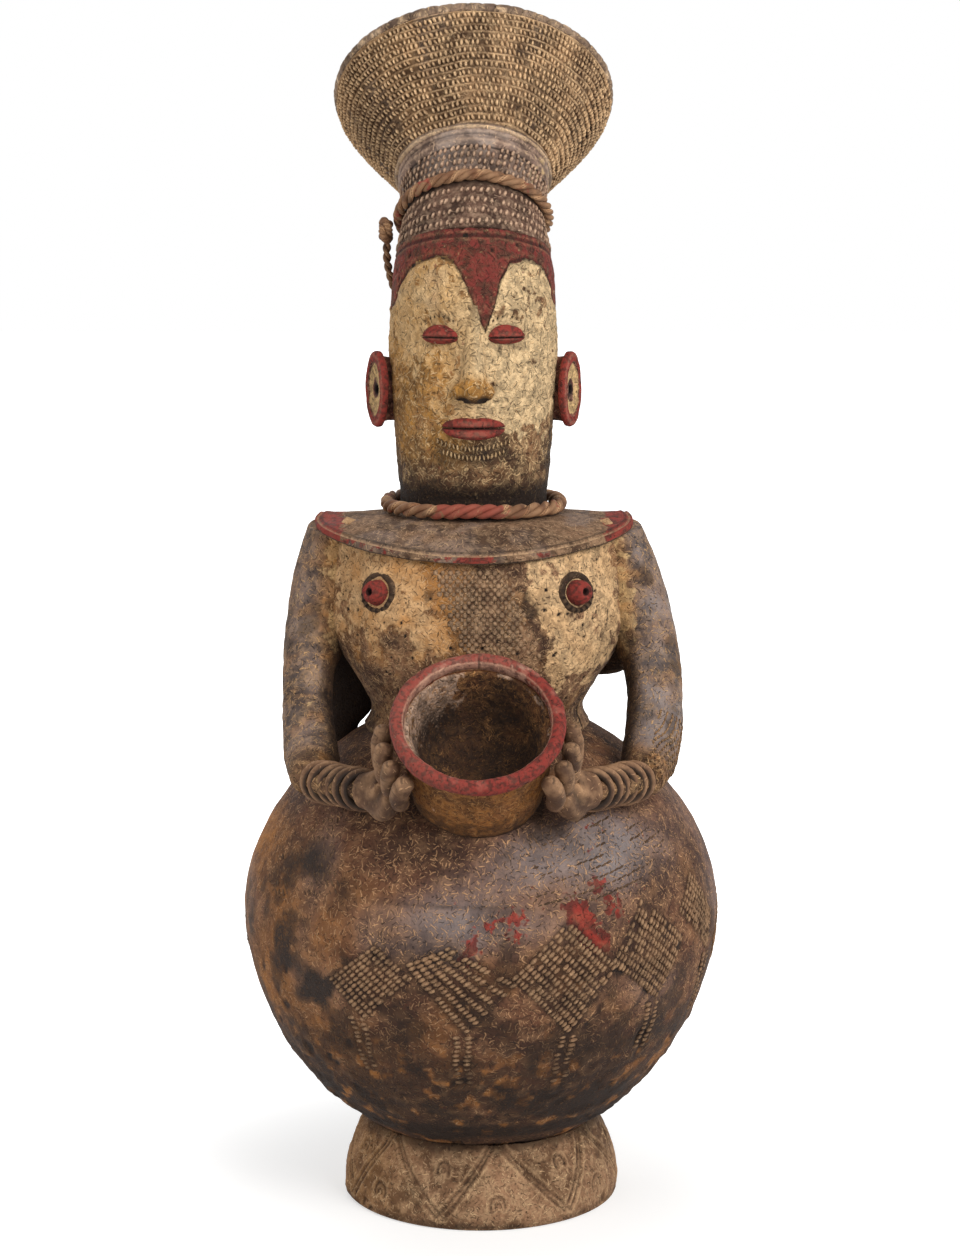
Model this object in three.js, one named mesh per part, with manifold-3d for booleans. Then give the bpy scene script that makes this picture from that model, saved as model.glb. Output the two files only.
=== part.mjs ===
// A figural clay jar: a round belly on a ring foot, with a figure rising from it who holds a
// small bowl. The head is a hollow column that opens into a flared coiffure, the jar's mouth.
// Units are millimetres. +Z is up, the figure faces -Y, and the origin is on the floor, on the
// belly's own axis. Left and right are the figure's own, so its left side is +X.
import * as THREE from "three";
import { mergeVertices } from "three/addons/utils/BufferGeometryUtils.js";
import Module from "manifold-3d";

const wasm = await Module();
wasm.setup();

// Joints between the pieces
const SEAM = 0.3;

// Foot ring and belly
const FOOT_LIFT = 20;
const FOOT_RADIUS = 61;
const FOOT_TOP_RADIUS = 50;
const FOOT_WALL = 11;
const FOOT_EDGE = 1.5;
const BELLY_RADIUS = 104;
const BELLY_UPPER = 92;
const BELLY_LOWER = 110;
const BELLY_FULLNESS = 1.9;
const BELLY_WALL = 6;
const BELLY_MOUTH_RADIUS = 34;

// Torso and shoulder plate
const WAIST_SIDE = 45.5;
const WAIST_DEPTH = 43;
const CHEST_SIDE = 60;
const CHEST_DEPTH = 51;
const SHOULDER_SIDE = 58;
const SHOULDER_DEPTH = 43;
const TORSO_HEIGHT = 86;
const TORSO_WALL = 7;
const TORSO_X = -1.5;
const TORSO_Y = 2;
const PLATE_SIDE = 69;
const PLATE_DEPTH = 48;
const PLATE_THICKNESS = 5;
const PLATE_FRONT_DIP = 13;
const PLATE_BACK_DIP = 12;
const PLATE_POINTEDNESS = 1.85;

// Head column: neck, face, headband and flared coiffure
const HEAD_X = -3.2;
const NECK_Y = 11;
const NECK_SIDE = 31.6;
const NECK_DEPTH = 30.6;
const FACE_SIDE = 36.3;
const FACE_DEPTH = 37.8;
const CHIN_DEPTH = 35.2;
const FACE_HEIGHT = 107;
const NECK_HEIGHT = 21;
const HEAD_WALL = 7;
const BROW_LEAN = 4;
const HAIRLINE_SIDE = 33.2;
const HAIRLINE_LEAN = 22;
const HAIRLINE_BACK = 4;
const HAIRLINE_DROP = 1.3;
const CROWN_RADIUS = 29.8;
const CROWN_LEAN = 35;
const CROWN_REACH = 17;
const CROWN_BACK = 12;
const CROWN_RISE = 14.2;
const FLARE_BASE_RADIUS = 33.2;
const FLARE_BASE_LEAN = 40;
const FLARE_BASE_REACH = 23;
const FLARE_BASE_BACK = 25.5;
const FLARE_BASE_RISE = 31.2;
const FLARE_HEIGHT = 43;
const FLARE_MOUTH_RADIUS = 61;
const FLARE_MOUTH_LEAN = 38;
const FLARE_WALL = 5;
const FLARE_COIL_RADIUS = 2.6;

// Cords
const NECK_CORD_RADIUS = 3.2;
const NECK_CORD_SLACK = 2.7;
const HEAD_CORD_RADIUS = 2.6;
const KNOT_SIZE = 4.6;
const KNOT_BACK = 1.5;
const KNOT_DROP = 5.5;
const TAIL_RADIUS = 1.8;
const TAIL_FALL = 28.6;
const TAIL_BACK = 8.7;
const TAIL_INWARD = 5.2;

// Bowl
const BOWL_X = -1.4;
const BOWL_LEAN = 40;
const BOWL_FORWARD = 66;
const BOWL_HEIGHT = 38;
const BOWL_MOUTH_RADIUS = 32.4;
const BOWL_WAIST_RADIUS = 30.2;
const BOWL_BASE_RADIUS = 27.5;
const BOWL_RIM_COIL = 3.6;
const BOWL_WALL = 5.5;
const BOWL_CAVITY_DEPTH = 32;

// Arms, hands and bangles
const ARMPIT_RADIUS = 12.8;
const LEFT_ARM_RADIUS = 12.2;
const RIGHT_ARM_RADIUS = 10.4;
const ELBOW_RADIUS = 11.8;
const FOREARM_RADIUS = 10.2;
const WRIST_RADIUS = 5.3;
const ARM_SPREAD = 75;
const BANGLES = 6;
const BANGLE_PITCH = 4.2;
const BANGLE_COIL = 1.85;
const FIRST_BANGLE = 3.4;
const PALM_WIDTH = 10.6;
const PALM_THICKNESS = 5.6;
const KNUCKLE_DEPTH = 20;
const KNUCKLE_TURN = -21;
const TIP_DEPTH = 7.5;
const FINGER_RADIUS = 3.2;

// Face and chest details
const EYE_WIDTH = 14.4;
const LID_RADIUS = 2.3;
const NOSE_WIDTH = 17;
const NOSE_PROJECTION = 9.5;
const MOUTH_WIDTH = 27;
const LIP_RADIUS = 3.4;
const EAR_HEIGHT = 33;
const EAR_WIDTH = 18;
const EAR_STEM = 6.4;
const EAR_HOLE_RADIUS = 1.7;
const NIPPLE_RADIUS = 5;
const NIPPLE_HEIGHT = 6;
const NIPPLE_COLLAR = 1.6;
const NIPPLE_SPREAD = 41.5;
const NIPPLE_DROP = 24;

// Numbers of flat sides
const LARGE_ROUND = 32;
const HEAD_ROUND = 26;
const BOWL_ROUND = 24;
const CORD_ROUND = 30;
const ARM_ROUND = 12;
const FINGER_ROUND = 7;

const radians = THREE.MathUtils.degToRad;
const lerp = THREE.MathUtils.lerp;
const vector = (x, y, z) => new THREE.Vector3(x, y, z);

// Turns a closed three.js geometry into a solid, whichever way its faces point.
function solidOf(geometry) {
  const bare = geometry.index ? geometry.toNonIndexed() : geometry.clone();
  bare.deleteAttribute("normal");
  bare.deleteAttribute("uv");
  const merged = mergeVertices(bare, 1e-4);
  const corners = new Uint32Array(merged.index.array);
  const kept = [];
  for (let i = 0; i < corners.length; i += 3) {
    const [a, b, c] = corners.subarray(i, i + 3);
    if (a !== b && b !== c && a !== c) kept.push(a, b, c);
  }
  const make = (list) =>
    new wasm.Manifold(
      new wasm.Mesh({
        numProp: 3,
        vertProperties: new Float32Array(merged.attributes.position.array),
        triVerts: new Uint32Array(list),
      }),
    );
  const made = make(kept);
  return made.volume() > 0 ? made : make(kept.reverse());
}

// Cuts a piece back from its neighbours and keeps the largest body that is left.
function carve(piece, ...cutters) {
  const cut = cutters.reduce((left, cutter) => left.subtract(cutter), piece);
  const bodies = cut.decompose().sort((a, b) => b.volume() - a.volume());
  return bodies[0];
}

// Reads a table of rows [at, value, value, ...] smoothly between its rows, level at each turn.
function sample(rows, at) {
  const last = rows.length - 1;
  let i = 0;
  while (i < last - 1 && at > rows[i + 1][0]) i += 1;
  const span = rows[i + 1][0] - rows[i][0];
  const t = THREE.MathUtils.clamp((at - rows[i][0]) / span, 0, 1);
  const slope = (k, column) => {
    const before = rows[Math.max(k - 1, 0)];
    const after = rows[Math.min(k + 1, last)];
    const rise = (rows[k][column] - before[column]) * (after[column] - rows[k][column]);
    const ends = k === 0 || k === last;
    return rise > 0 || ends ? (after[column] - before[column]) / (after[0] - before[0]) : 0;
  };
  return rows[i].slice(1).map((value, n) => {
    const column = n + 1;
    const next = rows[i + 1][column];
    const start = slope(i, column) * span;
    const end = slope(i + 1, column) * span;
    const t2 = t * t;
    const t3 = t2 * t;
    const fromStart = (2 * t3 - 3 * t2 + 1) * value + (t3 - 2 * t2 + t) * start;
    return fromStart + (3 * t2 - 2 * t3) * next + (t3 - t2) * end;
  });
}

// Moves every vertex of a geometry to where a function puts it.
function reshape(geometry, place) {
  const position = geometry.attributes.position;
  const point = new THREE.Vector3();
  for (let i = 0; i < position.count; i += 1) {
    point.fromBufferAttribute(position, i);
    const moved = place(point);
    position.setXYZ(i, moved.x, moved.y, moved.z);
  }
  return geometry;
}

// A closed solid whose sections are drawn by surface(at, turn, share): turn is the angle from the
// front towards +X, and share runs from 0 at the section's centre to 1 at its outline.
function column(from, to, steps, sides, surface) {
  const outline = [new THREE.Vector2(0, from)];
  for (let i = 0; i <= steps; i += 1) {
    outline.push(new THREE.Vector2(1, lerp(from, to, i / steps)));
  }
  outline.push(new THREE.Vector2(0, to));
  const geometry = new THREE.LatheGeometry(outline, sides);
  return solidOf(
    reshape(geometry, (p) => surface(p.y, Math.atan2(p.x, p.z), Math.hypot(p.x, p.z))),
  );
}

// A solid of revolution about +Z from a list of [radius, height] points.
function turned(points, sides) {
  const outline = points.map(([r, z]) => new THREE.Vector2(Math.max(r, 0), z));
  return new THREE.LatheGeometry(outline, sides).rotateX(Math.PI / 2);
}

// A round bar along a curve. half(u) gives its half width across and its half thickness towards
// the outward direction, for u from 0 to 1, and the ends are domed.
function bar(points, half, outward, sides, steps) {
  const curve = new THREE.CatmullRomCurve3(points, false, "centripetal");
  const geometry = new THREE.CylinderGeometry(1, 1, 1, sides, steps);
  return solidOf(
    reshape(geometry, (p) => {
      const u = THREE.MathUtils.clamp(p.y + 0.5, 0, 1);
      const centre = curve.getPointAt(u);
      const ahead = curve.getTangentAt(u);
      const across = new THREE.Vector3().crossVectors(ahead, outward(u)).normalize();
      const out = new THREE.Vector3().crossVectors(across, ahead).normalize();
      const [wide, thick] = half(u);
      return centre.addScaledVector(across, p.x * wide).addScaledVector(out, p.z * thick);
    }),
  );
}

// The share of its full radius that a bar with domed ends has at u.
function domed(u, startDome, endDome) {
  const start = startDome > 0 ? Math.min(u / startDome, 1) : 1;
  const end = endDome > 0 ? Math.min((1 - u) / endDome, 1) : 1;
  const dome = (t) => Math.sqrt(Math.max(1 - (1 - t) * (1 - t), 0.04));
  return dome(start) * dome(end);
}

// A round ring of clay or cord, lying square to its axis.
function ring(centre, axis, radius, thickness, sides, around) {
  const geometry = new THREE.TorusGeometry(radius, thickness, sides, around);
  const turn = new THREE.Quaternion().setFromUnitVectors(vector(0, 0, 1), axis.clone().normalize());
  return solidOf(geometry.applyQuaternion(turn).translate(centre.x, centre.y, centre.z));
}

// An egg-shaped lump with its three half sizes along three given directions.
function lump(centre, along, across, halves, sides) {
  const x = along.clone().normalize();
  const z = new THREE.Vector3().crossVectors(x, across).normalize();
  const y = new THREE.Vector3().crossVectors(z, x).normalize();
  const frame = new THREE.Matrix4().makeBasis(x, y, z).setPosition(centre);
  const geometry = new THREE.SphereGeometry(1, sides, Math.ceil(sides / 2) + 1);
  return solidOf(geometry.scale(...halves).applyMatrix4(frame));
}

// Belly: an upper and a lower half on one equator, a little more pointed than spheroids.
const bellyZ = FOOT_LIFT + BELLY_LOWER;
const waistSeatRadius = WAIST_SIDE + 0.6;

function bellyHeight(radius, upper, grow = 0) {
  const share = Math.min(radius / (BELLY_RADIUS + grow), 1);
  const rise = (1 - share ** BELLY_FULLNESS) ** (1 / BELLY_FULLNESS);
  return upper ? bellyZ + (BELLY_UPPER + grow) * rise : bellyZ - (BELLY_LOWER + grow) * rise;
}

const waistZ = bellyHeight(waistSeatRadius, true);

function bellyArc(startRadius, startUpper, endRadius, endUpper, steps, grow) {
  const wide = BELLY_RADIUS + grow;
  const bend = 2 / BELLY_FULLNESS;
  const angle = (radius, upper) => {
    const a = Math.acos(Math.min(radius / wide, 1) ** (1 / bend));
    return upper ? a : -a;
  };
  const first = angle(startRadius, startUpper);
  const last = angle(endRadius, endUpper);
  const points = [];
  for (let i = 0; i <= steps; i += 1) {
    const a = lerp(first, last, i / steps);
    const tall = (a > 0 ? BELLY_UPPER : BELLY_LOWER) + grow;
    const rise = Math.sign(a) * Math.abs(Math.sin(a)) ** bend;
    points.push([wide * Math.max(Math.cos(a), 0) ** bend, bellyZ + tall * rise]);
  }
  return points;
}

function makeBelly() {
  const outside = bellyArc(0, false, waistSeatRadius, true, 14, 0);
  const inside = bellyArc(BELLY_MOUTH_RADIUS, true, 0, false, 8, -BELLY_WALL);
  return solidOf(turned([...outside, [BELLY_MOUTH_RADIUS, waistZ], ...inside], LARGE_ROUND));
}

function bellyCutter() {
  return solidOf(turned(bellyArc(0, false, 0, true, 26, SEAM * 1.5), LARGE_ROUND));
}

// Foot: a flared ring whose top follows the belly's underside.
function makeFoot() {
  const topZ = bellyHeight(FOOT_TOP_RADIUS, false) - SEAM;
  const flare = new THREE.QuadraticBezierCurve(
    new THREE.Vector2(FOOT_RADIUS, FOOT_EDGE),
    new THREE.Vector2(FOOT_RADIUS, topZ * 0.55),
    new THREE.Vector2(FOOT_TOP_RADIUS, topZ),
  );
  const outside = flare.getPoints(5).map((p) => [p.x, p.y]);
  const seat = [];
  const seatSteps = 3;
  for (let i = 1; i <= seatSteps; i += 1) {
    const r = FOOT_TOP_RADIUS - (FOOT_WALL * i) / seatSteps;
    seat.push([r, bellyHeight(r, false) - SEAM]);
  }
  const innerFoot = FOOT_RADIUS - FOOT_EDGE - FOOT_WALL;
  const points = [[innerFoot, 0], [FOOT_RADIUS - FOOT_EDGE, 0], ...outside, ...seat, [innerFoot, 0]];
  return solidOf(turned(points, LARGE_ROUND));
}

// Torso: sections from the waist to the shoulders, as rows of
// [share of the height, half width, half depth].
const torsoRows = [
  [-0.3, WAIST_SIDE + 1, WAIST_DEPTH + 1],
  [0, WAIST_SIDE, WAIST_DEPTH],
  [0.1, WAIST_SIDE + 0.7, WAIST_DEPTH + 0.6],
  [0.22, lerp(WAIST_SIDE, CHEST_SIDE, 0.4), lerp(WAIST_DEPTH, CHEST_DEPTH, 0.5)],
  [0.36, lerp(WAIST_SIDE, CHEST_SIDE, 0.88), lerp(WAIST_DEPTH, CHEST_DEPTH, 0.92)],
  [0.5, CHEST_SIDE, CHEST_DEPTH],
  [0.7, CHEST_SIDE - 0.5, lerp(CHEST_DEPTH, SHOULDER_DEPTH, 0.35)],
  [0.88, SHOULDER_SIDE, lerp(CHEST_DEPTH, SHOULDER_DEPTH, 0.85)],
  [1.1, SHOULDER_SIDE - 1, SHOULDER_DEPTH],
];
const torsoBase = waistZ + SEAM;
const torsoTop = torsoBase + TORSO_HEIGHT;

function torsoPoint(z, turn, share = 1, grow = 0) {
  const [side, depth] = sample(torsoRows, (z - torsoBase) / TORSO_HEIGHT);
  const s = Math.sin(turn) / (side + grow);
  const c = Math.cos(turn) / (depth + grow);
  const radius = share / (Math.abs(s) ** 2.2 + Math.abs(c) ** 2.2) ** (1 / 2.2);
  return vector(TORSO_X + radius * Math.sin(turn), TORSO_Y - radius * Math.cos(turn), z);
}

function torsoSolid(from, to, steps, grow, sides = LARGE_ROUND) {
  return column(from, to, steps, sides, (z, turn, share) => torsoPoint(z, turn, share, grow));
}

// Shoulder plate: a pointed oval with a round hole for the neck, drooping at the front and back.
const neckClear = NECK_SIDE + SEAM;
const plateTop = torsoTop + SEAM + PLATE_THICKNESS;

function plateEdge(turn) {
  let radius = PLATE_SIDE;
  const pull = NECK_Y - TORSO_Y;
  for (let i = 0; i < 12; i += 1) {
    const x = (radius * Math.sin(turn)) / PLATE_SIDE;
    const y = (radius * Math.cos(turn) - pull) / PLATE_DEPTH;
    const reach = Math.abs(x) ** PLATE_POINTEDNESS + Math.abs(y) ** PLATE_POINTEDNESS;
    radius /= reach ** (1 / PLATE_POINTEDNESS) || 1;
  }
  return radius;
}

// share runs from 0 at the neck to 1 at the plate's edge, and past it.
function platePoint(turn, share, height) {
  const radius = lerp(neckClear, plateEdge(turn), share);
  const facing = Math.cos(turn);
  const dip = facing > 0 ? PLATE_FRONT_DIP * facing : -PLATE_BACK_DIP * facing;
  const z = height - dip * Math.max(share, 0) ** 1.7;
  return vector(HEAD_X + radius * Math.sin(turn), NECK_Y - radius * facing, z);
}

const plateShares = [0, 0.35, 0.7, 0.93];

function plateSolid(bottom, top, edge) {
  const rising = plateShares.map((share) => [share, bottom]);
  const falling = plateShares.map((share) => [share, top]).reverse();
  const points = [...rising, ...edge, ...falling, rising[0]];
  const outline = points.map(([share, z]) => new THREE.Vector2(1 + share, z));
  const geometry = new THREE.LatheGeometry(outline, LARGE_ROUND);
  return solidOf(
    reshape(geometry, (p) => platePoint(Math.atan2(p.x, p.z), Math.hypot(p.x, p.z) - 1, p.y)),
  );
}

// Everything over the plate's underside, for cutting the torso and the arms.
function plateCutter() {
  const over = torsoTop + TORSO_HEIGHT;
  const past = 1.4;
  return plateSolid(torsoTop, over, [[past, torsoTop], [past, over]]);
}

function makeTorso() {
  const outside = torsoSolid(torsoBase, torsoTop, 9, 0);
  const ceiling = torsoTop - TORSO_WALL - PLATE_FRONT_DIP * 0.5;
  const inside = torsoSolid(torsoBase - 10, ceiling, 6, -TORSO_WALL, 20);
  const neckHollow = NECK_DEPTH - HEAD_WALL;
  const passage = new THREE.CylinderGeometry(neckHollow, neckHollow, TORSO_HEIGHT, 20)
    .rotateX(Math.PI / 2)
    .translate(HEAD_X, NECK_Y, torsoTop);
  return carve(outside, inside, solidOf(passage), plateCutter());
}

function makePlate() {
  const bottom = torsoTop + SEAM;
  return plateSolid(bottom, plateTop, [[1, (bottom + plateTop) / 2]]);
}

// Head column, as rows of [height along the column, y, z, lean in degrees, half width,
// half depth to the front, half depth to the back], all from the foot of the neck.
const neckBase = torsoTop + SEAM;
const hairline = NECK_HEIGHT + FACE_HEIGHT * 0.9;
const crown = hairline + CROWN_REACH;
const flareBase = crown + FLARE_BASE_REACH;
const flareMouth = flareBase + FLARE_HEIGHT;
const third = FACE_HEIGHT / 3;
const chinAt = NECK_HEIGHT;
const noseAt = chinAt + third;
const mouthAt = noseAt - third / 3;
const browAt = chinAt + 2 * third;
const eyeAt = browAt - third * 0.27;
const foreheadAt = lerp(browAt, hairline, 0.56);

// A row of the round, leaning part over the hairline.
function crownRow(at, back, rise, lean, radius) {
  return [at, back, hairline + rise, lean, radius, radius, radius];
}

function underCrownRow() {
  const back = lerp(HAIRLINE_BACK, CROWN_BACK, 0.45);
  const rise = lerp(-HAIRLINE_DROP, CROWN_RISE, 0.535);
  const lean = lerp(HAIRLINE_LEAN, CROWN_LEAN, 0.5);
  const radius = lerp(HAIRLINE_SIDE, CROWN_RADIUS, 0.6);
  return crownRow(lerp(hairline, crown, 0.53), back, rise, lean, radius);
}

function overCrownRow() {
  const back = lerp(CROWN_BACK, FLARE_BASE_BACK, 0.4);
  const rise = lerp(CROWN_RISE, FLARE_BASE_RISE, 0.4);
  const lean = lerp(CROWN_LEAN, FLARE_BASE_LEAN, 0.7);
  const radius = lerp(CROWN_RADIUS, FLARE_BASE_RADIUS, 0.35);
  return crownRow(lerp(crown, flareBase, 0.39), back, rise, lean, radius);
}

// The flare widens quickly at first and stands nearly straight at its lip, as pairs of
// [share of the height, share of the widening].
const flareProfile = [
  [0.25, 0.26],
  [0.5, 0.55],
  [0.75, 0.82],
  [0.9, 0.955],
  [1, 1],
  [1.2, 1.03],
];
const flareTip = radians(lerp(FLARE_BASE_LEAN, FLARE_MOUTH_LEAN, 0.5));
const flareRows = flareProfile.map(([height, widening]) => {
  const along = FLARE_HEIGHT * height;
  const radius = lerp(FLARE_BASE_RADIUS, FLARE_MOUTH_RADIUS, widening);
  const lean = lerp(FLARE_BASE_LEAN, FLARE_MOUTH_LEAN, height);
  const back = FLARE_BASE_BACK + along * Math.sin(flareTip);
  const rise = FLARE_BASE_RISE + along * Math.cos(flareTip);
  return crownRow(flareBase + along, back, rise, lean, radius);
});

// How far the face's depth has grown from the neck's at its back.
const depthAt = (share) => lerp(NECK_DEPTH, FACE_DEPTH, share);
const mouthSide = lerp(NECK_SIDE, FACE_SIDE, 0.65);
const foreheadY = HAIRLINE_BACK * 0.3;
const foreheadZ = foreheadAt - HAIRLINE_DROP * 0.4;
const foreheadLean = HAIRLINE_LEAN * 0.6;
const headRows = [
  [0, 0, 0, 0, NECK_SIDE, NECK_DEPTH, NECK_DEPTH],
  [NECK_HEIGHT * 0.6, 0, NECK_HEIGHT * 0.6, 0, NECK_SIDE, NECK_DEPTH, NECK_DEPTH],
  [chinAt, 0, chinAt, 0, NECK_SIDE + 1, CHIN_DEPTH, NECK_DEPTH + 1],
  [mouthAt, 0, mouthAt, 0, mouthSide, CHIN_DEPTH + 2, depthAt(0.45)],
  [noseAt, 0, noseAt, 0, FACE_SIDE - 0.4, FACE_DEPTH, depthAt(0.7)],
  [eyeAt, 0, eyeAt, 0, FACE_SIDE, FACE_DEPTH - 0.4, FACE_DEPTH - 1],
  [browAt, 0, browAt, BROW_LEAN, FACE_SIDE - 0.3, FACE_DEPTH, FACE_DEPTH - 0.6],
  [foreheadAt, foreheadY, foreheadZ, foreheadLean, FACE_SIDE - 1.4, FACE_DEPTH - 2, FACE_DEPTH - 1.6],
  crownRow(hairline, HAIRLINE_BACK, -HAIRLINE_DROP, HAIRLINE_LEAN, HAIRLINE_SIDE),
  underCrownRow(),
  crownRow(crown, CROWN_BACK, CROWN_RISE, CROWN_LEAN, CROWN_RADIUS),
  overCrownRow(),
  crownRow(flareBase, FLARE_BASE_BACK, FLARE_BASE_RISE, FLARE_BASE_LEAN, FLARE_BASE_RADIUS),
  ...flareRows,
];

function headStation(at) {
  const [y, z, lean, side, front, back] = sample(headRows, at);
  const tip = radians(lean);
  return {
    centre: vector(HEAD_X, NECK_Y + y, neckBase + z),
    axis: vector(0, Math.sin(tip), Math.cos(tip)),
    forward: vector(0, -Math.cos(tip), Math.sin(tip)),
    side,
    front,
    back,
  };
}

function headPoint(at, turn, share = 1, grow = 0) {
  const { centre, forward, side, front, back } = headStation(at);
  const c = Math.cos(turn);
  const s = Math.sin(turn);
  const depth = (c > 0 ? front : back) + grow;
  const radius = share / Math.hypot(s / (side + grow), c / depth);
  return centre.addScaledVector(vector(1, 0, 0), radius * s).addScaledVector(forward, radius * c);
}

function headSolid(from, to, steps, grow, sides = HEAD_ROUND) {
  return column(from, to, steps, sides, (at, turn, share) => headPoint(at, turn, share, grow));
}

// The whole column's hollow, from under the neck to past the mouth of the flare.
function headHollow() {
  const neckPart = headSolid(-3, flareBase, 10, -HEAD_WALL, 20);
  const flarePart = headSolid(flareBase - 3, flareMouth + 4, 6, -FLARE_WALL, HEAD_ROUND);
  return neckPart.add(flarePart);
}

// The surface of the face at a height and a distance from its middle, with its outward direction.
function faceSpot(at, sideways, grow = 0) {
  let turn = 0;
  for (let i = 0; i < 8; i += 1) {
    const reach = headPoint(at, turn, 1, grow).x - HEAD_X;
    turn += Math.asin(THREE.MathUtils.clamp((sideways - reach) / FACE_DEPTH, -0.7, 0.7));
  }
  const step = 0.02;
  const point = headPoint(at, turn, 1, grow);
  const round = headPoint(at, turn + step, 1, grow).sub(headPoint(at, turn - step, 1, grow));
  const up = headPoint(at + 1, turn, 1, grow).sub(headPoint(at - 1, turn, 1, grow));
  const out = new THREE.Vector3().crossVectors(round, up).normalize();
  return { point, out, up: up.normalize() };
}

// A spindle of clay pressed on the face along an arc: an eyelid or a lip.
function spindle(at, middle, width, bow, radius, sink, sides, steps) {
  const points = [];
  const count = 6;
  for (let i = 0; i <= count; i += 1) {
    const across = (i / count) * 2 - 1;
    const rise = bow * (1 - across * across);
    points.push(faceSpot(at + rise, middle + (across * width) / 2, -sink).point);
  }
  const facing = faceSpot(at, middle).out;
  const half = (u) => {
    const share = Math.sqrt(Math.max(1 - (2 * u - 1) ** 2, 0.02));
    return [radius * share, radius * share];
  };
  return bar(points, half, () => facing, sides, steps);
}

function makeLid(side, upper) {
  const bow = upper ? 1.9 : -1.7;
  const at = eyeAt + (upper ? 0.5 : -0.5);
  const lid = spindle(at, side * EYE_WIDTH, EYE_WIDTH, bow, LID_RADIUS, 0.4, 8, 8);
  const reach = LID_RADIUS * 2;
  const cut = new THREE.BoxGeometry(EYE_WIDTH * 1.6, FACE_DEPTH, 2 * reach);
  const centre = faceSpot(eyeAt, side * EYE_WIDTH).point;
  const shift = upper ? SEAM / 2 - reach : reach - SEAM / 2;
  cut.translate(centre.x, centre.y, centre.z + shift);
  return carve(lid, headSolid(eyeAt - 14, eyeAt + 14, 4, SEAM), solidOf(cut));
}

function makeLip(upper) {
  const bow = upper ? 2.5 : -2.9;
  const at = mouthAt + (upper ? 0.9 : -0.9);
  const radius = upper ? LIP_RADIUS * 0.92 : LIP_RADIUS;
  const lip = spindle(at, 0, MOUTH_WIDTH, bow, radius, 0.2, 8, 10);
  const reach = LIP_RADIUS * 2;
  const cut = new THREE.BoxGeometry(MOUTH_WIDTH * 1.4, 2 * FACE_DEPTH, 2 * reach);
  const centre = faceSpot(mouthAt, 0).point;
  const shift = upper ? SEAM / 2 - reach : reach - SEAM / 2;
  cut.translate(centre.x, centre.y, centre.z + shift);
  return carve(lip, headSolid(mouthAt - 14, mouthAt + 14, 4, SEAM), solidOf(cut));
}

function makeNose() {
  const top = faceSpot(browAt - 3, 0, -1).point;
  const bridge = faceSpot(eyeAt - 2, 0, 2.4).point;
  const ridge = faceSpot(noseAt + 12, 0, NOSE_PROJECTION * 0.52).point;
  const tip = faceSpot(noseAt + 3, 0, NOSE_PROJECTION * 0.72).point;
  const half = (u) => {
    const wide = lerp(2.8, NOSE_WIDTH * 0.32, u ** 1.3);
    return [wide * domed(u, 0.1, 0.06), lerp(2.4, 4.2, u) * domed(u, 0.1, 0.06)];
  };
  const front = () => vector(0, -1, 0);
  const shaft = bar([top, bridge, ridge, tip], half, front, 8, 7);
  const wing = (side) => {
    const spot = faceSpot(noseAt + 3.4, (side * NOSE_WIDTH) / 4, 2.6).point;
    return lump(spot, vector(1, 0, 0), vector(0, 1, 0), [NOSE_WIDTH / 4, 4.6, 3.7], 8);
  };
  const nostril = (side) => {
    const spot = faceSpot(noseAt - 0.4, side * NOSE_WIDTH * 0.2, 3.2).point;
    return lump(spot, vector(0, 1, 0), vector(1, 0, 0), [2.1, 1.4, 1.5], 6);
  };
  const whole = shaft.add(wing(1)).add(wing(-1)).subtract(nostril(1)).subtract(nostril(-1));
  return carve(whole, headSolid(mouthAt - 2, browAt + 8, 6, SEAM));
}

// Ear: an oval disc on a short stem, turned half to the front, pierced through its middle.
function makeEar(side) {
  const earAt = lerp(noseAt, browAt, 0.06);
  const turn = side * radians(84);
  const root = headPoint(earAt, turn);
  const out = vector(side * Math.cos(radians(28)), -Math.sin(radians(28)), 0);
  const disc = new THREE.CylinderGeometry(1, 0.94, 3.6, 16, 1);
  disc.scale(EAR_WIDTH / 2, 1, EAR_HEIGHT / 2);
  const stem = new THREE.CylinderGeometry(1, 1.05, EAR_STEM + 6, 12, 1);
  stem.scale(EAR_WIDTH * 0.3, 1, EAR_HEIGHT * 0.42);
  stem.translate(0, -(EAR_STEM + 6) / 2, 0);
  const dish = new THREE.SphereGeometry(1, 12, 6);
  dish.scale(EAR_WIDTH * 0.3, 1.8, EAR_HEIGHT * 0.34);
  dish.translate(0, 2.2, 0);
  const hole = new THREE.CylinderGeometry(EAR_HOLE_RADIUS, EAR_HOLE_RADIUS, 9, 8);
  const forward = new THREE.Vector3().crossVectors(out, vector(0, 0, 1)).normalize();
  const frame = new THREE.Matrix4().makeBasis(forward, out, vector(0, 0, 1));
  frame.setPosition(root.clone().addScaledVector(out, EAR_STEM));
  const [discSolid, stemSolid, dishSolid, holeSolid] = [disc, stem, dish, hole].map((g) =>
    solidOf(g.applyMatrix4(frame)),
  );
  const ear = discSolid.add(stemSolid).subtract(dishSolid).subtract(holeSolid);
  return carve(ear, headSolid(earAt - 26, earAt + 26, 6, SEAM));
}

// Chest details sit square to the chest where they are pressed on.
function chestSpot(side) {
  const z = torsoTop - NIPPLE_DROP;
  let turn = side * 0.9;
  for (let i = 0; i < 10; i += 1) {
    const reach = torsoPoint(z, turn).x - TORSO_X;
    turn += (side * NIPPLE_SPREAD - reach) / CHEST_SIDE;
  }
  const point = torsoPoint(z, turn);
  const round = torsoPoint(z, turn + 0.02).sub(torsoPoint(z, turn - 0.02));
  const up = torsoPoint(z + 1, turn).sub(torsoPoint(z - 1, turn));
  return { point, out: new THREE.Vector3().crossVectors(round, up).normalize() };
}

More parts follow.
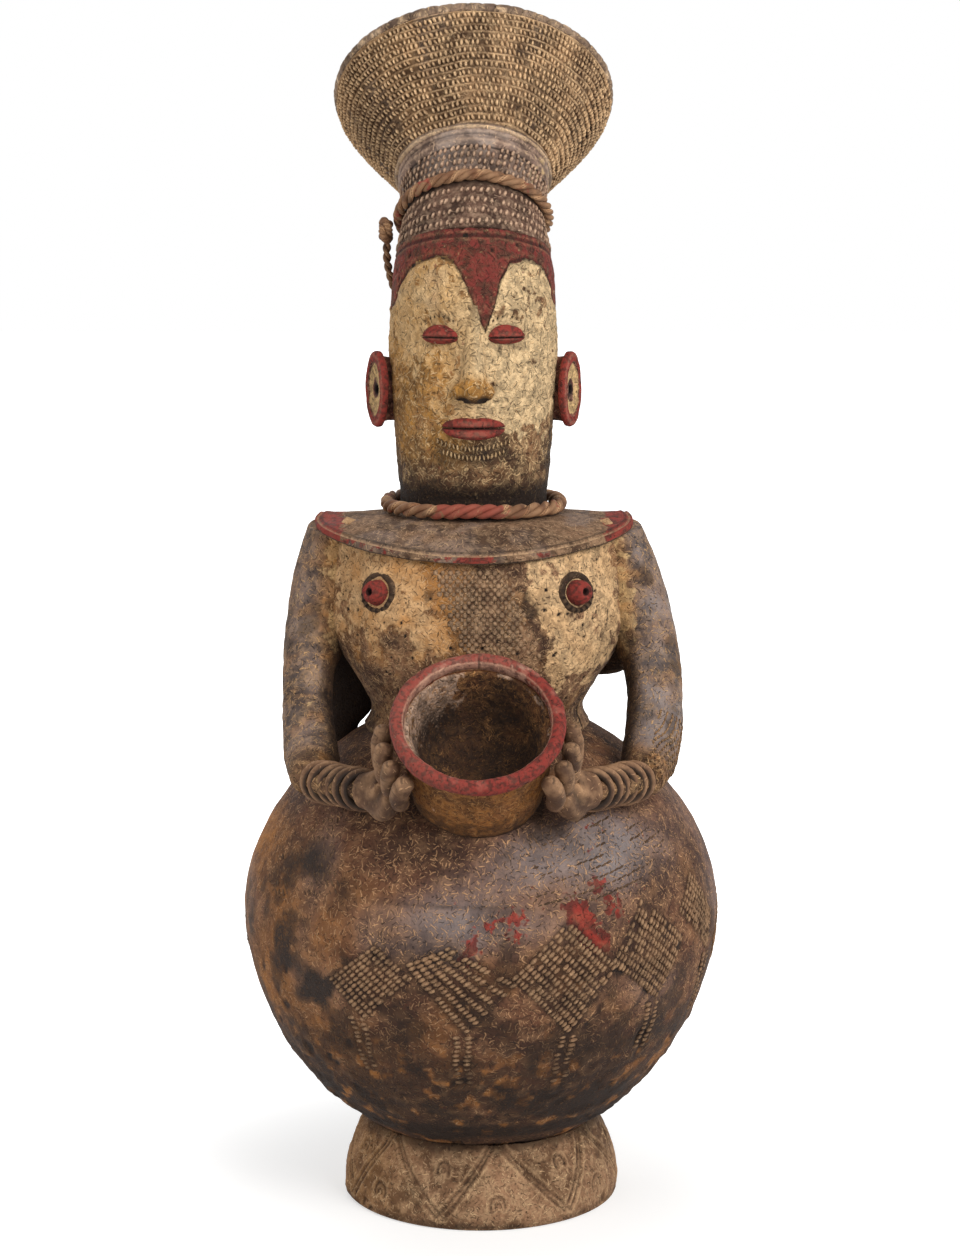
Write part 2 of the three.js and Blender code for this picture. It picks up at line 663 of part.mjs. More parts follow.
function onChest(side, geometry) {
  const { point, out } = chestSpot(side);
  const turn = new THREE.Quaternion().setFromUnitVectors(vector(0, 0, 1), out);
  return solidOf(geometry.applyQuaternion(turn).translate(point.x, point.y, point.z));
}

function makeNipple(side) {
  const holeRadius = 0.9;
  const points = [
    [0, -3],
    [NIPPLE_RADIUS, -3],
    [NIPPLE_RADIUS, 1],
    [NIPPLE_RADIUS * 0.82, NIPPLE_HEIGHT * 0.62],
    [NIPPLE_RADIUS * 0.46, NIPPLE_HEIGHT],
    [holeRadius, NIPPLE_HEIGHT],
    [holeRadius, NIPPLE_HEIGHT - 3],
    [0, NIPPLE_HEIGHT - 3],
  ];
  const z = torsoTop - NIPPLE_DROP;
  return carve(onChest(side, turned(points, 10)), torsoSolid(z - 16, z + 16, 3, SEAM));
}

function makeCollar(side) {
  const inner = NIPPLE_RADIUS + SEAM;
  const outer = inner + 2 * NIPPLE_COLLAR;
  const points = [
    [inner, -3],
    [outer, -3],
    [outer, 0.5],
    [outer - 0.6, NIPPLE_COLLAR],
    [inner, NIPPLE_COLLAR],
    [inner, -3],
  ];
  const z = torsoTop - NIPPLE_DROP;
  return carve(onChest(side, turned(points, 14)), torsoSolid(z - 16, z + 16, 6, SEAM));
}

// Bowl: it leans forward and stands on the front of the belly's shoulder.
const bowlLean = radians(BOWL_LEAN);
const bowlAxis = vector(0, -Math.sin(bowlLean), Math.cos(bowlLean));
const bowlUp = vector(0, Math.cos(bowlLean), Math.sin(bowlLean));
const bowlSeat = vector(BOWL_X, -BOWL_FORWARD, bellyHeight(BOWL_FORWARD, true));
const bowlMouth = bowlSeat.clone().addScaledVector(bowlAxis, BOWL_HEIGHT);

// A point by its depth below the bowl's mouth, its turn from the bowl's side towards its back,
// and its distance from the bowl's axis.
function bowlPoint(depth, turn, radius, side = 1) {
  return bowlMouth
    .clone()
    .addScaledVector(bowlAxis, -depth)
    .addScaledVector(vector(side, 0, 0), radius * Math.cos(turn))
    .addScaledVector(bowlUp, radius * Math.sin(turn));
}

function bowlGeometry(points, sides) {
  const turn = new THREE.Quaternion().setFromUnitVectors(vector(0, 0, 1), bowlAxis);
  return turned(points, sides).applyQuaternion(turn).translate(bowlMouth.x, bowlMouth.y, bowlMouth.z);
}

function bowlOutline(grow) {
  return [
    [BOWL_MOUTH_RADIUS - 1 + grow, -BOWL_RIM_COIL - SEAM],
    [BOWL_WAIST_RADIUS + grow, -12],
    [lerp(BOWL_WAIST_RADIUS, BOWL_BASE_RADIUS, 0.1) + grow, -24],
    [lerp(BOWL_WAIST_RADIUS, BOWL_BASE_RADIUS, 0.45) + grow, -BOWL_HEIGHT + 4],
    [BOWL_BASE_RADIUS + grow, -BOWL_HEIGHT - 4],
    [BOWL_BASE_RADIUS - 3 + grow, -BOWL_HEIGHT - 11],
  ];
}

function makeBowl() {
  const lip = BOWL_MOUTH_RADIUS - 1 - BOWL_WALL;
  const inside = [
    [lip, -BOWL_RIM_COIL - SEAM],
    [BOWL_WAIST_RADIUS - BOWL_WALL, -12],
    [BOWL_WAIST_RADIUS - BOWL_WALL - 1.5, -20],
    [BOWL_BASE_RADIUS - BOWL_WALL - 3, -BOWL_CAVITY_DEPTH + 5],
    [BOWL_BASE_RADIUS * 0.4, -BOWL_CAVITY_DEPTH + 0.8],
    [0, -BOWL_CAVITY_DEPTH],
  ];
  const bottom = [0, -BOWL_HEIGHT - 11];
  const points = [bottom, ...bowlOutline(0).reverse(), ...inside];
  return carve(solidOf(bowlGeometry(points, BOWL_ROUND)), bellyCutter());
}

function bowlCutter(grow) {
  const outline = bowlOutline(grow);
  const rim = ring(bowlMouth, bowlAxis, BOWL_MOUTH_RADIUS, BOWL_RIM_COIL + grow, 8, BOWL_ROUND);
  const top = [0, outline[0][1]];
  const bottom = [0, outline[outline.length - 1][1]];
  const points = [bottom, ...[...outline].reverse(), top];
  return solidOf(bowlGeometry(points, BOWL_ROUND)).add(rim);
}

function makeBowlRim() {
  return ring(bowlMouth, bowlAxis, BOWL_MOUTH_RADIUS, BOWL_RIM_COIL, 7, BOWL_ROUND);
}

// Arms. The wrist lies beside the bowl, the forearm lies on the belly, and the upper arm hangs
// from under the plate's tip.
function overBelly(x, y, radius) {
  const lift = radius + SEAM * 4;
  const r = Math.hypot(x, y);
  return bellyHeight(Math.min(r, BELLY_RADIUS + lift - 1), true, lift);
}

function armPath(side) {
  const wrist = bowlPoint(34, radians(-11), BOWL_WAIST_RADIUS + 15, side);
  const bangleReach = (BANGLES - 1) * BANGLE_PITCH;
  const drift = vector(side * 0.84, 0.54, 0.05).normalize();
  const bangleEnd = wrist.clone().addScaledVector(drift, bangleReach + 6.5);
  const elbowX = side * (ARM_SPREAD - 3);
  const elbowY = bangleEnd.y + 22;
  const elbow = vector(elbowX, elbowY, overBelly(elbowX, elbowY, ELBOW_RADIUS) + 1.5);
  const shoulderX = HEAD_X * 0.7 + side * (PLATE_SIDE - armRadius(side) + 1);
  const shoulder = vector(shoulderX, TORSO_Y + 2, torsoTop + 2);
  const spread = (share) => lerp(shoulderX, side * ARM_SPREAD, share);
  const down = (share) => lerp(shoulder.z, elbow.z, share);
  return {
    wrist,
    drift,
    points: [
      shoulder,
      vector(spread(0.42), TORSO_Y, down(0.2)),
      vector(spread(0.8), TORSO_Y - 4, down(0.45)),
      vector(spread(1), lerp(TORSO_Y, elbow.y, 0.5), down(0.77)),
      elbow,
      bangleEnd,
      wrist.clone().addScaledVector(drift, bangleReach * 0.5),
      wrist,
    ],
  };
}

const armRadius = (side) => (side > 0 ? LEFT_ARM_RADIUS : RIGHT_ARM_RADIUS);

function armSolid(side, grow) {
  const { points } = armPath(side);
  const reach = [0];
  points.slice(1).forEach((point, i) => reach.push(reach[i] + point.distanceTo(points[i])));
  const total = reach[reach.length - 1];
  const [, upper, middle, low, elbow, wristStart] = reach.map((length) => length / total);
  const rows = [
    [0, ARMPIT_RADIUS - 1],
    [upper, ARMPIT_RADIUS],
    [middle, lerp(ARMPIT_RADIUS, armRadius(side), 0.3)],
    [low, lerp(armRadius(side), ELBOW_RADIUS, 0.2)],
    [elbow, ELBOW_RADIUS],
    [lerp(elbow, wristStart, 0.5), FOREARM_RADIUS],
    [lerp(elbow, wristStart, 0.82), lerp(FOREARM_RADIUS, WRIST_RADIUS, 0.3)],
    [wristStart, WRIST_RADIUS],
    [1, WRIST_RADIUS],
  ];
  const half = (u) => {
    const radius = sample(rows, u)[0] + grow;
    return [radius, radius];
  };
  return bar(points, half, () => vector(side, 0.6, 0.8), ARM_ROUND, 20);
}

// Lays a shape that stands on +Z along the wrist, from the hand towards the elbow.
function alongWrist(side, geometry) {
  const { wrist, drift } = armPath(side);
  const turn = new THREE.Quaternion().setFromUnitVectors(vector(0, 0, 1), drift);
  return solidOf(geometry.applyQuaternion(turn).translate(wrist.x, wrist.y, wrist.z));
}

// The room round the wrist that the bangles take up.
function bangleSleeve(side) {
  const inner = WRIST_RADIUS + SEAM;
  const outer = inner + 4 * BANGLE_COIL + 8;
  const end = FIRST_BANGLE + (BANGLES - 1) * BANGLE_PITCH + BANGLE_COIL + SEAM;
  const points = [[inner, -6], [outer, -6], [outer, end], [inner, end], [inner, -6]];
  return alongWrist(side, turned(points, 16));
}

function makeArm(side) {
  const torso = torsoSolid(torsoBase - 20, torsoTop + 20, 16, SEAM);
  const room = [torso, bellyCutter(), plateCutter(), bangleSleeve(side), palmSolid(side, SEAM)];
  return carve(armSolid(side, 0), ...room);
}

function makeBangle(side, index) {
  const { wrist, drift } = armPath(side);
  const centre = wrist.clone().addScaledVector(drift, FIRST_BANGLE + index * BANGLE_PITCH);
  const radius = WRIST_RADIUS + SEAM * 2 + BANGLE_COIL;
  return ring(centre, drift, radius, BANGLE_COIL, 5, 14);
}

// Hands. The palm lies on the belly beside the bowl, and four fingers climb its side.
function palmSolid(side, grow) {
  const { wrist, drift } = armPath(side);
  const turn = radians(KNUCKLE_TURN);
  const knuckles = bowlPoint(KNUCKLE_DEPTH - 1, turn, BOWL_WAIST_RADIUS + 5.5, side);
  const middle = bowlPoint(KNUCKLE_DEPTH + 8, turn, BOWL_WAIST_RADIUS + 9, side);
  const points = [wrist.clone().addScaledVector(drift, 1), middle, knuckles];
  const widths = [[0, WRIST_RADIUS + 0.6], [0.5, PALM_WIDTH], [1, PALM_WIDTH + 1]];
  const half = (u) => {
    const dome = domed(u, 0.2, 0.3);
    return [(sample(widths, u)[0] + grow) * dome, (PALM_THICKNESS + grow) * dome];
  };
  return bar(points, half, () => vector(side, -0.2, 0.1), 10, 8);
}

function makePalm(side) {
  const start = FIRST_BANGLE - BANGLE_COIL - SEAM;
  const forearm = new THREE.CylinderGeometry(18, 18, 30, 12).rotateX(Math.PI / 2);
  const stop = alongWrist(side, forearm.translate(0, 0, start + 15));
  return carve(palmSolid(side, 0), bowlCutter(SEAM), bellyCutter(), stop);
}

// Each finger's turn round the bowl at its knuckle and at its tip, in degrees.
const fingers = [
  { name: "index_finger", knuckle: -8, tip: 4 },
  { name: "middle_finger", knuckle: -16, tip: -11 },
  { name: "ring_finger", knuckle: -24, tip: -26 },
  { name: "little_finger", knuckle: -33, tip: -41 },
];

function fingerSolid(side, finger, grow) {
  const rest = BOWL_WAIST_RADIUS + FINGER_RADIUS;
  const between = radians(lerp(finger.knuckle, finger.tip, 0.45));
  const start = bowlPoint(KNUCKLE_DEPTH + 4, radians(finger.knuckle), rest + 4, side);
  const bend = bowlPoint(lerp(KNUCKLE_DEPTH, TIP_DEPTH, 0.45), between, rest + 4, side);
  const tip = bowlPoint(TIP_DEPTH, radians(finger.tip), rest + 3, side);
  const half = (u) => {
    const radius = FINGER_RADIUS * domed(u, 0.12, 0.16) + grow;
    return [radius, radius];
  };
  return bar([start, bend, tip], half, () => vector(side, -0.3, 0.2), FINGER_ROUND, 6);
}

function makeFingers(side) {
  const blocks = [bowlCutter(SEAM), palmSolid(side, SEAM)];
  return fingers.map((finger) => {
    const made = carve(fingerSolid(side, finger, 0), ...blocks);
    blocks.push(fingerSolid(side, finger, SEAM));
    return made;
  });
}

// Cords
function makeNeckCord() {
  const radius = NECK_SIDE + NECK_CORD_SLACK + NECK_CORD_RADIUS;
  const centre = vector(HEAD_X, NECK_Y, plateTop + NECK_CORD_RADIUS + SEAM);
  return ring(centre, vector(0, 0, 1), radius, NECK_CORD_RADIUS, 6, LARGE_ROUND);
}

const headCordRadius = CROWN_RADIUS + 2 * SEAM + HEAD_CORD_RADIUS;

function makeHeadCord() {
  const { centre, axis } = headStation(crown);
  return ring(centre, axis, headCordRadius, HEAD_CORD_RADIUS, 6, CORD_ROUND);
}

const knotCentre = (() => {
  const { centre } = headStation(crown);
  const reach = headCordRadius + HEAD_CORD_RADIUS + KNOT_SIZE * 0.55;
  return centre.clone().add(vector(-reach, KNOT_BACK, -KNOT_DROP));
})();

function makeKnot() {
  const halves = [KNOT_SIZE * 1.1, KNOT_SIZE, KNOT_SIZE * 0.9];
  const knot = lump(knotCentre, vector(0.2, 0, 1), vector(1, 0, 0), halves, 10);
  const { centre, axis } = headStation(crown);
  const cord = ring(centre, axis, headCordRadius, HEAD_CORD_RADIUS + SEAM, 8, CORD_ROUND);
  return carve(knot, cord, headSolid(browAt, flareBase, 8, SEAM));
}

// The cord's free end hangs from the knot, down and back along the side of the head. Each row
// gives shares of its way inward, back and down.
const tailRoute = [
  [0, 0, 0],
  [-0.04, 0.06, 0.14],
  [0.02, 0.18, 0.31],
  [0.21, 0.38, 0.49],
  [0.48, 0.62, 0.66],
  [0.75, 0.84, 0.84],
  [1, 1, 1],
];
const tailStart = knotCentre.clone().add(vector(0.6, 0.2, -KNOT_SIZE * 1.1 - SEAM));
const tailPoints = tailRoute.map(([inward, back, down]) =>
  tailStart.clone().add(vector(inward * TAIL_INWARD, back * TAIL_BACK, -down * TAIL_FALL)),
);

function makeTail() {
  const half = () => [TAIL_RADIUS, TAIL_RADIUS];
  return bar(tailPoints, half, () => vector(1, 0, 0), 8, 9);
}

// Colours, as they show in daylight
const clay = (color, roughness = 0.85) =>
  new THREE.MeshStandardMaterial({ color, roughness, metalness: 0 });
const DARK_CLAY = 0x4a3a30;
const BROWN_CLAY = 0x5e4a3c;
const PALE_CLAY = 0x8a6f52;
const CREAM_SLIP = 0xc9ab78;
const RED_PAINT = 0x8e3a33;
const BASKET_CLAY = 0x8b6d48;
const FIBRE = 0x8a5f3c;

const jar = new THREE.Group();

// Adds a solid to a group as a named mesh, in the group's own frame.
function add(group, name, solid, color, roughness) {
  const mesh = solid.getMesh();
  const stride = mesh.numProp;
  const corners = new Float32Array(mesh.numVert * 3);
  for (let i = 0; i < mesh.numVert; i += 1) {
    corners.set(mesh.vertProperties.subarray(i * stride, i * stride + 3), i * 3);
  }
  const geometry = new THREE.BufferGeometry();
  geometry.setAttribute("position", new THREE.BufferAttribute(corners, 3));
  geometry.setIndex(new THREE.BufferAttribute(new Uint32Array(mesh.triVerts), 1));
  group.updateWorldMatrix(true, false);
  geometry.applyMatrix4(group.matrixWorld.clone().invert());
  geometry.computeVertexNormals();
  const piece = new THREE.Mesh(geometry, clay(color, roughness));
  piece.name = name;
  group.add(piece);
}

function groupAt(place) {
  const group = new THREE.Group();
  group.position.copy(place);
  jar.add(group);
  return group;
}

const vessel = groupAt(vector(0, 0, 0));
add(vessel, "foot_ring", makeFoot(), BROWN_CLAY);
add(vessel, "belly", makeBelly(), DARK_CLAY);

const trunk = groupAt(vector(TORSO_X, TORSO_Y, torsoBase));
add(trunk, "torso", makeTorso(), CREAM_SLIP);
add(trunk, "shoulder_plate", makePlate(), BROWN_CLAY);

const head = groupAt(vector(HEAD_X, NECK_Y, neckBase));
const hollow = headHollow();
const part = (from, to, steps, sides) => carve(headSolid(from, to, steps, 0, sides), hollow);
add(head, "head", part(0, hairline, 12, HEAD_ROUND), CREAM_SLIP);
add(head, "headband", part(hairline + SEAM, flareBase, 5, HEAD_ROUND), BROWN_CLAY);
add(head, "coiffure_flare", part(flareBase + SEAM, flareMouth, 6, LARGE_ROUND), BASKET_CLAY);
const mouthStation = headStation(flareMouth);
const coilCentre = mouthStation.centre
  .clone()
  .addScaledVector(mouthStation.axis, FLARE_COIL_RADIUS + SEAM);
const coilReach = FLARE_MOUTH_RADIUS - FLARE_WALL / 2 + 1;
const flareCoil = ring(coilCentre, mouthStation.axis, coilReach, FLARE_COIL_RADIUS, 6, LARGE_ROUND);
add(head, "coiffure_rim", flareCoil, BROWN_CLAY);
add(head, "nose", makeNose(), CREAM_SLIP);
add(head, "upper_lip", makeLip(true), RED_PAINT);
add(head, "lower_lip", makeLip(false), RED_PAINT);
add(head, "head_cord", makeHeadCord(), FIBRE);
add(head, "head_cord_knot", makeKnot(), FIBRE);
add(head, "head_cord_tail", makeTail(), FIBRE);
add(head, "neck_cord", makeNeckCord(), FIBRE);

const bowl = groupAt(bowlMouth);
add(bowl, "bowl", makeBowl(), PALE_CLAY);
add(bowl, "bowl_rim", makeBowlRim(), RED_PAINT);

for (const [side, word] of [[1, "left"], [-1, "right"]]) {
  add(head, `upper_eyelid_${word}`, makeLid(side, true), RED_PAINT);
  add(head, `lower_eyelid_${word}`, makeLid(side, false), RED_PAINT);
  add(head, `ear_${word}`, makeEar(side), RED_PAINT);
  add(trunk, `nipple_${word}`, makeNipple(side), RED_PAINT);
  add(trunk, `nipple_collar_${word}`, makeCollar(side), PALE_CLAY);
  const limb = groupAt(armPath(side).points[0]);
  add(limb, `arm_${word}`, makeArm(side), DARK_CLAY);
  for (let i = 0; i < BANGLES; i += 1) {
    add(limb, `bangle_${word}_${i + 1}`, makeBangle(side, i), BROWN_CLAY);
  }
  const hand = groupAt(armPath(side).wrist);
  add(hand, `palm_${word}`, makePalm(side), BROWN_CLAY);
  makeFingers(side).forEach((solid, i) => {
    add(hand, `${fingers[i].name}_${word}`, solid, BROWN_CLAY);
  });
}

export default jar;
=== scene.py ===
"""Looks of a figural clay jar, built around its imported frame.

The jar is a round belly on a ring foot. A figure rises from it, holds a small bowl, and wears a
flared coiffure that is the jar's mouth. Sizes in this file are millimetres, as a potter measures
them, and become metres only where a mesh, a lamp or a cord is made. +Z is up, the figure faces
-Y, and its left side is +X. A turn is an angle about +Z from the front towards +X.
"""

import logging
import math
from dataclasses import dataclass
from enum import Enum
from itertools import product
from typing import Callable, Sequence

import bpy
import numpy as np
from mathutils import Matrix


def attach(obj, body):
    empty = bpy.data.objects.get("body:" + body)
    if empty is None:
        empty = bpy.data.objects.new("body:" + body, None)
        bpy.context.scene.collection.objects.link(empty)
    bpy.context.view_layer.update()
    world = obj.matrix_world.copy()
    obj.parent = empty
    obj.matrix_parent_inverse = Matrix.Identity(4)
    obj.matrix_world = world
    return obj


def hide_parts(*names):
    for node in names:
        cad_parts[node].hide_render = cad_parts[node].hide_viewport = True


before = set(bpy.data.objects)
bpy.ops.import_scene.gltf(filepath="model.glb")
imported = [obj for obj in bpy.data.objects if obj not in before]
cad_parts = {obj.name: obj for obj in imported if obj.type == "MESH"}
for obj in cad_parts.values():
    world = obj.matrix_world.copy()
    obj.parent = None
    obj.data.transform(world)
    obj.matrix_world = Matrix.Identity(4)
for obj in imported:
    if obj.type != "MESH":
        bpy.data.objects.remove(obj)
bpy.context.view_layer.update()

logging.basicConfig(level=logging.INFO, format="%(message)s")
log = logging.getLogger("jar")

Array = np.ndarray
Colour = tuple[float, float, float]
Socket = bpy.types.NodeSocket
Outline = Sequence[tuple[float, float]]

MM = 0.001
SIDEWAYS = np.array([1.0, 0.0, 0.0])
UP = np.array([0.0, 0.0, 1.0])
FAR = 1e9
HEAVIEST_MARK = 1.4
GRAIN_SIDES = 8
GRAIN_RINGS = [(0.55, 0.84), (0.92, 0.35), (1.0, -0.5)]
GRAIN_DEEP = -0.5
# The dark of soot stains, also used as painted shade.
SOOT_AND_SHADE_COLOUR = (34, 21, 13)


class Mark(Enum):
    """What a vertex carries besides its bare clay."""

    SLIP = "slip"
    RED = "red"
    # soot: soot stains, and painted shade under and between parts and inside hollows
    SOOT = "soot"
    OCHRE = "ochre"
    # haze: grey patches, and a painted blue-grey sheen on burnished clay
    HAZE = "haze"
    # hollow: painted shade in dips, creases and between parts, with some dirt
    HOLLOW = "hollow"
    # ridge: a painted highlight on raised tops, with some wear
    RIDGE = "ridge"
    ALONG = "along"
    ROUND = "round"


class Side(Enum):
    """The figure's own left and right."""

    LEFT = 1
    RIGHT = -1

    @property
    def word(self) -> str:
        """The side's name in a piece's name."""
        return self.name.lower()


Marks = dict[Mark, Array]


# Numbers and noise


def lerp(start: float | Array, end: float | Array, share: float | Array) -> float | Array:
    """The value at a share of the way from start to end."""
    return start + (end - start) * share


def ease(low: float, high: float, value: Array) -> Array:
    """Rises smoothly from 0 at low to 1 at high, or falls where low is over high."""
    share = np.clip((value - low) / (high - low), 0.0, 1.0)
    return share * share * (3 - 2 * share)


def bump(value: Array, centre: float, half: float) -> Array:
    """A smooth hill of height 1 at centre that ends half away from it."""
    return ease(half, 0.0, np.abs(value - centre))


def bell(*shares: Array) -> Array:
    """A hill of height 1 where every share is 0, from distances as shares of its width."""
    return np.exp(-sum(share**2 for share in shares))


def unit(vectors: Array) -> Array:
    """The vectors with a length of 1."""
    return vectors / np.maximum(np.linalg.norm(vectors, axis=-1, keepdims=True), 1e-9)


def full_turn(count: int) -> Array:
    """Evenly spaced angles once round."""
    return np.linspace(0, math.tau, count, endpoint=False)


def turns_round(columns: int, bunch: float = 0.0) -> Array:
    """Turns from -180 to 180 degrees, in radians, closer together at the front by bunch."""
    even = np.linspace(-math.pi, math.pi, columns, endpoint=False)
    return even - bunch * np.sin(even)


def scatter(cells: Array, seed: int) -> Array:
    """A repeatable random number from 0 to 1 for each whole-number cell."""
    mixed = cells[..., 0] * 73856093 ^ cells[..., 1] * 19349663 ^ cells[..., 2] * 83492791
    mixed = (mixed ^ seed * 40503) & 0x7FFFFFFF
    mixed = (mixed ^ mixed >> 15) * 0x2C1B3C6D & 0x7FFFFFFF
    mixed = (mixed ^ mixed >> 12) * 0x297A2D39 & 0x7FFFFFFF
    return (mixed ^ mixed >> 15) / 0x7FFFFFFF


def chances(cells: Array, seeds: Sequence[int]) -> Array:
    """Random numbers for each cell, one to a seed, along a new last axis."""
    return np.stack([scatter(cells, seed) for seed in seeds], axis=-1)


def noise(points: Array, size: float, seed: int = 0) -> Array:
    """Smooth lumps about size across, from -1 to 1."""
    cell = points / size + seed * 17.31
    whole = np.floor(cell)
    share = cell - whole
    share = share * share * (3 - 2 * share)
    whole = whole.astype(np.int64)
    total = np.zeros(points.shape[:-1])
    for corner in product((0, 1), repeat=3):
        weight = np.prod(np.where(np.array(corner) == 1, share, 1 - share), axis=-1)
        total += weight * scatter(whole + np.array(corner), seed)
    return total * 2 - 1


def layered(points: Array, size: float, layers: int = 4, seed: int = 0) -> Array:
    """Lumps of several sizes, each half the last one's, from about -1 to 1."""
    total = np.zeros(points.shape[:-1])
    for layer in range(layers):
        total += noise(points, size / 2**layer, seed + layer * 7) / 2**layer
    return total


def specks(points: Array, size: float, seed: int = 0) -> tuple[Array, Array]:
    """Finds the nearest of the specks that are scattered one to a cell.

    Args:
        points: where to look.
        size: the width of a cell.
        seed: which scatter.

    Returns:
        How far the nearest speck is, in cells, and that speck's own random number.
    """
    cell = points / size
    whole = np.floor(cell).astype(np.int64)
    best = np.full(points.shape[:-1], FAR)
    tone = np.zeros_like(best)
    for step in product((-1, 0, 1), repeat=3):
        near = whole + np.array(step)
        centre = near + chances(near, range(seed, seed + 3))
        gap = np.linalg.norm(cell - centre, axis=-1)
        tone = np.where(gap < best, scatter(near, seed + 3), tone)
        best = np.minimum(gap, best)
    return best, tone


def hermite(t: Array, ends: Sequence[Array], slopes: Sequence[Array]) -> Array:
    """The smooth way between two ends that leaves each with its own slope."""
    (start, end), (first, last) = ends, slopes
    near = (2 * t**3 - 3 * t**2 + 1) * start + (t**3 - 2 * t**2 + t) * first
    return near + (3 * t**2 - 2 * t**3) * end + (t**3 - t**2) * last


def read_rows(rows: Sequence[Sequence[float]], at: Array) -> Array:
    """Reads a table of rows [at, value, ...] smoothly, level at each turn.

    Args:
        rows: the table, in rising order.
        at: where to read it.

    Returns:
        The values, along a new last axis.
    """
    table = np.array(rows, float)
    places, values = table[:, 0], table[:, 1:]
    steps = np.diff(values, axis=0)
    slopes = np.zeros_like(values)
    slopes[0] = steps[0] / (places[1] - places[0])
    slopes[-1] = steps[-1] / (places[-1] - places[-2])
    means = (values[2:] - values[:-2]) / (places[2:] - places[:-2])[:, None]
    slopes[1:-1] = np.where(steps[1:] * steps[:-1] > 0, means, 0.0)
    at = np.asarray(at, float)
    k = np.clip(np.searchsorted(places, at, side="right") - 1, 0, len(places) - 2)
    span = places[k + 1] - places[k]
    t = np.clip((at - places[k]) / span, 0, 1)[..., None]
    span = span[..., None]
    return hermite(t, (values[k], values[k + 1]), (slopes[k] * span, slopes[k + 1] * span))


def through(points: Sequence[Sequence[float]], count: int) -> Array:
    """Evenly spaced points on the smooth curve that passes through the given ones."""
    given = np.array(points, float)
    padded = np.vstack([2 * given[0] - given[1], given, 2 * given[-1] - given[-2]])
    pieces = []
    for k in range(1, len(padded) - 2):
        four = padded[k - 1 : k + 3]
        before, middle, after = np.maximum(np.linalg.norm(np.diff(four, axis=0), axis=1) ** 0.5, 1e-4)
        start = (four[1] - four[0]) / before - (four[2] - four[0]) / (before + middle)
        start = (start + (four[2] - four[1]) / middle) * middle
        end = (four[2] - four[1]) / middle - (four[3] - four[1]) / (middle + after)
        end = (end + (four[3] - four[2]) / after) * middle
        t = np.linspace(0, 1, 24, endpoint=k == len(padded) - 3)[:, None]
        pieces.append(hermite(t, four[1:3], (start, end)))
    return spaced(np.vstack(pieces), count)


def at_ranks(line: Array, rank: Array, count: int) -> Array:
    """A line's points, moved so that they are evenly spaced by rank."""
    even = np.linspace(0, rank[-1], count)
    return np.stack([np.interp(even, rank, line[:, k]) for k in range(line.shape[1])], axis=-1)


def spaced(line: Array, count: int) -> Array:
    """A line's points, moved so that they lie evenly along it."""
    reach = np.concatenate([[0], np.cumsum(np.linalg.norm(np.diff(line, axis=0), axis=1))])
    return at_ranks(line, reach, count)


def paced(line: Array, step: float | Callable[[Array], Array]) -> Array:
    """A line's points, spaced by a step, or by what step says at each place along it."""
    gaps = np.linalg.norm(np.diff(line, axis=0), axis=1)
    pace = step((line[1:] + line[:-1]) / 2) if callable(step) else step
    rank = np.concatenate([[0], np.cumsum(gaps / pace)])
    return at_ranks(line, rank, round(rank[-1]) + 1)


def near_line(across: Array, up: Array, corners: Outline) -> Array:
    """How far each point of a flat drawing is from a line through corners."""
    best = np.full(np.broadcast(across, up).shape, FAR)
    for (x0, z0), (x1, z1) in zip(corners, corners[1:]):
        dx, dz = x1 - x0, z1 - z0
        share = np.clip(((across - x0) * dx + (up - z0) * dz) / (dx * dx + dz * dz), 0, 1)
        best = np.minimum(best, np.hypot(across - x0 - share * dx, up - z0 - share * dz))
    return best


def within(across: Array, up: Array, corners: Outline) -> Array:
    """How far inside a convex outline each point lies; outside it is under 0."""
    best = np.full(np.broadcast(across, up).shape, FAR)
    middle_x, middle_z = (sum(corner[k] for corner in corners) / len(corners) for k in (0, 1))
    for (x0, z0), (x1, z1) in zip(corners, [*corners[1:], corners[0]]):
        dx, dz = x1 - x0, z1 - z0
        side = (dx * (up - z0) - dz * (across - x0)) / math.hypot(dx, dz)
        own = dx * (middle_z - z0) - dz * (middle_x - x0)
        best = np.minimum(best, side * math.copysign(1.0, own))
    return best


# Meshes


def outward(points: Array, wrap_rows: bool) -> Array:
    """The outward directions of a grid whose rows climb and whose columns turn to +X."""
    climb = np.gradient(points, axis=0)
    if wrap_rows:
        climb = np.roll(points, -1, 0) - np.roll(points, 1, 0)
    return unit(np.cross(np.roll(points, -1, 1) - np.roll(points, 1, 1), climb))


def mould(points: Array, outside: int, relief: Array, wrap_rows: bool) -> Array:
    """Moves a grid's first rows, as many as outside says, out by a relief."""
    moved = points.copy()
    moved[:outside] += outward(points, wrap_rows)[:outside] * relief[..., None]
    return moved


def lathed(section: Array, turns: Array) -> Array:
    """The grid that a section of radii and heights sweeps about the Z axis."""
    r, z = section[:, 0, None], section[:, 1, None]
    return np.stack([r * np.sin(turns), -r * np.cos(turns), z + 0 * turns], axis=-1)


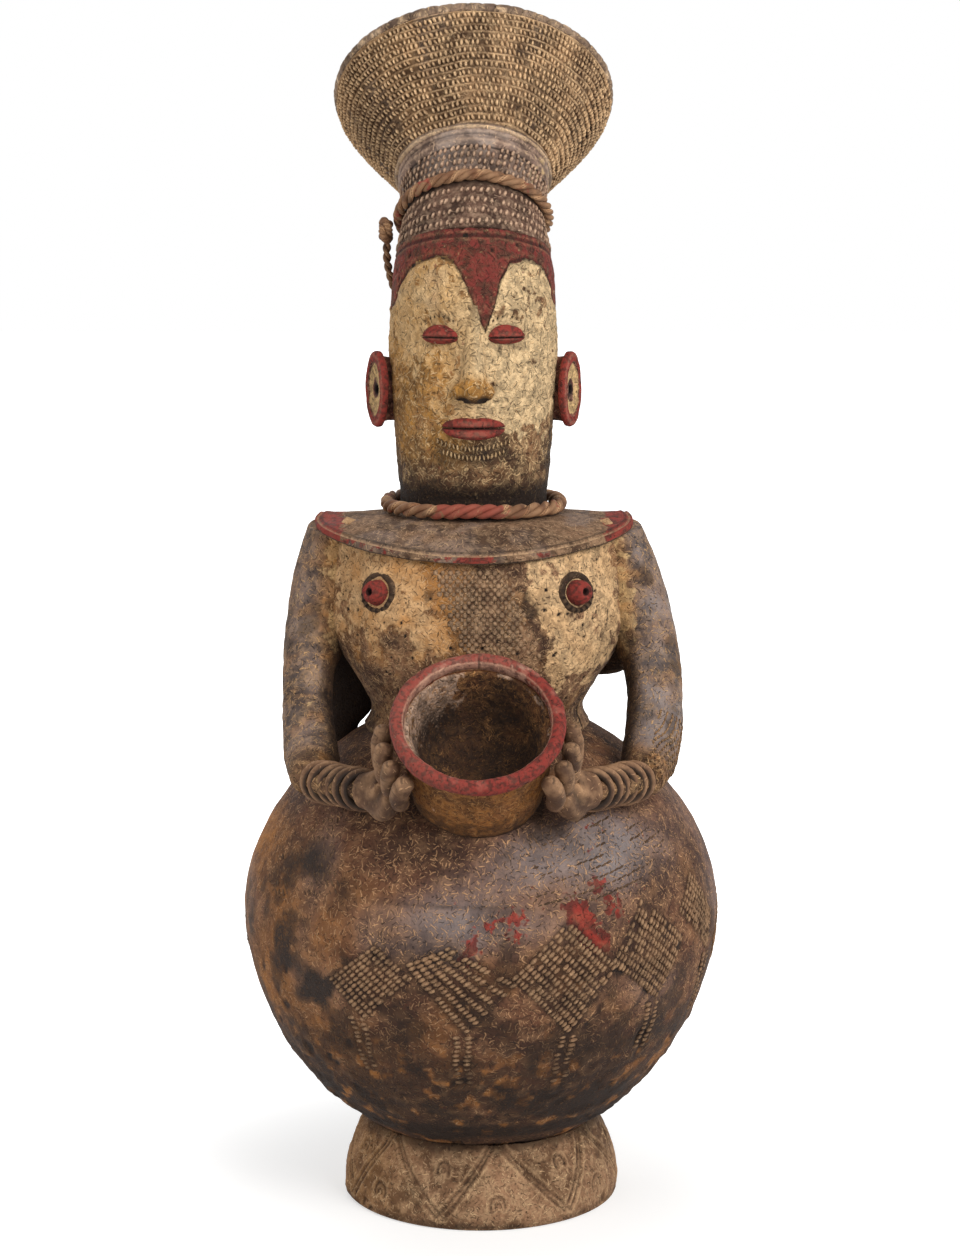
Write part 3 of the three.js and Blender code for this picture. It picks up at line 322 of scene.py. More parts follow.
def coats(
    relief: Array, reach: int, scale: float, wear_and_highlight: float | Array, dip_shade_and_dirt: float, /, **more: Array
) -> Marks:
    """The marks of a relief: wear with a painted highlight on its tops, dirt with painted shade in its
    dips, and what else lies on it.

    Args:
        relief: the heights on a grid.
        reach: how many neighbours each way make up the level around a point.
        scale: the height over or under that level which counts in full.
        wear_and_highlight: how much of the wear and of the painted highlight on raised tops shows.
        dip_shade_and_dirt: how much of the dirt and of the painted shade in dips shows.
        more: what is added to each mark, by its word.

    Returns:
        The marks.
    """
    level = relief
    for axis in (0, 1):
        around = [np.roll(level, step, axis) for step in range(-reach, reach + 1)]
        level = sum(around) / len(around)
    over = (relief - level) / scale
    # Over the level: a painted highlight with wear. Under it: painted shade with dirt.
    marks = {
        Mark.RIDGE: wear_and_highlight * np.clip(over, 0, 1) ** 1.5,
        Mark.HOLLOW: dip_shade_and_dirt * np.clip(-over, 0, 1) ** 1.5,
    }
    for word, value in more.items():
        marks[Mark(word)] = marks.get(Mark(word), 0) + value
    return marks


class Moulding:
    """Collects the vertices, faces and marks of one mesh, in millimetres."""

    def __init__(self, name: str) -> None:
        """Starts an empty mesh of that name."""
        self.name = name
        self.count = 0
        self.points: list[Array] = []
        self.marks: list[Marks] = []
        self.faces: list[Array] = []

    def add(self, points: Array, faces: Sequence[Array], marks: Marks) -> None:
        """Adds vertices, the faces between them as rows of vertex numbers, and their marks."""
        self.points.append(points)
        self.marks.append({mark: np.ravel(value) for mark, value in marks.items()})
        self.faces += [face + self.count for face in faces]
        self.count += len(points)

    def add_body(self, points: Array, faces: Sequence[Array], marks: Marks) -> None:
        """Adds a closed body, turned so that its faces look outward."""
        if self.volume(points, faces) < 0:
            faces = [face[:, ::-1] for face in faces]
        self.add(points, faces, marks)

    def grid(
        self,
        points: Array,
        marks: Marks,
        wrap_rows: bool = False,
        caps: bool = False,
        inside: float | Array = 0.0,
    ) -> None:
        """Adds a grid that is closed round its columns, as one closed body facing out.

        Args:
            points: rows × columns × 3 coordinates.
            marks: what each vertex of the first rows carries.
            wrap_rows: whether the last row joins the first.
            caps: whether a point closes each end.
            inside: the soot and painted shade on the other rows, which carry nothing else.
        """
        rows, columns = points.shape[:2]
        number = np.arange(rows * columns).reshape(rows, columns)
        upper = np.roll(number, -1, 0) if wrap_rows else number[1:]
        lower = number if wrap_rows else number[:-1]
        corners = [lower, np.roll(lower, -1, 1), np.roll(upper, -1, 1), upper]
        faces = [np.stack(corners, axis=-1).reshape(-1, 4)]
        flat = points.reshape(-1, 3)
        shape = np.broadcast_shapes(*(np.shape(value) for value in marks.values()))
        values = {}
        for mark, value in marks.items():
            value = np.clip(np.broadcast_to(value, shape), 0, HEAVIEST_MARK)
            bare = inside if mark is Mark.SOOT else 0.0
            bare = np.broadcast_to(bare, (rows - shape[0], columns))
            values[mark] = np.vstack([value, bare]).ravel()
        if caps:
            flat = np.vstack([flat, points[0].mean(0), points[-1].mean(0)])
            for mark, value in values.items():
                ends = [value[:columns].mean(), value[-columns:].mean()]
                values[mark] = np.concatenate([value, ends])
            rings = [np.roll(number[0], -1), number[0]], [number[-1], np.roll(number[-1], -1)]
            for k, (ring, after) in enumerate(rings):
                faces.append(np.stack([ring, after, np.full(columns, rows * columns + k)], -1))
        self.add_body(flat, faces, values)

    @staticmethod
    def volume(points: Array, faces: Sequence[Array]) -> float:
        """Six times the volume inside the faces, which is under 0 if they face inward."""
        total = 0.0
        for face in faces:
            for k in range(1, face.shape[1] - 1):
                a, b, c = points[face[:, 0]], points[face[:, k]], points[face[:, k + 1]]
                total += float(np.einsum("ij,ij->i", a, np.cross(b, c)).sum())
        return total

    def build(
        self, finish: "Finish", slot: str, nodes: Sequence[str] = (), body: str = "jar"
    ) -> bpy.types.Object:
        """Makes the mesh, dresses it and puts it on its body.

        Args:
            finish: what gives the material.
            slot: the record's material slot; it is not used.
            nodes: the CAD nodes that the piece stands for.
            body: the CAD body that carries it.

        Returns:
            The new object.
        """
        mesh = bpy.data.meshes.new(self.name)
        mesh.vertices.add(self.count)
        mesh.vertices.foreach_set("co", (np.vstack(self.points) * MM).astype(np.float32).ravel())
        corners = np.concatenate([face.ravel() for face in self.faces])
        sizes = np.concatenate([np.full(len(face), face.shape[1]) for face in self.faces])
        starts = np.concatenate([[0], np.cumsum(sizes)[:-1]])
        mesh.loops.add(len(corners))
        mesh.loops.foreach_set("vertex_index", corners.astype(np.int32))
        mesh.polygons.add(len(sizes))
        mesh.polygons.foreach_set("loop_start", starts.astype(np.int32))
        mesh.polygons.foreach_set("loop_total", sizes.astype(np.int32))
        mesh.update(calc_edges=True)
        mesh.validate()
        mesh.shade_smooth()
        used = {mark for marks in self.marks for mark in marks}
        for mark in sorted(used, key=lambda mark: mark.value):
            parts = zip(self.marks, self.points, strict=True)
            values = [marks.get(mark, np.zeros(len(points))) for marks, points in parts]
            layer = mesh.attributes.new(mark.value, "FLOAT", "POINT")
            layer.data.foreach_set("value", np.concatenate(values).astype(np.float32))
        piece = bpy.data.objects.new(self.name, mesh)
        bpy.context.scene.collection.objects.link(piece)
        mesh.materials.append(finish.material(used))
        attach(piece, body)
        if nodes:
            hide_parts(*nodes)
        log.info("%s: %d vertices", self.name, self.count)
        return piece


def model(
    name: str, points: Array, marks: Marks, finish: "Finish", slot: str, node: str, **closing: object
) -> None:
    """Makes one grid into a piece that stands for a CAD node; closing is as in Moulding.grid."""
    piece = Moulding(name)
    piece.grid(points, marks, **closing)
    piece.build(finish, slot, [node])


def path_frame(path: Array, out: Array, closed: bool) -> tuple[Array, Array]:
    """The directions across a path and outward from it, at each of its points."""
    ahead = np.roll(path, -1, 0) - np.roll(path, 1, 0) if closed else np.gradient(path, axis=0)
    ahead = unit(ahead)
    across = unit(np.cross(ahead, np.broadcast_to(out, ahead.shape)))
    return across, np.cross(across, ahead)


def tube(path: Array, radii: float | Array, out: Array, sides: int, closed: bool = False) -> Array:
    """The grid of a round bar along a path.

    Args:
        path: n × 3 points.
        radii: one or n radii, or n × 2 half sizes across and outward.
        out: the outward direction, one or n of them.
        sides: how many vertices go round it.
        closed: whether the path is a ring.

    Returns:
        n × sides × 3 coordinates.
    """
    across, up = path_frame(path, out, closed)
    halves = np.asarray(radii, float)
    if halves.ndim < 2:
        halves = np.broadcast_to(halves, len(path))[:, None]
    halves = np.broadcast_to(halves, (len(path), 2))
    turn = full_turn(sides)
    wide = halves[:, 0, None, None] * np.cos(turn)[None, :, None] * across[:, None]
    thick = halves[:, 1, None, None] * np.sin(turn)[None, :, None] * up[:, None]
    return path[:, None] + wide + thick


def circle(centre: Array, axis: Array, radius: float, count: int) -> Array:
    """Points on a circle square to an axis, from the figure's left towards its back."""
    turn = full_turn(count)[:, None]
    back = unit(np.cross(axis, SIDEWAYS))
    return centre + radius * (np.cos(turn) * SIDEWAYS + np.sin(turn) * back)


def wound(path: Array, frame_of: tuple[Array, Array], phase: Array, reach: float | Array) -> Array:
    """A path that winds round another, from that one's frame, by a phase and a reach."""
    across, up = frame_of
    shift = across * np.cos(phase)[:, None] + up * np.sin(phase)[:, None]
    return path + shift * reach


def domed(count: int, start: float, end: float) -> Array:
    """The share of its full radius that a bar with domed ends has at each of its points."""
    u = np.linspace(0, 1, count)
    share = np.ones(count)
    for way, length in ((u, start), (1 - u, end)):
        share *= np.sqrt(np.clip(1 - (1 - np.minimum(way / length, 1)) ** 2, 0.002, 1))
    return share


def strew(
    piece: Moulding,
    places: Array,
    along: Array,
    out: Array,
    sizes: Array,
    wear_and_highlight: Array,
    shade_and_dirt: Array,
    soot: Array | None = None,
) -> None:
    """Adds low domes to a piece, such as a stamp or a roulette leaves, one for each place.

    Args:
        piece: the mesh that they join.
        places: n × 3 centres on the surface.
        along: directions of their length.
        out: directions out of the surface.
        sizes: half lengths, half widths and heights.
        wear_and_highlight: the ridge mark, wear with a painted highlight, at each one's top, upper ring,
            middle ring and foot.
        shade_and_dirt: the hollow mark, painted shade with dirt, at the same places.
        soot: the soot and painted shade on each.
    """
    count = len(places)
    turn = full_turn(GRAIN_SIDES)
    shape = [[0.0, 0.0, 1.0]]
    shape += [[r * math.cos(t), r * math.sin(t), h] for r, h in GRAIN_RINGS for t in turn]
    template = np.array(shape + [[0.0, 0.0, GRAIN_DEEP]])
    out = unit(out)
    along = unit(along - np.sum(along * out, axis=-1, keepdims=True) * out)
    sizes = np.broadcast_to(sizes, (count, 3))
    basis = np.stack([along, np.cross(out, along), out], axis=1) * sizes[:, :, None]
    points = (places[:, None] + template[None] @ basis).reshape(-1, 3)
    ring = 1 + np.arange(3 * GRAIN_SIDES).reshape(3, GRAIN_SIDES)
    after = np.roll(ring, -1, 1)
    top = np.stack([np.zeros(GRAIN_SIDES, int), ring[0], after[0]], axis=-1)
    walls = np.stack([ring[:-1], ring[1:], after[1:], after[:-1]], axis=-1).reshape(-1, 4)
    floor = np.stack([ring[2], np.full(GRAIN_SIDES, len(template) - 1), after[2]], axis=-1)
    step = np.arange(count)[:, None, None] * len(template)
    faces = [(np.vstack([top, floor])[None] + step).reshape(-1, 3), (walls[None] + step).reshape(-1, 4)]
    repeats = [1, GRAIN_SIDES, GRAIN_SIDES, GRAIN_SIDES + 1]
    # Each dome gets a painted highlight on its top and painted shade at its foot.
    marks = {
        mark: np.repeat(np.broadcast_to(np.clip(level, 0, 1), (count, 4)), repeats, axis=1)
        for mark, level in ((Mark.RIDGE, wear_and_highlight), (Mark.HOLLOW, shade_and_dirt))
    }
    if soot is not None:
        marks[Mark.SOOT] = np.repeat(soot, len(template))
    piece.add(points, faces, marks)


# Effects and finishes


def daylight(colour: Colour) -> tuple[float, float, float, float]:
    """A colour seen in daylight, 0 to 255, as the light that a shader works with."""
    shares = [value / 255 for value in colour]
    linear = [s / 12.92 if s <= 0.04045 else ((s + 0.055) / 1.055) ** 2.4 for s in shares]
    return (linear[0], linear[1], linear[2], 1.0)


def toned(colour: Colour, share: float) -> Colour:
    """A colour made darker or lighter."""
    return (colour[0] * share, colour[1] * share, colour[2] * share)


class Wiring:
    """Adds and links the nodes of one node tree."""

    def __init__(self, tree: bpy.types.NodeTree) -> None:
        """Works on that tree."""
        self.tree = tree

    def add(self, kind: str, sockets: dict | None = None, **settings: object) -> bpy.types.Node:
        """Adds a node.

        Args:
            kind: the node's type, without ShaderNode.
            sockets: for each input's name or number, a socket to link or a value to set.
            settings: the node's own properties.

        Returns:
            The node.
        """
        prefix = "" if kind.startswith("NodeGroup") else "ShaderNode"
        node = self.tree.nodes.new(prefix + kind)
        for key, value in settings.items():
            setattr(node, key, value)
        for key, value in (sockets or {}).items():
            self.send(value, node.inputs[key])
        return node

    def send(self, value: object, target: Socket) -> None:
        """Links a socket to a target, or sets the target to a value."""
        if isinstance(value, Socket):
            self.tree.links.new(value, target)
        else:
            target.default_value = value

    def math(self, operation: str, *values: object, clamp: bool = False) -> Socket:
        """The result of a sum on numbers or sockets."""
        node = self.add("Math", dict(enumerate(values)), operation=operation, use_clamp=clamp)
        return node.outputs[0]

    def times(self, first: object, second: object) -> Socket:
        """Two values multiplied."""
        return self.math("MULTIPLY", first, second)

    def sloped(self, value: object, slope: object, start: object) -> Socket:
        """A value times a slope, plus a start."""
        return self.math("MULTIPLY_ADD", value, slope, start)

    def vector(self, operation: str, *values: object) -> bpy.types.Node:
        """A sum on vectors, whose result is its first output or its Value."""
        return self.add("VectorMath", dict(enumerate(values)), operation=operation)

    def scaled(self, vector: object, size: object) -> Socket:
        """A vector made size times as long."""
        return self.add("VectorMath", {0: vector, "Scale": size}, operation="SCALE").outputs[0]

    def blend(self, under: object, over: object, share: object) -> Socket:
        """One colour laid over another; each is a socket or a daylight colour."""
        pair = [side if isinstance(side, Socket) else daylight(side) for side in (under, over)]
        sockets = {"Factor": share, 6: pair[0], 7: pair[1]}
        return self.add("Mix", sockets, data_type="RGBA").outputs[2]

    def between(self, value: object, low: object, high: object) -> Socket:
        """Rises smoothly from 0 at low to 1 at high."""
        sockets = {"Value": value, "From Min": low, "From Max": high}
        return self.add("MapRange", sockets, interpolation_type="SMOOTHSTEP").outputs[0]

    def cloud(self, place: Socket, scale: float, detail: float, output: str = "Fac") -> Socket:
        """Noise at a place."""
        sockets = {"Vector": place, "Scale": scale, "Detail": detail}
        return self.add("TexNoise", sockets).outputs[output]

    def mark(self, mark: Mark) -> Socket:
        """What the vertices carry of a mark."""
        return self.add("Attribute", attribute_name=mark.value).outputs["Fac"]


class Effect:
    """A shader node group with named inputs and one output, its mask."""

    def __init__(self, name: str, **takes: float | None) -> None:
        """Makes the group; an input without a number takes a vector."""
        self.tree = bpy.data.node_groups.new(name, "ShaderNodeTree")
        for label, value in takes.items():
            kind = "NodeSocketVector" if value is None else "NodeSocketFloat"
            socket = self.tree.interface.new_socket(name=label, in_out="INPUT", socket_type=kind)
            if value is not None:
                socket.default_value = value
        self.tree.interface.new_socket(name="Mask", in_out="OUTPUT", socket_type="NodeSocketFloat")
        self.wiring = Wiring(self.tree)
        self.takes = self.wiring.add("NodeGroupInput").outputs
        size = self.wiring.math("DIVIDE", 1.0, self.takes["Size"])
        self.place = self.wiring.scaled(self.takes["Vector"], size)

    def give(self, mask: Socket) -> "Effect":
        """Sends the mask out, and gives the finished effect."""
        self.wiring.send(mask, self.wiring.add("NodeGroupOutput").inputs["Mask"])
        return self

    def use(self, wiring: Wiring, **sockets: object) -> Socket:
        """Places the group in a material and gives its mask."""
        return wiring.add("Group", sockets, node_tree=self.tree).outputs[0]


def mottle_effect() -> Effect:
    """Cloudy patches, such as uneven firing leaves."""
    effect = Effect("Mottle", Vector=None, Size=10.0, Cover=0.5, Soft=0.15)
    w, takes = effect.wiring, effect.takes
    middle = w.sloped(w.math("SUBTRACT", 1.0, takes["Cover"]), 0.5, 0.25)
    low, high = (w.math(way, middle, takes["Soft"]) for way in ("SUBTRACT", "ADD"))
    return effect.give(w.between(w.cloud(effect.place, 1.0, 5.0), low, high))


def straw_effect() -> Effect:
    """Short strokes that lie every way in the surface, such as chopped straw leaves."""
    effect = Effect("Straw temper", Vector=None, Normal=None, Size=3.0, Thin=0.07, Share=0.6)
    w, takes, centre, reach = effect.wiring, effect.takes, (0.5, 0.5, 0.5), 0.36

    def flat(vector: Socket) -> Socket:
        """A vector laid into the surface."""
        depth = w.vector("DOT_PRODUCT", vector, takes["Normal"]).outputs["Value"]
        return w.vector("SUBTRACT", vector, w.scaled(takes["Normal"], depth)).outputs[0]

    bent = w.vector("SUBTRACT", w.cloud(effect.place, 0.9, 1.0, "Color"), centre).outputs[0]
    place = w.vector("ADD", effect.place, w.scaled(bent, 0.9)).outputs[0]
    cells = w.add("TexVoronoi", {"Vector": place, "Scale": 1.0}).outputs
    away = flat(w.vector("SUBTRACT", place, cells["Position"]).outputs[0])
    lean = flat(w.vector("SUBTRACT", cells["Color"], centre).outputs[0])
    lean = w.vector("NORMALIZE", lean).outputs[0]
    along = w.vector("DOT_PRODUCT", away, lean).outputs["Value"]
    along = w.math("MINIMUM", w.math("MAXIMUM", along, -reach), reach)
    gap = w.vector("LENGTH", w.vector("SUBTRACT", away, w.scaled(lean, along)).outputs[0])
    chance = w.add("TexWhiteNoise", {"Vector": cells["Position"]}).outputs["Value"]
    stroke = w.between(gap.outputs["Value"], takes["Thin"], w.times(takes["Thin"], 0.4))
    return effect.give(w.times(stroke, w.math("LESS_THAN", chance, takes["Share"])))


def pit_effect() -> Effect:
    """Small round holes where grit fell out."""
    effect = Effect("Pits", Vector=None, Size=2.5, Width=0.16, Share=0.4)
    w, takes = effect.wiring, effect.takes
    cells = w.add("TexVoronoi", {"Vector": effect.place, "Scale": 1.0}).outputs
    chance = w.add("TexWhiteNoise", {"Vector": cells["Position"]}).outputs["Value"]
    hole = w.between(cells["Distance"], takes["Width"], w.times(takes["Width"], 0.5))
    return effect.give(w.times(hole, w.math("LESS_THAN", chance, takes["Share"])))


def coat_effect() -> Effect:
    """A coat of paint or slip that has worn off in flakes where it is thin."""
    effect = Effect("Worn coat", Vector=None, Amount=1.0, Size=4.0, Wear=0.5)
    w, takes = effect.wiring, effect.takes
    rough = w.math("SUBTRACT", w.cloud(effect.place, 1.0, 6.0), 0.5)
    thick = w.sloped(rough, w.times(takes["Wear"], 3.0), takes["Amount"])
    return effect.give(w.between(thick, 0.38, 0.62))


@dataclass(frozen=True)
class Kit:
    """The effects that the finishes share."""

    mottle: Effect
    straw: Effect
    pits: Effect
    coat: Effect


KIT = Kit(mottle_effect(), straw_effect(), pit_effect(), coat_effect())


def dressed(name: str) -> tuple[bpy.types.Material, Wiring, bpy.types.Node]:
    """A new material, its wiring and its shader."""
    material = bpy.data.materials.new(name)
    material.use_nodes = True
    return material, Wiring(material.node_tree), material.node_tree.nodes["Principled BSDF"]


def surfaced(w: Wiring, shader: bpy.types.Node, colour: Socket, rough: object, height: Socket) -> None:
    """Sends a colour, a roughness and a relief to a shader."""
    bumps = w.add("Bump", {"Height": height, "Distance": MM, "Strength": 1.0})
    w.send(colour, shader.inputs["Base Color"])
    w.send(rough, shader.inputs["Roughness"])
    w.send(bumps.outputs[0], shader.inputs["Normal"])


class Finish:
    """What gives a piece its material."""

    def material(self, used: set[Mark]) -> bpy.types.Material:
        """Makes the material for a piece that carries those marks."""
        raise NotImplementedError


@dataclass(frozen=True)
class Clay(Finish):
    """Low-fired clay with chopped straw in it, and the coats that lie on it.

    Colours are as seen in daylight, sizes are millimetres, and straw, pits and wear are shares.
    """

    name: str
    dark: Colour
    mid: Colour
    light: Colour
    slip: Colour = (206, 172, 122)
    red: Colour = (138, 52, 44)
    ochre: Colour = (176, 122, 66)
    # The grey of worn patches and of a painted sheen.
    haze: Colour = (136, 128, 128)
    mottle: float = 16.0
    cover: float = 0.5
    straw: float = 0.45
    straw_size: float = 3.0
    pits: float = 0.35
    burn: float = 0.62
    speckle: float = 0.42
    blots: float = 0.36
    grain: float = 0.07
    relief: float = 0.22
    wear: float = 0.7
    rough: float = 0.84
    gloss: float = 0.4
    shine: float = 0.28

    def material(self, used: set[Mark]) -> bpy.types.Material:
        """Makes the clay's material for a piece that carries those marks."""
        material, w, shader = dressed(self.name)
        place = w.add("TexCoord").outputs
        spot = w.scaled(place["Object"], 1 / MM)
        carried = {mark: w.mark(mark) for mark in sorted(used, key=lambda mark: mark.value)}

        def patches(size: float, cover: float, soft: float) -> Socket:
            """Cloudy patches of a size."""
            return KIT.mottle.use(w, Vector=spot, Size=size, Cover=cover, Soft=soft)

        def coat(amount: Socket, size: float, wear: float = self.wear) -> Socket:
            """A flaking coat of a mark."""
            return KIT.coat.use(w, Vector=spot, Amount=amount, Size=size, Wear=wear)

        def straw(share: float, thin: float) -> Socket:
            """Strokes of straw, as a share of the full size."""
            ways = {"Vector": spot, "Normal": place["Normal"], "Share": self.straw, "Thin": thin}
            return KIT.straw.use(w, **ways, Size=self.straw_size * share)

        clouds = patches(self.mottle, self.cover, 0.12)
        blots = patches(self.mottle / 4, 0.45, 0.09)
        dust = patches(1.2, 0.42, 0.1)
        colour = w.blend(self.dark, self.mid, clouds)
        colour = w.blend(colour, self.light, w.times(blots, self.blots))
        colour = w.blend(colour, toned(self.dark, 0.7), w.times(dust, self.speckle))
        if Mark.OCHRE in used:
            amount = w.times(carried[Mark.OCHRE], w.sloped(blots, 0.45, 0.55))
            colour = w.blend(colour, self.ochre, amount)
        if Mark.SLIP in used:
            pale = w.blend(toned(self.slip, 0.74), self.slip, blots)
            pale = w.blend(pale, toned(self.slip, 1.14), w.times(dust, 0.4))
            if Mark.OCHRE in used:
                pale = w.blend(pale, toned(self.ochre, 1.08), w.times(carried[Mark.OCHRE], 0.6))
            colour = w.blend(colour, pale, coat(carried[Mark.SLIP], 5.0))
        dull = w.sloped(dust, 0.06, self.rough)
        # Grey patches and a painted sheen, which also lower the roughness.
        if Mark.HAZE in used:
            haze = w.times(carried[Mark.HAZE], w.sloped(clouds, 0.5, 0.5))
            colour = w.blend(colour, self.haze, haze)
            dull = w.sloped(haze, self.gloss - self.rough, dull)
        chaff = w.times(w.math("MAXIMUM", straw(1.0, 0.1), straw(0.55, 0.11)), w.sloped(blots, 0.4, 0.6))
        holes = KIT.pits.use(w, Vector=spot, Size=2.6, Width=0.2, Share=self.pits)
        dents = w.math("MAXIMUM", straw(0.8, 0.085), holes)
        colour = w.blend(colour, toned(self.light, 1.16), w.times(chaff, 0.75))
        if Mark.RED in used:
            paint = w.blend(self.red, toned(self.red, 0.62), blots)
            colour = w.blend(colour, paint, w.times(coat(carried[Mark.RED], 3.0), 0.92))
        colour = w.blend(colour, toned(self.dark, 0.45), w.times(dents, self.burn))
        # A painted highlight, with wear, on raised tops.
        if Mark.RIDGE in used:
            wear_and_highlight = w.times(carried[Mark.RIDGE], w.sloped(dust, -0.5, 1.0))
            colour = w.blend(colour, toned(self.light, 1.06), wear_and_highlight)
        # Painted shade, with dirt, in dips and between parts.
        if Mark.HOLLOW in used:
            colour = w.blend(colour, toned(self.dark, 0.4), carried[Mark.HOLLOW])
        # Soot and painted shade darken the clay.
        if Mark.SOOT in used:
            smoke_and_shade = w.math("MULTIPLY", carried[Mark.SOOT], 0.62, clamp=True)
            soot = w.sloped(coat(carried[Mark.SOOT], 7.0, 0.6), 0.34, smoke_and_shade)
            soot = w.math("MULTIPLY", soot, w.sloped(dust, -0.22, 0.96), clamp=True)
            colour = w.blend(colour, SOOT_AND_SHADE_COLOUR, soot)
        height = w.times(w.cloud(spot, 1.4, 4.0), self.grain * 4)
        for layer, share in ((dust, -0.5), (chaff, 1.3), (dents, -1.5)):
            height = w.sloped(layer, self.relief * share, height)
        surfaced(w, shader, colour, dull, height)
        shader.inputs["Specular IOR Level"].default_value = self.shine
        return material


@dataclass(frozen=True)
class Fibre(Finish):
    """Twisted plant fibre, whose hairs follow each strand."""

    name: str
    dark: Colour = (84, 52, 34)
    mid: Colour = (168, 118, 78)
    light: Colour = (216, 174, 130)
    red: Colour = (138, 60, 46)
    rough: float = 0.8

    def material(self, used: set[Mark]) -> bpy.types.Material:
        """Makes the fibre's material from the strand's own directions."""
        material, w, shader = dressed(self.name)
        spot = w.scaled(w.add("TexCoord").outputs["Object"], 1 / MM)
        along = w.times(w.mark(Mark.ALONG), 0.22)
        hair = w.add("CombineXYZ", {0: along, 1: w.mark(Mark.ROUND), 2: 0.0}).outputs[0]
        strands = w.cloud(hair, 2.2, 4.0)
        fine = w.between(strands, 0.34, 0.66)
        clouds = KIT.mottle.use(w, Vector=spot, Size=7.0, Cover=0.55, Soft=0.12)
        colour = w.blend(self.dark, self.mid, fine)
        colour = w.blend(colour, self.light, w.times(clouds, fine))
        red = KIT.coat.use(w, Vector=spot, Amount=w.mark(Mark.RED), Size=3.0, Wear=0.7)
        colour = w.blend(colour, self.red, w.times(red, 0.85))
        # Darkens the strands where the hollow mark lies.
        colour = w.blend(colour, toned(self.dark, 0.5), w.mark(Mark.HOLLOW))
        surfaced(w, shader, colour, self.rough, w.times(strands, 0.5))
        return material


FOOT_CLAY = Clay("Foot clay", (96, 68, 46), (158, 120, 90), (196, 162, 124), mottle=20, straw=0.35)
BELLY_CLAY = Clay(
    "Belly clay", (68, 43, 31), (108, 71, 51), (190, 147, 108), red=(150, 48, 38),
    ochre=(172, 114, 60), mottle=24, blots=0.2, straw=0.5, straw_size=3.4, relief=0.34,
)
BEAD_CLAY = Clay(
    "Rouletted clay", (74, 51, 36), (134, 100, 74), (176, 142, 108), mottle=12, straw=0.2
)
CHEST_CLAY = Clay(
    "Chest clay", (76, 52, 38), (136, 100, 74), (196, 158, 118), slip=(222, 184, 138), straw=0.6,
    relief=0.4,
)
PLATE_CLAY = Clay(
    "Plate clay", (80, 58, 42), (132, 101, 76), (176, 144, 112), straw=0.45, relief=0.3
)
FACE_CLAY = Clay(
    "Face clay", (78, 54, 36), (138, 100, 68), (214, 180, 134), slip=(230, 198, 152),
    red=(120, 46, 42), ochre=(186, 134, 66), straw=0.75, straw_size=4.0, burn=0.5, relief=0.5,
    wear=0.8,
)
BAND_CLAY = Clay(
    "Headband clay", (78, 54, 42), (138, 104, 86), (216, 182, 152), haze=(150, 138, 130),
    mottle=10, straw=0.12, pits=0.12, burn=0.4,
)
FLARE_CLAY = Clay(
    "Coiffure clay", (104, 74, 50), (190, 150, 110), (232, 196, 152), mottle=18, straw=0.35
)
PAINTED_CLAY = Clay(
    "Red painted clay", (64, 34, 28), (120, 66, 54), (190, 146, 122), haze=(186, 142, 124),
    mottle=8, straw=0.2,
)
BOWL_CLAY = Clay(
    "Bowl clay", (56, 34, 21), (112, 70, 42), (178, 130, 82), slip=(206, 172, 148),
    ochre=(186, 122, 60), mottle=12, straw=0.6, relief=0.4,
)
ARM_CLAY = Clay(
    "Burnished clay", (60, 41, 28), (120, 88, 64), (182, 144, 102), mottle=14, straw=0.5, gloss=0.34
)
HAND_CLAY = Clay(
    "Hand clay", (70, 48, 34), (112, 81, 59), (178, 140, 105), mottle=26, straw=0.08, pits=0.06,
    burn=0.4, speckle=0.16, relief=0.08, rough=0.7,
)
CORD_FIBRE = Fibre("Twisted fibre")


# Sub-assemblies


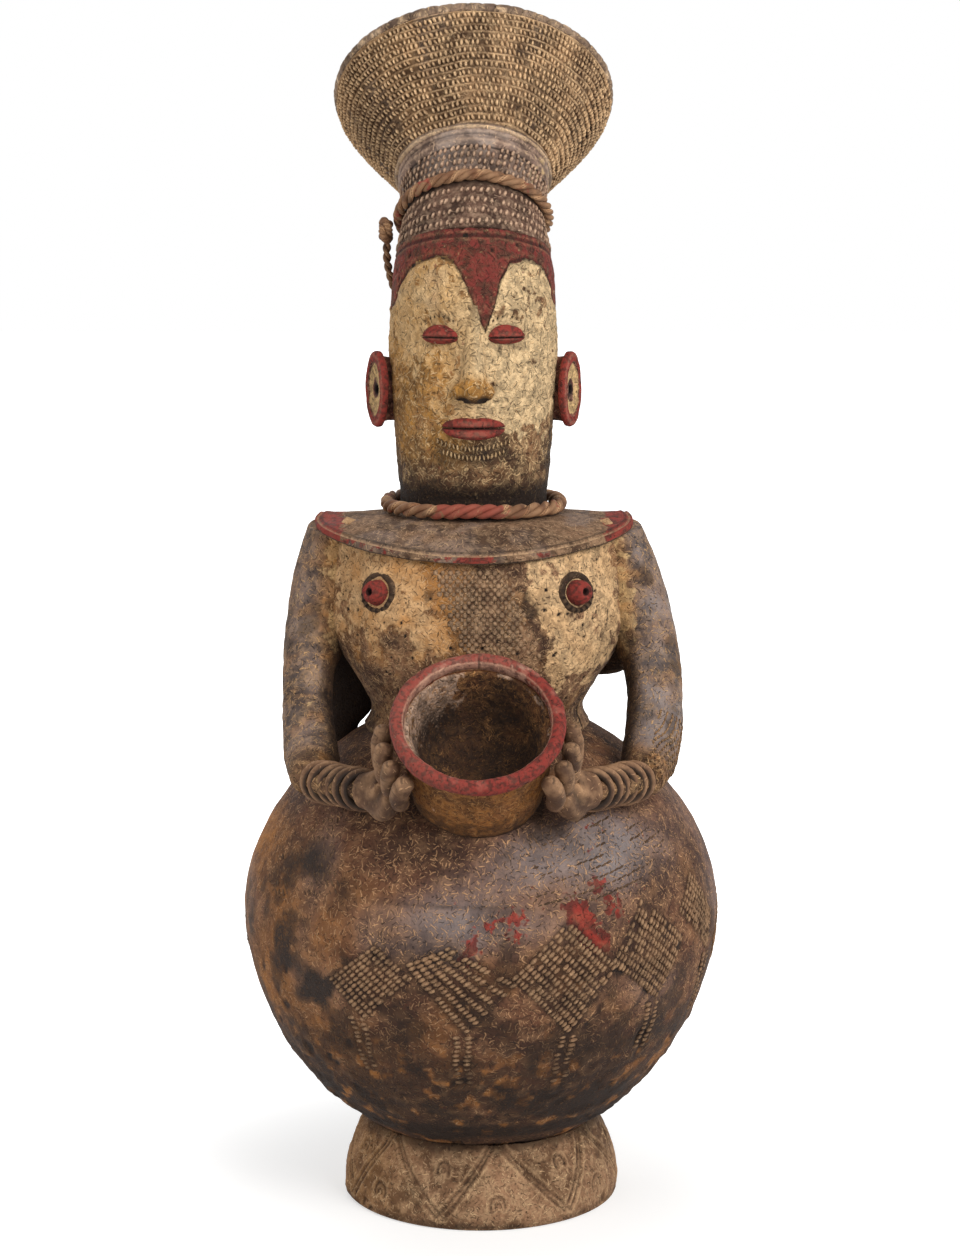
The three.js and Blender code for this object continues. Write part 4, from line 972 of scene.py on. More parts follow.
@dataclass
class Vessel:
    """The belly and the ring foot under it."""

    radius: float = 104.0
    upper: float = 92.0
    lower: float = 110.0
    fullness: float = 1.9
    wall: float = 6.0
    mouth: float = 34.0
    waist: float = 46.1
    middle: float = 130.0
    foot_radius: float = 61.0
    foot_top: float = 50.0
    foot_wall: float = 11.0
    foot_edge: float = 1.5
    seam: float = 0.3
    bead_pitch: float = 2.05
    bead_rows: float = 3.35
    back_lozenges: int = 7
    back_step: float = 29.0

    def height(self, radius: float | Array, upper: bool, grow: float = 0.0) -> float | Array:
        """The belly's height at a distance from its axis."""
        share = np.minimum(np.asarray(radius, float) / (self.radius + grow), 1.0)
        rise = (1 - share**self.fullness) ** (1 / self.fullness)
        return self.middle + (self.upper + grow if upper else -self.lower - grow) * rise

    def tall(self, z: Array) -> Array:
        """How tall that half of the belly is in which a height lies."""
        return np.where(z > self.middle, self.upper, self.lower)

    def reach(self, z: Array) -> Array:
        """The belly's radius at a height."""
        share = np.minimum(np.abs(z - self.middle) / self.tall(z), 1.0)
        return self.radius * (1 - share**self.fullness) ** (1 / self.fullness)

    def depth(self, points: Array) -> Array:
        """About how far points lie outside the belly."""
        across = np.hypot(points[..., 0], points[..., 1]) / self.radius
        up = np.abs(points[..., 2] - self.middle) / self.tall(points[..., 2])
        size = (across**self.fullness + up**self.fullness) ** (1 / self.fullness)
        return (size - 1) * 0.95 * self.radius

    def lifted(self, points: Array, least: float) -> Array:
        """Points moved out from the belly's middle until none lies deeper than least."""
        away = unit(points - self.middle * UP)
        return points + away * np.clip(least - self.depth(points), 0, None)[..., None]

    def spot(self, turn: Array, z: Array) -> Array:
        """A point of the belly's outside, from its turn in degrees and its height."""
        turn, z = np.broadcast_arrays(np.radians(turn), np.asarray(z, float))
        r = self.reach(z)
        return np.stack([r * np.sin(turn), -r * np.cos(turn), z], axis=-1)

    def outline(self) -> tuple[Array, int]:
        """The belly's section as radius and height, and how many of its points are outside."""
        bend, pole = 2 / self.fullness, -1.56

        def arc(start: float, end: float, grow: float) -> Array:
            """Points on one arc of the section."""
            a = np.linspace(start, end, 900)
            r = (self.radius + grow) * np.maximum(np.cos(a), 0) ** bend
            tall = np.where(a > 0, self.upper, self.lower) + grow
            return np.stack([r, self.middle + tall * np.sign(a) * np.abs(np.sin(a)) ** bend], -1)

        last = math.acos((self.waist / self.radius) ** (1 / bend))
        first = math.acos((self.mouth / (self.radius - self.wall)) ** (1 / bend))
        outside = paced(arc(pole, last, 0.0), lambda p: np.where(p[:, 1] < 36, 5.0, 1.62))
        shelf = np.linspace(self.waist - 3, self.mouth, 4)
        lip = np.stack([shelf, np.full(4, outside[-1, 1])], axis=-1)
        inside = paced(arc(first, pole, -self.wall), 9.0)
        return np.vstack([outside, lip, inside]), len(outside)

    def tilt(self, k: int) -> float:
        """How much higher or lower a lozenge at the back stands."""
        return 3 * math.sin(k * 2.1)

    def lozenges(self) -> list[list[tuple[float, float]]]:
        """The rouletted lozenges, as left, top, right and lower corners in degrees and height."""
        shapes = [
            [(-37, 118.4), (-25.1, 135), (-16.4, 123.3), (-28.8, 104.3)],
            [(-16.5, 128.7), (-6.9, 136.4), (7.6, 122.8), (-4.2, 100.5)],
            [(7.9, 124.2), (20.6, 145.2), (31.8, 125.5), (21.4, 99.4)],
            [(32.2, 126.8), (41.5, 149.4), (54.3, 130.2), (46.7, 107.5)],
            [(54.9, 140.9), (63.3, 153.9), (71.3, 135.4), (70.2, 118.9)],
        ]
        for k in range(self.back_lozenges):
            turn, level = 90 + self.back_step * k, 116 + self.tilt(k)
            corners = [(-11.5, 3), (0, 20), (11.5, 0), (-1, -19)]
            shapes.append([(turn + a, level + z) for a, z in corners])
        grown = []
        for corners in shapes:
            turn, level = (sum(corner[k] for corner in corners) / 4 for k in (0, 1))
            grown.append([(lerp(turn, a, 1.1), lerp(level, b, 1.1)) for a, b in corners])
        return grown

    def legs(self) -> list[tuple[float, float, float]]:
        """The double rows under the lozenges, as turn, top and lower end."""
        front = [(-30.8, 103, 78), (-4.7, 99, 76), (21.4, 97, 72), (46.5, 106, 84), (70, 117, 92)]
        back = range(self.back_lozenges)
        return front + [(89 + self.back_step * k, 96 + self.tilt(k), 74) for k in back]

    def build(self) -> None:
        """Builds the belly, the beads that a roulette left on it, and the foot."""
        self.build_belly()
        self.build_beads()
        self.build_foot()

    def build_belly(self) -> None:
        """The round body, with its scrapes, crust, incised line and stains."""
        section, outside = self.outline()
        turns = turns_round(436, 0.25)
        points = lathed(section, turns)
        p = points[:outside]
        t, z = np.degrees(turns)[None], p[..., 2]
        rise = 0.4 * layered(p, 42, 3, 1) + 0.22 * noise(p * [0.3, 0.3, 1.2], 5, 2)
        rise += 0.16 * layered(p, 7, 2, 3)
        crust = ease(98, 74, z) * ease(38, 45, z) * ease(-0.2, 0.3, layered(p, 9, 3, 4))
        rise += crust * (0.5 + 0.55 * noise(p, 3.4, 5))
        chips = ease(0.55, 0.95, layered(p, 11, 3, 6)) * ease(150, 120, z)
        grooves, ground = np.zeros_like(rise), np.zeros_like(rise)
        for start, end, level in [(-34, 16, 153.5), (100, 250, 158)]:
            turn = np.where(t < start - 30, t + 360, t)
            wander = level + 1.6 * noise(p * [1, 1, 0], 26, 20)
            reach = ease(start - 4, start + 3, turn) * ease(end + 5, end - 3, turn)
            grooves = np.maximum(grooves, reach * bell((z - wander) / 0.8))
        across = np.radians(t) * 100
        for shape, back in product(self.lozenges(), (0, -360)):
            flat = [(math.radians(a + back) * 100, b) for a, b in shape]
            if max(flat)[0] > -330 and min(flat)[0] < 330:
                ground = np.maximum(ground, ease(-1.6, 0.6, within(across, z, flat)))
        for turn, top, low in self.legs():
            gap = np.abs((t - turn + 180) % 360 - 180) * 1.6
            ground = np.maximum(ground, 0.8 * ease(5.2, 3.2, gap) * bump(z, (top + low) / 2, 15))
        rise -= 0.5 * chips + 0.3 * grooves + 0.3 * ground
        # Painted shade, with dirt, in the rouletted ground, the grooves and the chips.
        shade_and_dirt = 0.55 * ground + 0.15 * grooves + 0.4 * chips
        stains = self.stains(p, t, z, layered(p, 24, 4, 9))
        marks = coats(rise, 3, 0.5, 0.5 * (1 - ground), 0.9, hollow=shade_and_dirt, **stains)
        points = mould(points, outside, rise, False)
        model("belly_outside", points, marks, BELLY_CLAY, "belly_clay", "belly", caps=True)

    def stains(self, p: Array, t: Array, z: Array, cloud: Array) -> dict[str, Array]:
        """Soot and shade, ochre, grey patches with a painted blue-grey sheen, and red dabs on the belly.

        Args:
            p: its points.
            t: their turns in degrees.
            z: their heights.
            cloud: large lumps of noise at them.

        Returns:
            How much of each mark they carry, by its word.
        """
        flaked = ease(112, 70, z) * ease(0.3, 0.62, layered(p, 6, 3, 18))
        # Darker towards the bottom, and in a band just above the foot.
        soot = ease(112, 70, z) * (0.62 + 0.22 * cloud) * (1 - 0.75 * flaked)
        soot += 0.75 * ease(40, 44, z) * ease(52, 46, z)
        patch = layered(p, 13, 4, 17)
        for turn, level, wide in [(-49, 160, 15), (-43, 118, 14), (-66, 138, 12), (8, 186, 22)]:
            soot += bell((t - turn) / wide, (z - level) / 13) * (0.4 + patch)
        # Random dark patches, and darker near the top, where the torso stands.
        soot += 0.55 * ease(-0.1, 0.7, patch) * ease(150, 128, z) + 0.12 + 0.25 * ease(184, 196, z)
        left = ease(-26, -48, t) * ease(-100, -86, t) * ease(84, 108, z) * ease(184, 160, z)
        ochre = left * np.clip(0.75 + 0.6 * cloud, 0, 1) + 0.3 * ease(0.2, 0.8, cloud)
        ochre += 0.45 * bump(t, -38, 24) * bump(z, 84, 22) + 0.9 * flaked
        # Painted sheen: blue-grey highlights on the upper belly, on the side of the key lamp.
        haze = 0.8 * bell((t - 31) / 20, (z - 171) / 13) + 0.5 * bell((t - 2) / 22, (z - 146) / 9)
        haze += 0.25 * ease(0.1, 0.7, noise(p, 30, 14)) * ease(90, 120, z)
        scale = math.radians(1) * self.radius
        dabs = [
            ([(-2.9, 134), (-0.4, 145), (4, 149), (9, 149), (8, 142)], 2.6, 0.62),
            ([(22.6, 151), (25.3, 143), (28.6, 135.4)], 4.2, 0.95),
            ([(29.6, 160), (31.5, 153), (33.4, 148)], 4.4, 0.56),
            ([(178, 150), (182, 141), (186, 134)], 3.0, 0.7),
            ([(-150, 152), (-146, 146)], 3.0, 0.5),
        ]
        red = 0.22 * ease(0.3, 0.8, noise(p, 9, 19)) * ease(6, 16, t) * ease(60, 40, t) * (z > 128)
        ragged = 2.2 * layered(p, 5, 3, 15)
        for line, wide, strength in dabs:
            gap = near_line(t * scale, z, [(turn * scale, level) for turn, level in line]) - ragged
            red = np.maximum(red, strength * ease(wide + 5.0, wide - 3.4, gap))
        return {"soot": soot, "ochre": ochre, "haze": haze, "red": red}

    def bead_rows_of(self, shape: Outline) -> list[tuple[Array, Array]]:
        """The rows of beads in a lozenge: their places, and the way that they lean."""
        left, top, right, low = (np.array(corner, float) for corner in shape)

        def long(a: Array, b: Array) -> float:
            """The length between two places, in millimetres."""
            return math.hypot((b[0] - a[0]) * math.radians(1) * self.radius, b[1] - a[1])

        rows = max(3, round(long(left, top) / self.bead_rows))
        strung = []
        for k in range(rows):
            v = (k + 0.5) / rows
            start, end = lerp(left, top, v), lerp(low, right, v)
            count = max(3, round(long(start, end) / self.bead_pitch))
            u = (np.arange(count) + 0.5)[:, None] / count
            strung.append((lerp(start, end, u), np.broadcast_to(top - left, (count, 2))))
        return strung

    def build_beads(self) -> None:
        """The beads of the lozenges and the rows under them, and small strokes over them."""
        strung = [row for shape in self.lozenges() for row in self.bead_rows_of(shape)]
        for (turn, top, low), side in product(self.legs(), (-1.45, 1.45)):
            z = np.arange(low, top, 2.2)
            turns = turn + side + 0 * z + 0.35 * np.sin(z * 0.35)
            strung.append((np.stack([turns, z], axis=-1), np.tile([1.0, 0.25], (len(z), 1))))
        beads = sum(len(places) for places, _ in strung)
        for turns, levels, slope in [((14, 60), (150, 186), 0.5), ((-66, -34), (146, 184), -2.0)]:
            turn, z = np.meshgrid(np.arange(*turns, 1.7), np.arange(*levels, 3.6))
            turn, z = turn.ravel(), (z + 0.3 * (turn - turns[0])).ravel()
            left = ease(-0.2, 0.2, layered(self.spot(turn, z), 14, 2, 41)) > 0.5
            turn, z = turn[left], z[left]
            strung.append((np.stack([turn, z], axis=-1), np.tile([1.0, slope], (len(z), 1))))
        flat, lean = (np.vstack(part) for part in zip(*strung))
        small = np.arange(len(flat)) >= beads
        cells = np.round(flat * 7).astype(np.int64)
        luck = chances(np.column_stack([cells, np.full(len(flat), 5)]), range(40, 45))
        kept = luck[:, 0] > 0.05
        flat, lean, luck, small = flat[kept], lean[kept], luck[kept], small[kept, None]
        turn, z = (flat + (luck[:, 1:3] - 0.5) * [0.22, 0.4]).T
        spots = self.spot(turn, z)
        ahead = self.spot(turn + lean[:, 0] * 0.01, z + lean[:, 1] * 0.01) - spots
        out = unit(np.cross(self.spot(turn + 0.1, z) - spots, self.spot(turn, z + 0.1) - spots))
        sizes = np.where(small, [1.7, 0.5, 0.5], [1.8, 0.95, 0.74]) * (0.82 + 0.36 * luck[:, 3:4])
        spots += out * (0.4 * layered(spots, 42, 3, 1) - 0.3)[:, None]
        # A painted highlight on each bead's top and painted shade at its foot. The small strokes are
        # darker all over, and the lower beads are darker.
        wear_and_highlight = np.where(small, 0.3, 1.0) * [0.5, 0.25, 0.0, 0.0]
        shade_and_dirt = np.where(small, 0.6, 0.0) + [0.0, 0.0, 0.25, 0.9]
        piece = Moulding("belly_roulette_beads")
        strew(piece, spots, ahead, out, sizes, wear_and_highlight, shade_and_dirt, 0.6 * ease(100, 76, spots[:, 2]))
        piece.build(BEAD_CLAY, "belly_clay")

    def foot_section(self) -> tuple[Array, int]:
        """The foot's section as radius and height, and how many of its points are outside."""
        top = float(self.height(self.foot_top, False)) - self.seam
        u = np.linspace(0, 1, 120)[:, None]
        start, bend = np.array([self.foot_radius, 1.5]), np.array([self.foot_radius, top * 0.55])
        end = np.array([self.foot_top, top])
        wall = paced((1 - u) ** 2 * start + 2 * u * (1 - u) * bend + u**2 * end, 0.72)
        r = np.linspace(self.foot_top - 1.5, self.foot_top - self.foot_wall, 7)
        seat = np.stack([r, self.height(r, False) - self.seam], axis=-1)
        inner = self.foot_radius - self.foot_edge - self.foot_wall
        down = spaced(np.array([seat[-1], [inner, 0.0]]), 14)[1:]
        floor = spaced(np.array([[inner, 0.0], [self.foot_radius - 1.5, 0.0]]), 6)[1:]
        edge = np.array([[self.foot_radius - 0.5, 0.45]])
        return np.vstack([wall, seat, down, floor, edge]), len(wall)

    def foot_lines(self, t: Array, z: Array) -> Array:
        """How far places of the foot are from its incised zigzag and arcs."""
        scale = math.radians(1) * 58
        feet = [-172, -120, -66, -17, 38, 85, 136, 188]
        tops = [-146, -95, -47, 7, 58, 110, 162]
        drawn = np.full(t.shape, FAR)
        for (low, high, after), shift in product(zip(feet, tops, feet[1:]), (-1.5, 1.5)):
            line = [(low + shift, 5), (high + shift * 0.6, 37), (after + shift, 5)]
            gap = near_line(t * scale, z, [(a * scale, b) for a, b in line])
            drawn = np.minimum(drawn, gap)
        for k, turn in enumerate(feet[:-1] + tops):
            level, size = (25, 2.6) if turn in feet else (11, 3.1)
            angles = np.linspace(-0.5 + 0.2 * (k % 3), 3.6, 9)
            for r in (size, size * 0.35):
                arc = [
                    (turn * scale + r * math.cos(a), level + r * 1.2 * math.sin(a)) for a in angles
                ]
                drawn = np.minimum(drawn, near_line(t * scale, z, arc))
        return drawn

    def build_foot(self) -> None:
        """The flared ring foot, with its incised zigzag and arcs."""
        section, outside = self.foot_section()
        turns, top = turns_round(600), section[outside - 1, 1]
        points = lathed(section, turns)
        p = points[:outside]
        t, z = np.degrees(turns)[None] + 0 * p[..., 2], p[..., 2]
        drawn = self.foot_lines(t, z)
        groove = bell(drawn / 0.62) * (0.75 + 0.35 * noise(p, 7, 35))
        rise = 0.5 * layered(p, 24, 3, 31) + 0.2 * layered(p, 5, 3, 32) - 0.75 * groove
        rise += 0.35 * bump(drawn, 1.7, 1.0)
        rise -= 1.1 * ease(0.5, 0.85, layered(p, 8, 3, 33)) * ease(9, 3, z)
        rise += 0.8 * bump(z, top - 2, 4) * (0.4 + noise(p, 9, 34))
        # Painted shade at the foot's top, under the belly, and at its lowest edge on the floor, with
        # random soot patches. The incised lines get painted shade as well.
        soot = 0.7 * ease(top - 7, top, z) + 0.5 * ease(5, 1.5, z)
        soot += 0.22 * ease(0.2, 0.8, layered(p, 15, 3, 36))
        ochre = 0.35 * ease(-20, -60, t) + 0.2 * (t > 100)
        marks = coats(rise, 3, 0.5, 0.6, 0.6, hollow=0.22 * groove, soot=soot, ochre=ochre)
        points = mould(points, outside, rise, True)
        model("foot_ring_outside", points, marks, FOOT_CLAY, "foot_clay", "foot_ring", wrap_rows=True)


@dataclass
class Trunk:
    """The torso shell, the shoulder plate over it, and the chest's details."""

    vessel: Vessel
    x: float = -1.5
    y: float = 2.0
    waist_side: float = 45.5
    waist_depth: float = 43.0
    chest_side: float = 60.0
    chest_depth: float = 51.0
    shoulder_side: float = 58.0
    shoulder_depth: float = 43.0
    roundness: float = 2.2
    tall: float = 86.0
    wall: float = 7.0
    plate_side: float = 69.0
    plate_depth: float = 48.0
    plate_thick: float = 5.0
    front_dip: float = 13.0
    back_dip: float = 12.0
    pointedness: float = 1.85
    neck_x: float = -3.2
    neck_y: float = 11.0
    neck_clear: float = 31.9
    neck_hollow: float = 23.6
    nipple_radius: float = 5.6
    nipple_height: float = 7.6
    nipple_spread: float = 41.5
    nipple_drop: float = 24.0
    net_half: float = 18.0
    net_pitch: float = 3.1

    def __post_init__(self) -> None:
        """Works out where the torso stands."""
        self.base = float(self.vessel.height(self.waist_side + 0.6, True)) + 0.3
        self.top = self.base + self.tall
        self.plate_top = self.top + 0.3 + self.plate_thick
        ws, wd, cs, cd = self.waist_side, self.waist_depth, self.chest_side, self.chest_depth
        ss, sd = self.shoulder_side, self.shoulder_depth
        self.rows = [
            [-0.3, ws + 1, wd + 1],
            [0, ws, wd],
            [0.1, ws + 0.7, wd + 0.6],
            [0.22, lerp(ws, cs, 0.4), lerp(wd, cd, 0.5)],
            [0.36, lerp(ws, cs, 0.88), lerp(wd, cd, 0.92)],
            [0.5, cs, cd],
            [0.7, cs - 0.5, lerp(cd, sd, 0.35)],
            [0.88, ss, lerp(cd, sd, 0.85)],
            [1.1, ss - 1, sd],
        ]

    def bulge(self, z: Array, x: Array, y: Array, grow: float = 0.0) -> Array:
        """How large a place is beside the torso's own size at its height."""
        size = read_rows(self.rows, (z - self.base) / self.tall) + grow
        share = np.abs(x / size[..., 0]) ** self.roundness + np.abs(y / size[..., 1]) ** self.roundness
        return share ** (1 / self.roundness)

    def spot(self, z: Array, turn: Array, grow: float = 0.0) -> Array:
        """A point of the torso's outside, from its height and its turn in radians."""
        z, turn = np.broadcast_arrays(np.asarray(z, float), np.asarray(turn, float))
        s, c = np.sin(turn), np.cos(turn)
        r = 1 / self.bulge(z, s, c, grow)
        return np.stack([self.x + r * s, self.y - r * c, z], axis=-1)

    def depth(self, points: Array) -> Array:
        """About how far points lie outside the torso."""
        x, y, z = points[..., 0] - self.x, points[..., 1] - self.y, points[..., 2]
        share = self.bulge(z, x, y)
        out = (share - 1) * np.hypot(x, y) / np.maximum(share, 0.2)
        return np.maximum(out, np.maximum(z - self.top, self.base - z))

    def facing(self, z: Array, turn: Array, half_turn: float, half_rise: float) -> Array:
        """The direction out of the torso at a place, from its neighbours at half steps."""
        round_way = self.spot(z, turn + half_turn) - self.spot(z, turn - half_turn)
        return unit(np.cross(round_way, self.spot(z + half_rise, turn) - self.spot(z - half_rise, turn)))

    def plate_edge(self, turn: Array) -> Array:
        """The plate's radius from the neck's axis at a turn in radians."""
        radius = np.full(np.shape(turn), self.plate_side)
        for _ in range(14):
            x = radius * np.sin(turn) / self.plate_side
            y = (radius * np.cos(turn) - self.neck_y + self.y) / self.plate_depth
            reach = np.abs(x) ** self.pointedness + np.abs(y) ** self.pointedness
            radius = radius / reach ** (1 / self.pointedness)
        return radius

    def dip(self, turn: Array) -> Array:
        """How far the plate's edge hangs at a turn in radians."""
        c = np.cos(turn)
        return np.where(c > 0, self.front_dip * c, -self.back_dip * c)

    def plate_spot(self, turn: Array, share: Array, height: Array) -> Array:
        """A point of the plate; share runs from 0 at the neck to 1 at its edge."""
        radius = lerp(self.neck_clear, self.plate_edge(turn), share)
        z = height - self.dip(turn) * np.maximum(share, 0) ** 1.7 + 0 * radius
        x, y = self.neck_x + radius * np.sin(turn), self.neck_y - radius * np.cos(turn)
        return np.stack([x, y, z], -1)

    def under_plate(self, points: Array) -> Array:
        """The height of the plate's underside over points."""
        x, y = points[..., 0] - self.neck_x, self.neck_y - points[..., 1]
        turn = np.arctan2(x, y)
        edge = self.plate_edge(turn)
        share = np.clip((np.hypot(x, y) - self.neck_clear) / (edge - self.neck_clear), 0, 1.1)
        return self.top + 0.3 - self.dip(turn) * share**1.7

    def net_middle(self, z: Array) -> Array:
        """Where the middle of the chest's net is at a height, from the torso's own middle."""
        return lerp(9.0, -3.5, np.clip((z - self.top + 45) / 33, 0, 1))

    def build(self, arms: Sequence[Array]) -> None:
        """Builds the torso, the plate and the chest's details.

        Args:
            arms: each arm's centres and radii, n × 4, which the torso runs smoothly into.
        """
        self.build_torso(arms)
        self.build_plate()
        self.build_net()
        for side in Side:
            self.build_nipple(side)

    def torso_grid(self, turns: Array, outside: int) -> Array:
        """The torso's outside, its top edge under the plate, and its hollow."""
        top = self.top + 2.2 - self.dip(turns) * 0.8
        z = lerp(self.base - 3.0, top[None], np.linspace(0, 1, outside)[:, None])
        shell = self.spot(z, turns[None])
        away = np.stack([np.sin(turns), -np.cos(turns), 0 * turns], -1)
        ring = away * self.neck_hollow + [self.neck_x, self.neck_y, 0.0]
        lid = [lerp(shell[-1], ring + (top - 1)[:, None] * UP, share) for share in (0.4, 0.8)]
        ceiling = self.top - self.wall - self.front_dip * 0.5
        drop = [ring + (ceiling + 3) * UP, ring + ceiling * UP]
        down = np.linspace(ceiling, self.base - 3, 18)[:, None]
        return np.concatenate([shell, np.stack(lid + drop), self.spot(down, turns[None], -self.wall)])

    def build_torso(self, arms: Sequence[Array]) -> None:
        """The hollow chest and waist; arms are as in build."""
        turns, outside = turns_round(400, 0.25), 132
        points = self.torso_grid(turns, outside)
        p, t = points[:outside], np.degrees(turns)[None]
        x, z = p[..., 0] - self.x, p[..., 2]
        rise = 0.5 * layered(p, 30, 3, 51) + 0.32 * layered(p, 5, 3, 52)
        swell = sum(bell((x - s * 40) / 20, (z - self.top + 26) / 18) for s in (1, -1))
        rise += 1.6 * swell * (np.cos(turns)[None] > 0)
        rise += np.maximum(0.0, 11 - np.abs(self.vessel.depth(p))) ** 2 / 30
        shade = np.zeros_like(rise)
        for arm in arms:
            near = arm_gap(p, arm)
            blend = np.maximum(0.0, 15 - np.abs(near))
            rise += blend**2 / 50 * ease(self.base + 26, self.base + 44, z)
            shade = np.maximum(shade, ease(9, 2, near) * ease(self.base + 52, self.base + 34, z))
        gap, tone = specks(p, 3.4, 53)
        pock = ease(0.3, 0.12, gap) * (tone < 0.3)
        crack = bell(near_line(t * 0.85, z, [(55, 211), (57, 216), (56, 221), (59, 227)]) / 0.7)
        rise -= 0.6 * pock + 0.8 * crack
        edge = layered(p, 9, 3, 54)
        away = np.abs(x - self.net_middle(z)) + 3.5 * edge
        middle = ease(self.net_half + 7, self.net_half + 1, away)
        pale = ease(self.base + 18, self.base + 46, z + 9 * edge + 0.22 * x)
        pale *= ease(86, 70, np.abs(t) + 5 * edge)
        # Painted shade next to the arms and at the torso's foot on the belly, with random soot.
        soot = 0.75 * shade + 0.35 * ease(self.base + 20, self.base + 4, z)
        soot += 0.3 * middle + 0.5 * ease(0.45, 0.9, layered(p, 11, 3, 55))
        ochre = pale * ease(6, -16, x) * (0.65 + 0.5 * edge) + 0.25 * ease(0, 0.6, edge)
        slip = pale * (1 - 0.9 * middle) * (0.8 + 0.3 * edge)
        # Painted shade, with dirt, in the pocks and the crack.
        shade_and_dirt = 0.6 * pock + 0.8 * crack
        marks = coats(rise, 2, 0.45, 0.7, 0.8, hollow=shade_and_dirt, slip=slip, ochre=ochre, soot=soot)
        points = mould(points, outside, rise, True)
        model("torso_shell", points, marks, CHEST_CLAY, "chest_slip", "torso", wrap_rows=True)

    def build_plate(self) -> None:
        """The shoulder plate, with its painted tips and lip."""
        turns, brink, roll = turns_round(440, 0.2), 0.985, 1.5
        high, top_rows, low_rows = self.plate_top, 44, 18
        low_share = np.linspace(0.0, brink, low_rows)
        edge_turn = np.linspace(-1.25, 1.25, 10)
        under = lerp(self.top + 0.3, high - 3.0, ease(0.72, brink, low_share))
        edge_share = brink + (1 - brink) * np.cos(edge_turn)
        edge_height = high - roll + roll * np.sin(edge_turn)
        shares = np.concatenate([np.linspace(brink, 0.0, top_rows), low_share, edge_share])
        heights = np.concatenate([np.full(top_rows, high), under, edge_height])
        upper = np.concatenate([np.ones(top_rows), np.zeros(low_rows), edge_turn > -0.5])
        points = self.plate_spot(turns[None], shares[:, None], heights[:, None])[::-1]
        shares, upper = shares[::-1, None], upper[::-1, None]
        x, t = points[..., 0], np.degrees(turns)[None]
        rise = 0.35 * layered(points, 22, 3, 61) + 0.12 * layered(points, 4, 2, 62)
        lip = bump(shares, 0.962, 0.03) * upper
        rise += 0.7 * lip - 0.3 * bump(shares, 0.91, 0.03) * upper
        cloud = layered(points, 12, 3, 63)
        tips = ease(51, 60, np.abs(x - self.neck_x) + 3 * cloud) * ease(0.5, 0.72, shares)
        front = ease(13, 7, np.abs(t) + 4 * cloud) * ease(0.94, 0.97, shares)
        line = 0.4 * ease(0.93, 0.96, shares) * (np.abs(t) < 95) * ease(-0.1, 0.5, cloud)
        red = np.maximum(np.maximum(tips, front), line) * upper
        # Painted shade on the plate's underside and in the groove behind its lip.
        shade_and_dirt = 0.7 * (1 - upper) + 0.3 * bump(shares, 0.915, 0.02) * upper
        # The plate is darker towards the neck, where the cord lies.
        marks = coats(
            rise, 3, 0.5, 0.6, 0.6, red=red, hollow=shade_and_dirt, ridge=0.5 * lip * (1 - red),
            soot=0.6 * ease(0.22, 0.0, shares), haze=0.25 * ease(0.0, 0.7, cloud),
        )
        points = mould(points, len(points), rise, True)
        node = "shoulder_plate"
        model(f"{node}_top", points, marks, PLATE_CLAY, "plate_clay", node, wrap_rows=True)

    def build_net(self) -> None:
        """The patch of small raised diamonds in the middle of the chest."""
        i, j = np.meshgrid(np.arange(-18, 22), np.arange(-18, 22))
        x = (i + j).ravel() * self.net_pitch * 0.5 - 0.5
        z = self.top - 30 + (i - j).ravel() * self.net_pitch * 0.56
        luck = chances(np.round(np.stack([x * 9, z * 9, x * 0], -1)).astype(np.int64), (71, 73))
        ragged = 5 * luck[:, 1]
        kept = np.abs(x - self.net_middle(z)) < self.net_half - ragged
        kept &= (z > self.top - 50 + ragged) & (z < self.top - 13)
        x, z, luck = x[kept], z[kept], luck[kept]
        turn = np.zeros_like(x)
        for _ in range(8):
            turn += (x - self.spot(z, turn)[:, 0] + self.x) / self.chest_side
        spots = self.spot(z, turn)
        out = unit(np.cross(self.spot(z, turn + 0.01) - spots, self.spot(z + 0.5, turn) - spots))
        spots += out * (0.5 * layered(spots, 30, 3, 51) - 0.05)[:, None]
        sizes = np.array([1.42, 1.28, 0.7]) * (0.8 + 0.35 * luck[:, :1])
        net = Moulding("chest_net")
        # A painted highlight on each dome's top and painted shade at its foot.
        strew(net, spots, UP, out, sizes, [0.5, 0.25, 0.0, 0.0], [0.0, 0.0, 0.2, 0.8])
        net.build(PLATE_CLAY, "chest_slip")

    def build_nipple(self, side: Side) -> None:
        """A painted nipple with its pit, and the pricked collar round it."""
        z = self.top - self.nipple_drop
        turn = side.value * 0.9
        for _ in range(10):
            reach = self.spot(z, turn)[0] - self.x
            turn += (side.value * self.nipple_spread - reach) / self.chest_side
        here, out = self.spot(z, turn), self.facing(z, turn, 0.02, 1)
        across = unit(np.cross(UP, out))
        r, h = self.nipple_radius, self.nipple_height
        cone = [(0.2, -2.5), (r, -2.5), (r, 1.2), (r * 0.96, 2.6), (r * 0.86, h * 0.66)]
        cone += [(r * 0.66, h * 0.92), (r * 0.5, h), (1.7, h * 0.97), (1.2, h - 1.4), (0.9, h - 3)]
        cone += [(0.2, h - 3.1)]
        inner = r + 0.3
        roll = [(inner, -2.5), (inner, 0.7), (inner + 0.5, 1.5), (inner + 1.6, 1.75)]
        roll += [(inner + 2.7, 1.3), (inner + 3.2, 0.4), (inner + 3.2, -2.5)]
        turns = full_turn(84)
        ring = np.cos(turns)[:, None] * across + np.sin(turns)[:, None] * np.cross(out, across)
        for name, section, coned in (("nipple", cone, True), ("nipple_collar", roll, False)):
            line = spaced(np.array(section, float), 46)
            r, h = line[:, 0, None], line[:, 1, None]
            points = here + r[..., None] * ring + h[..., None] * out
            rise = 0.16 * layered(points, 2.6, 2, 81)
            if coned:
                pits = 0 * rise
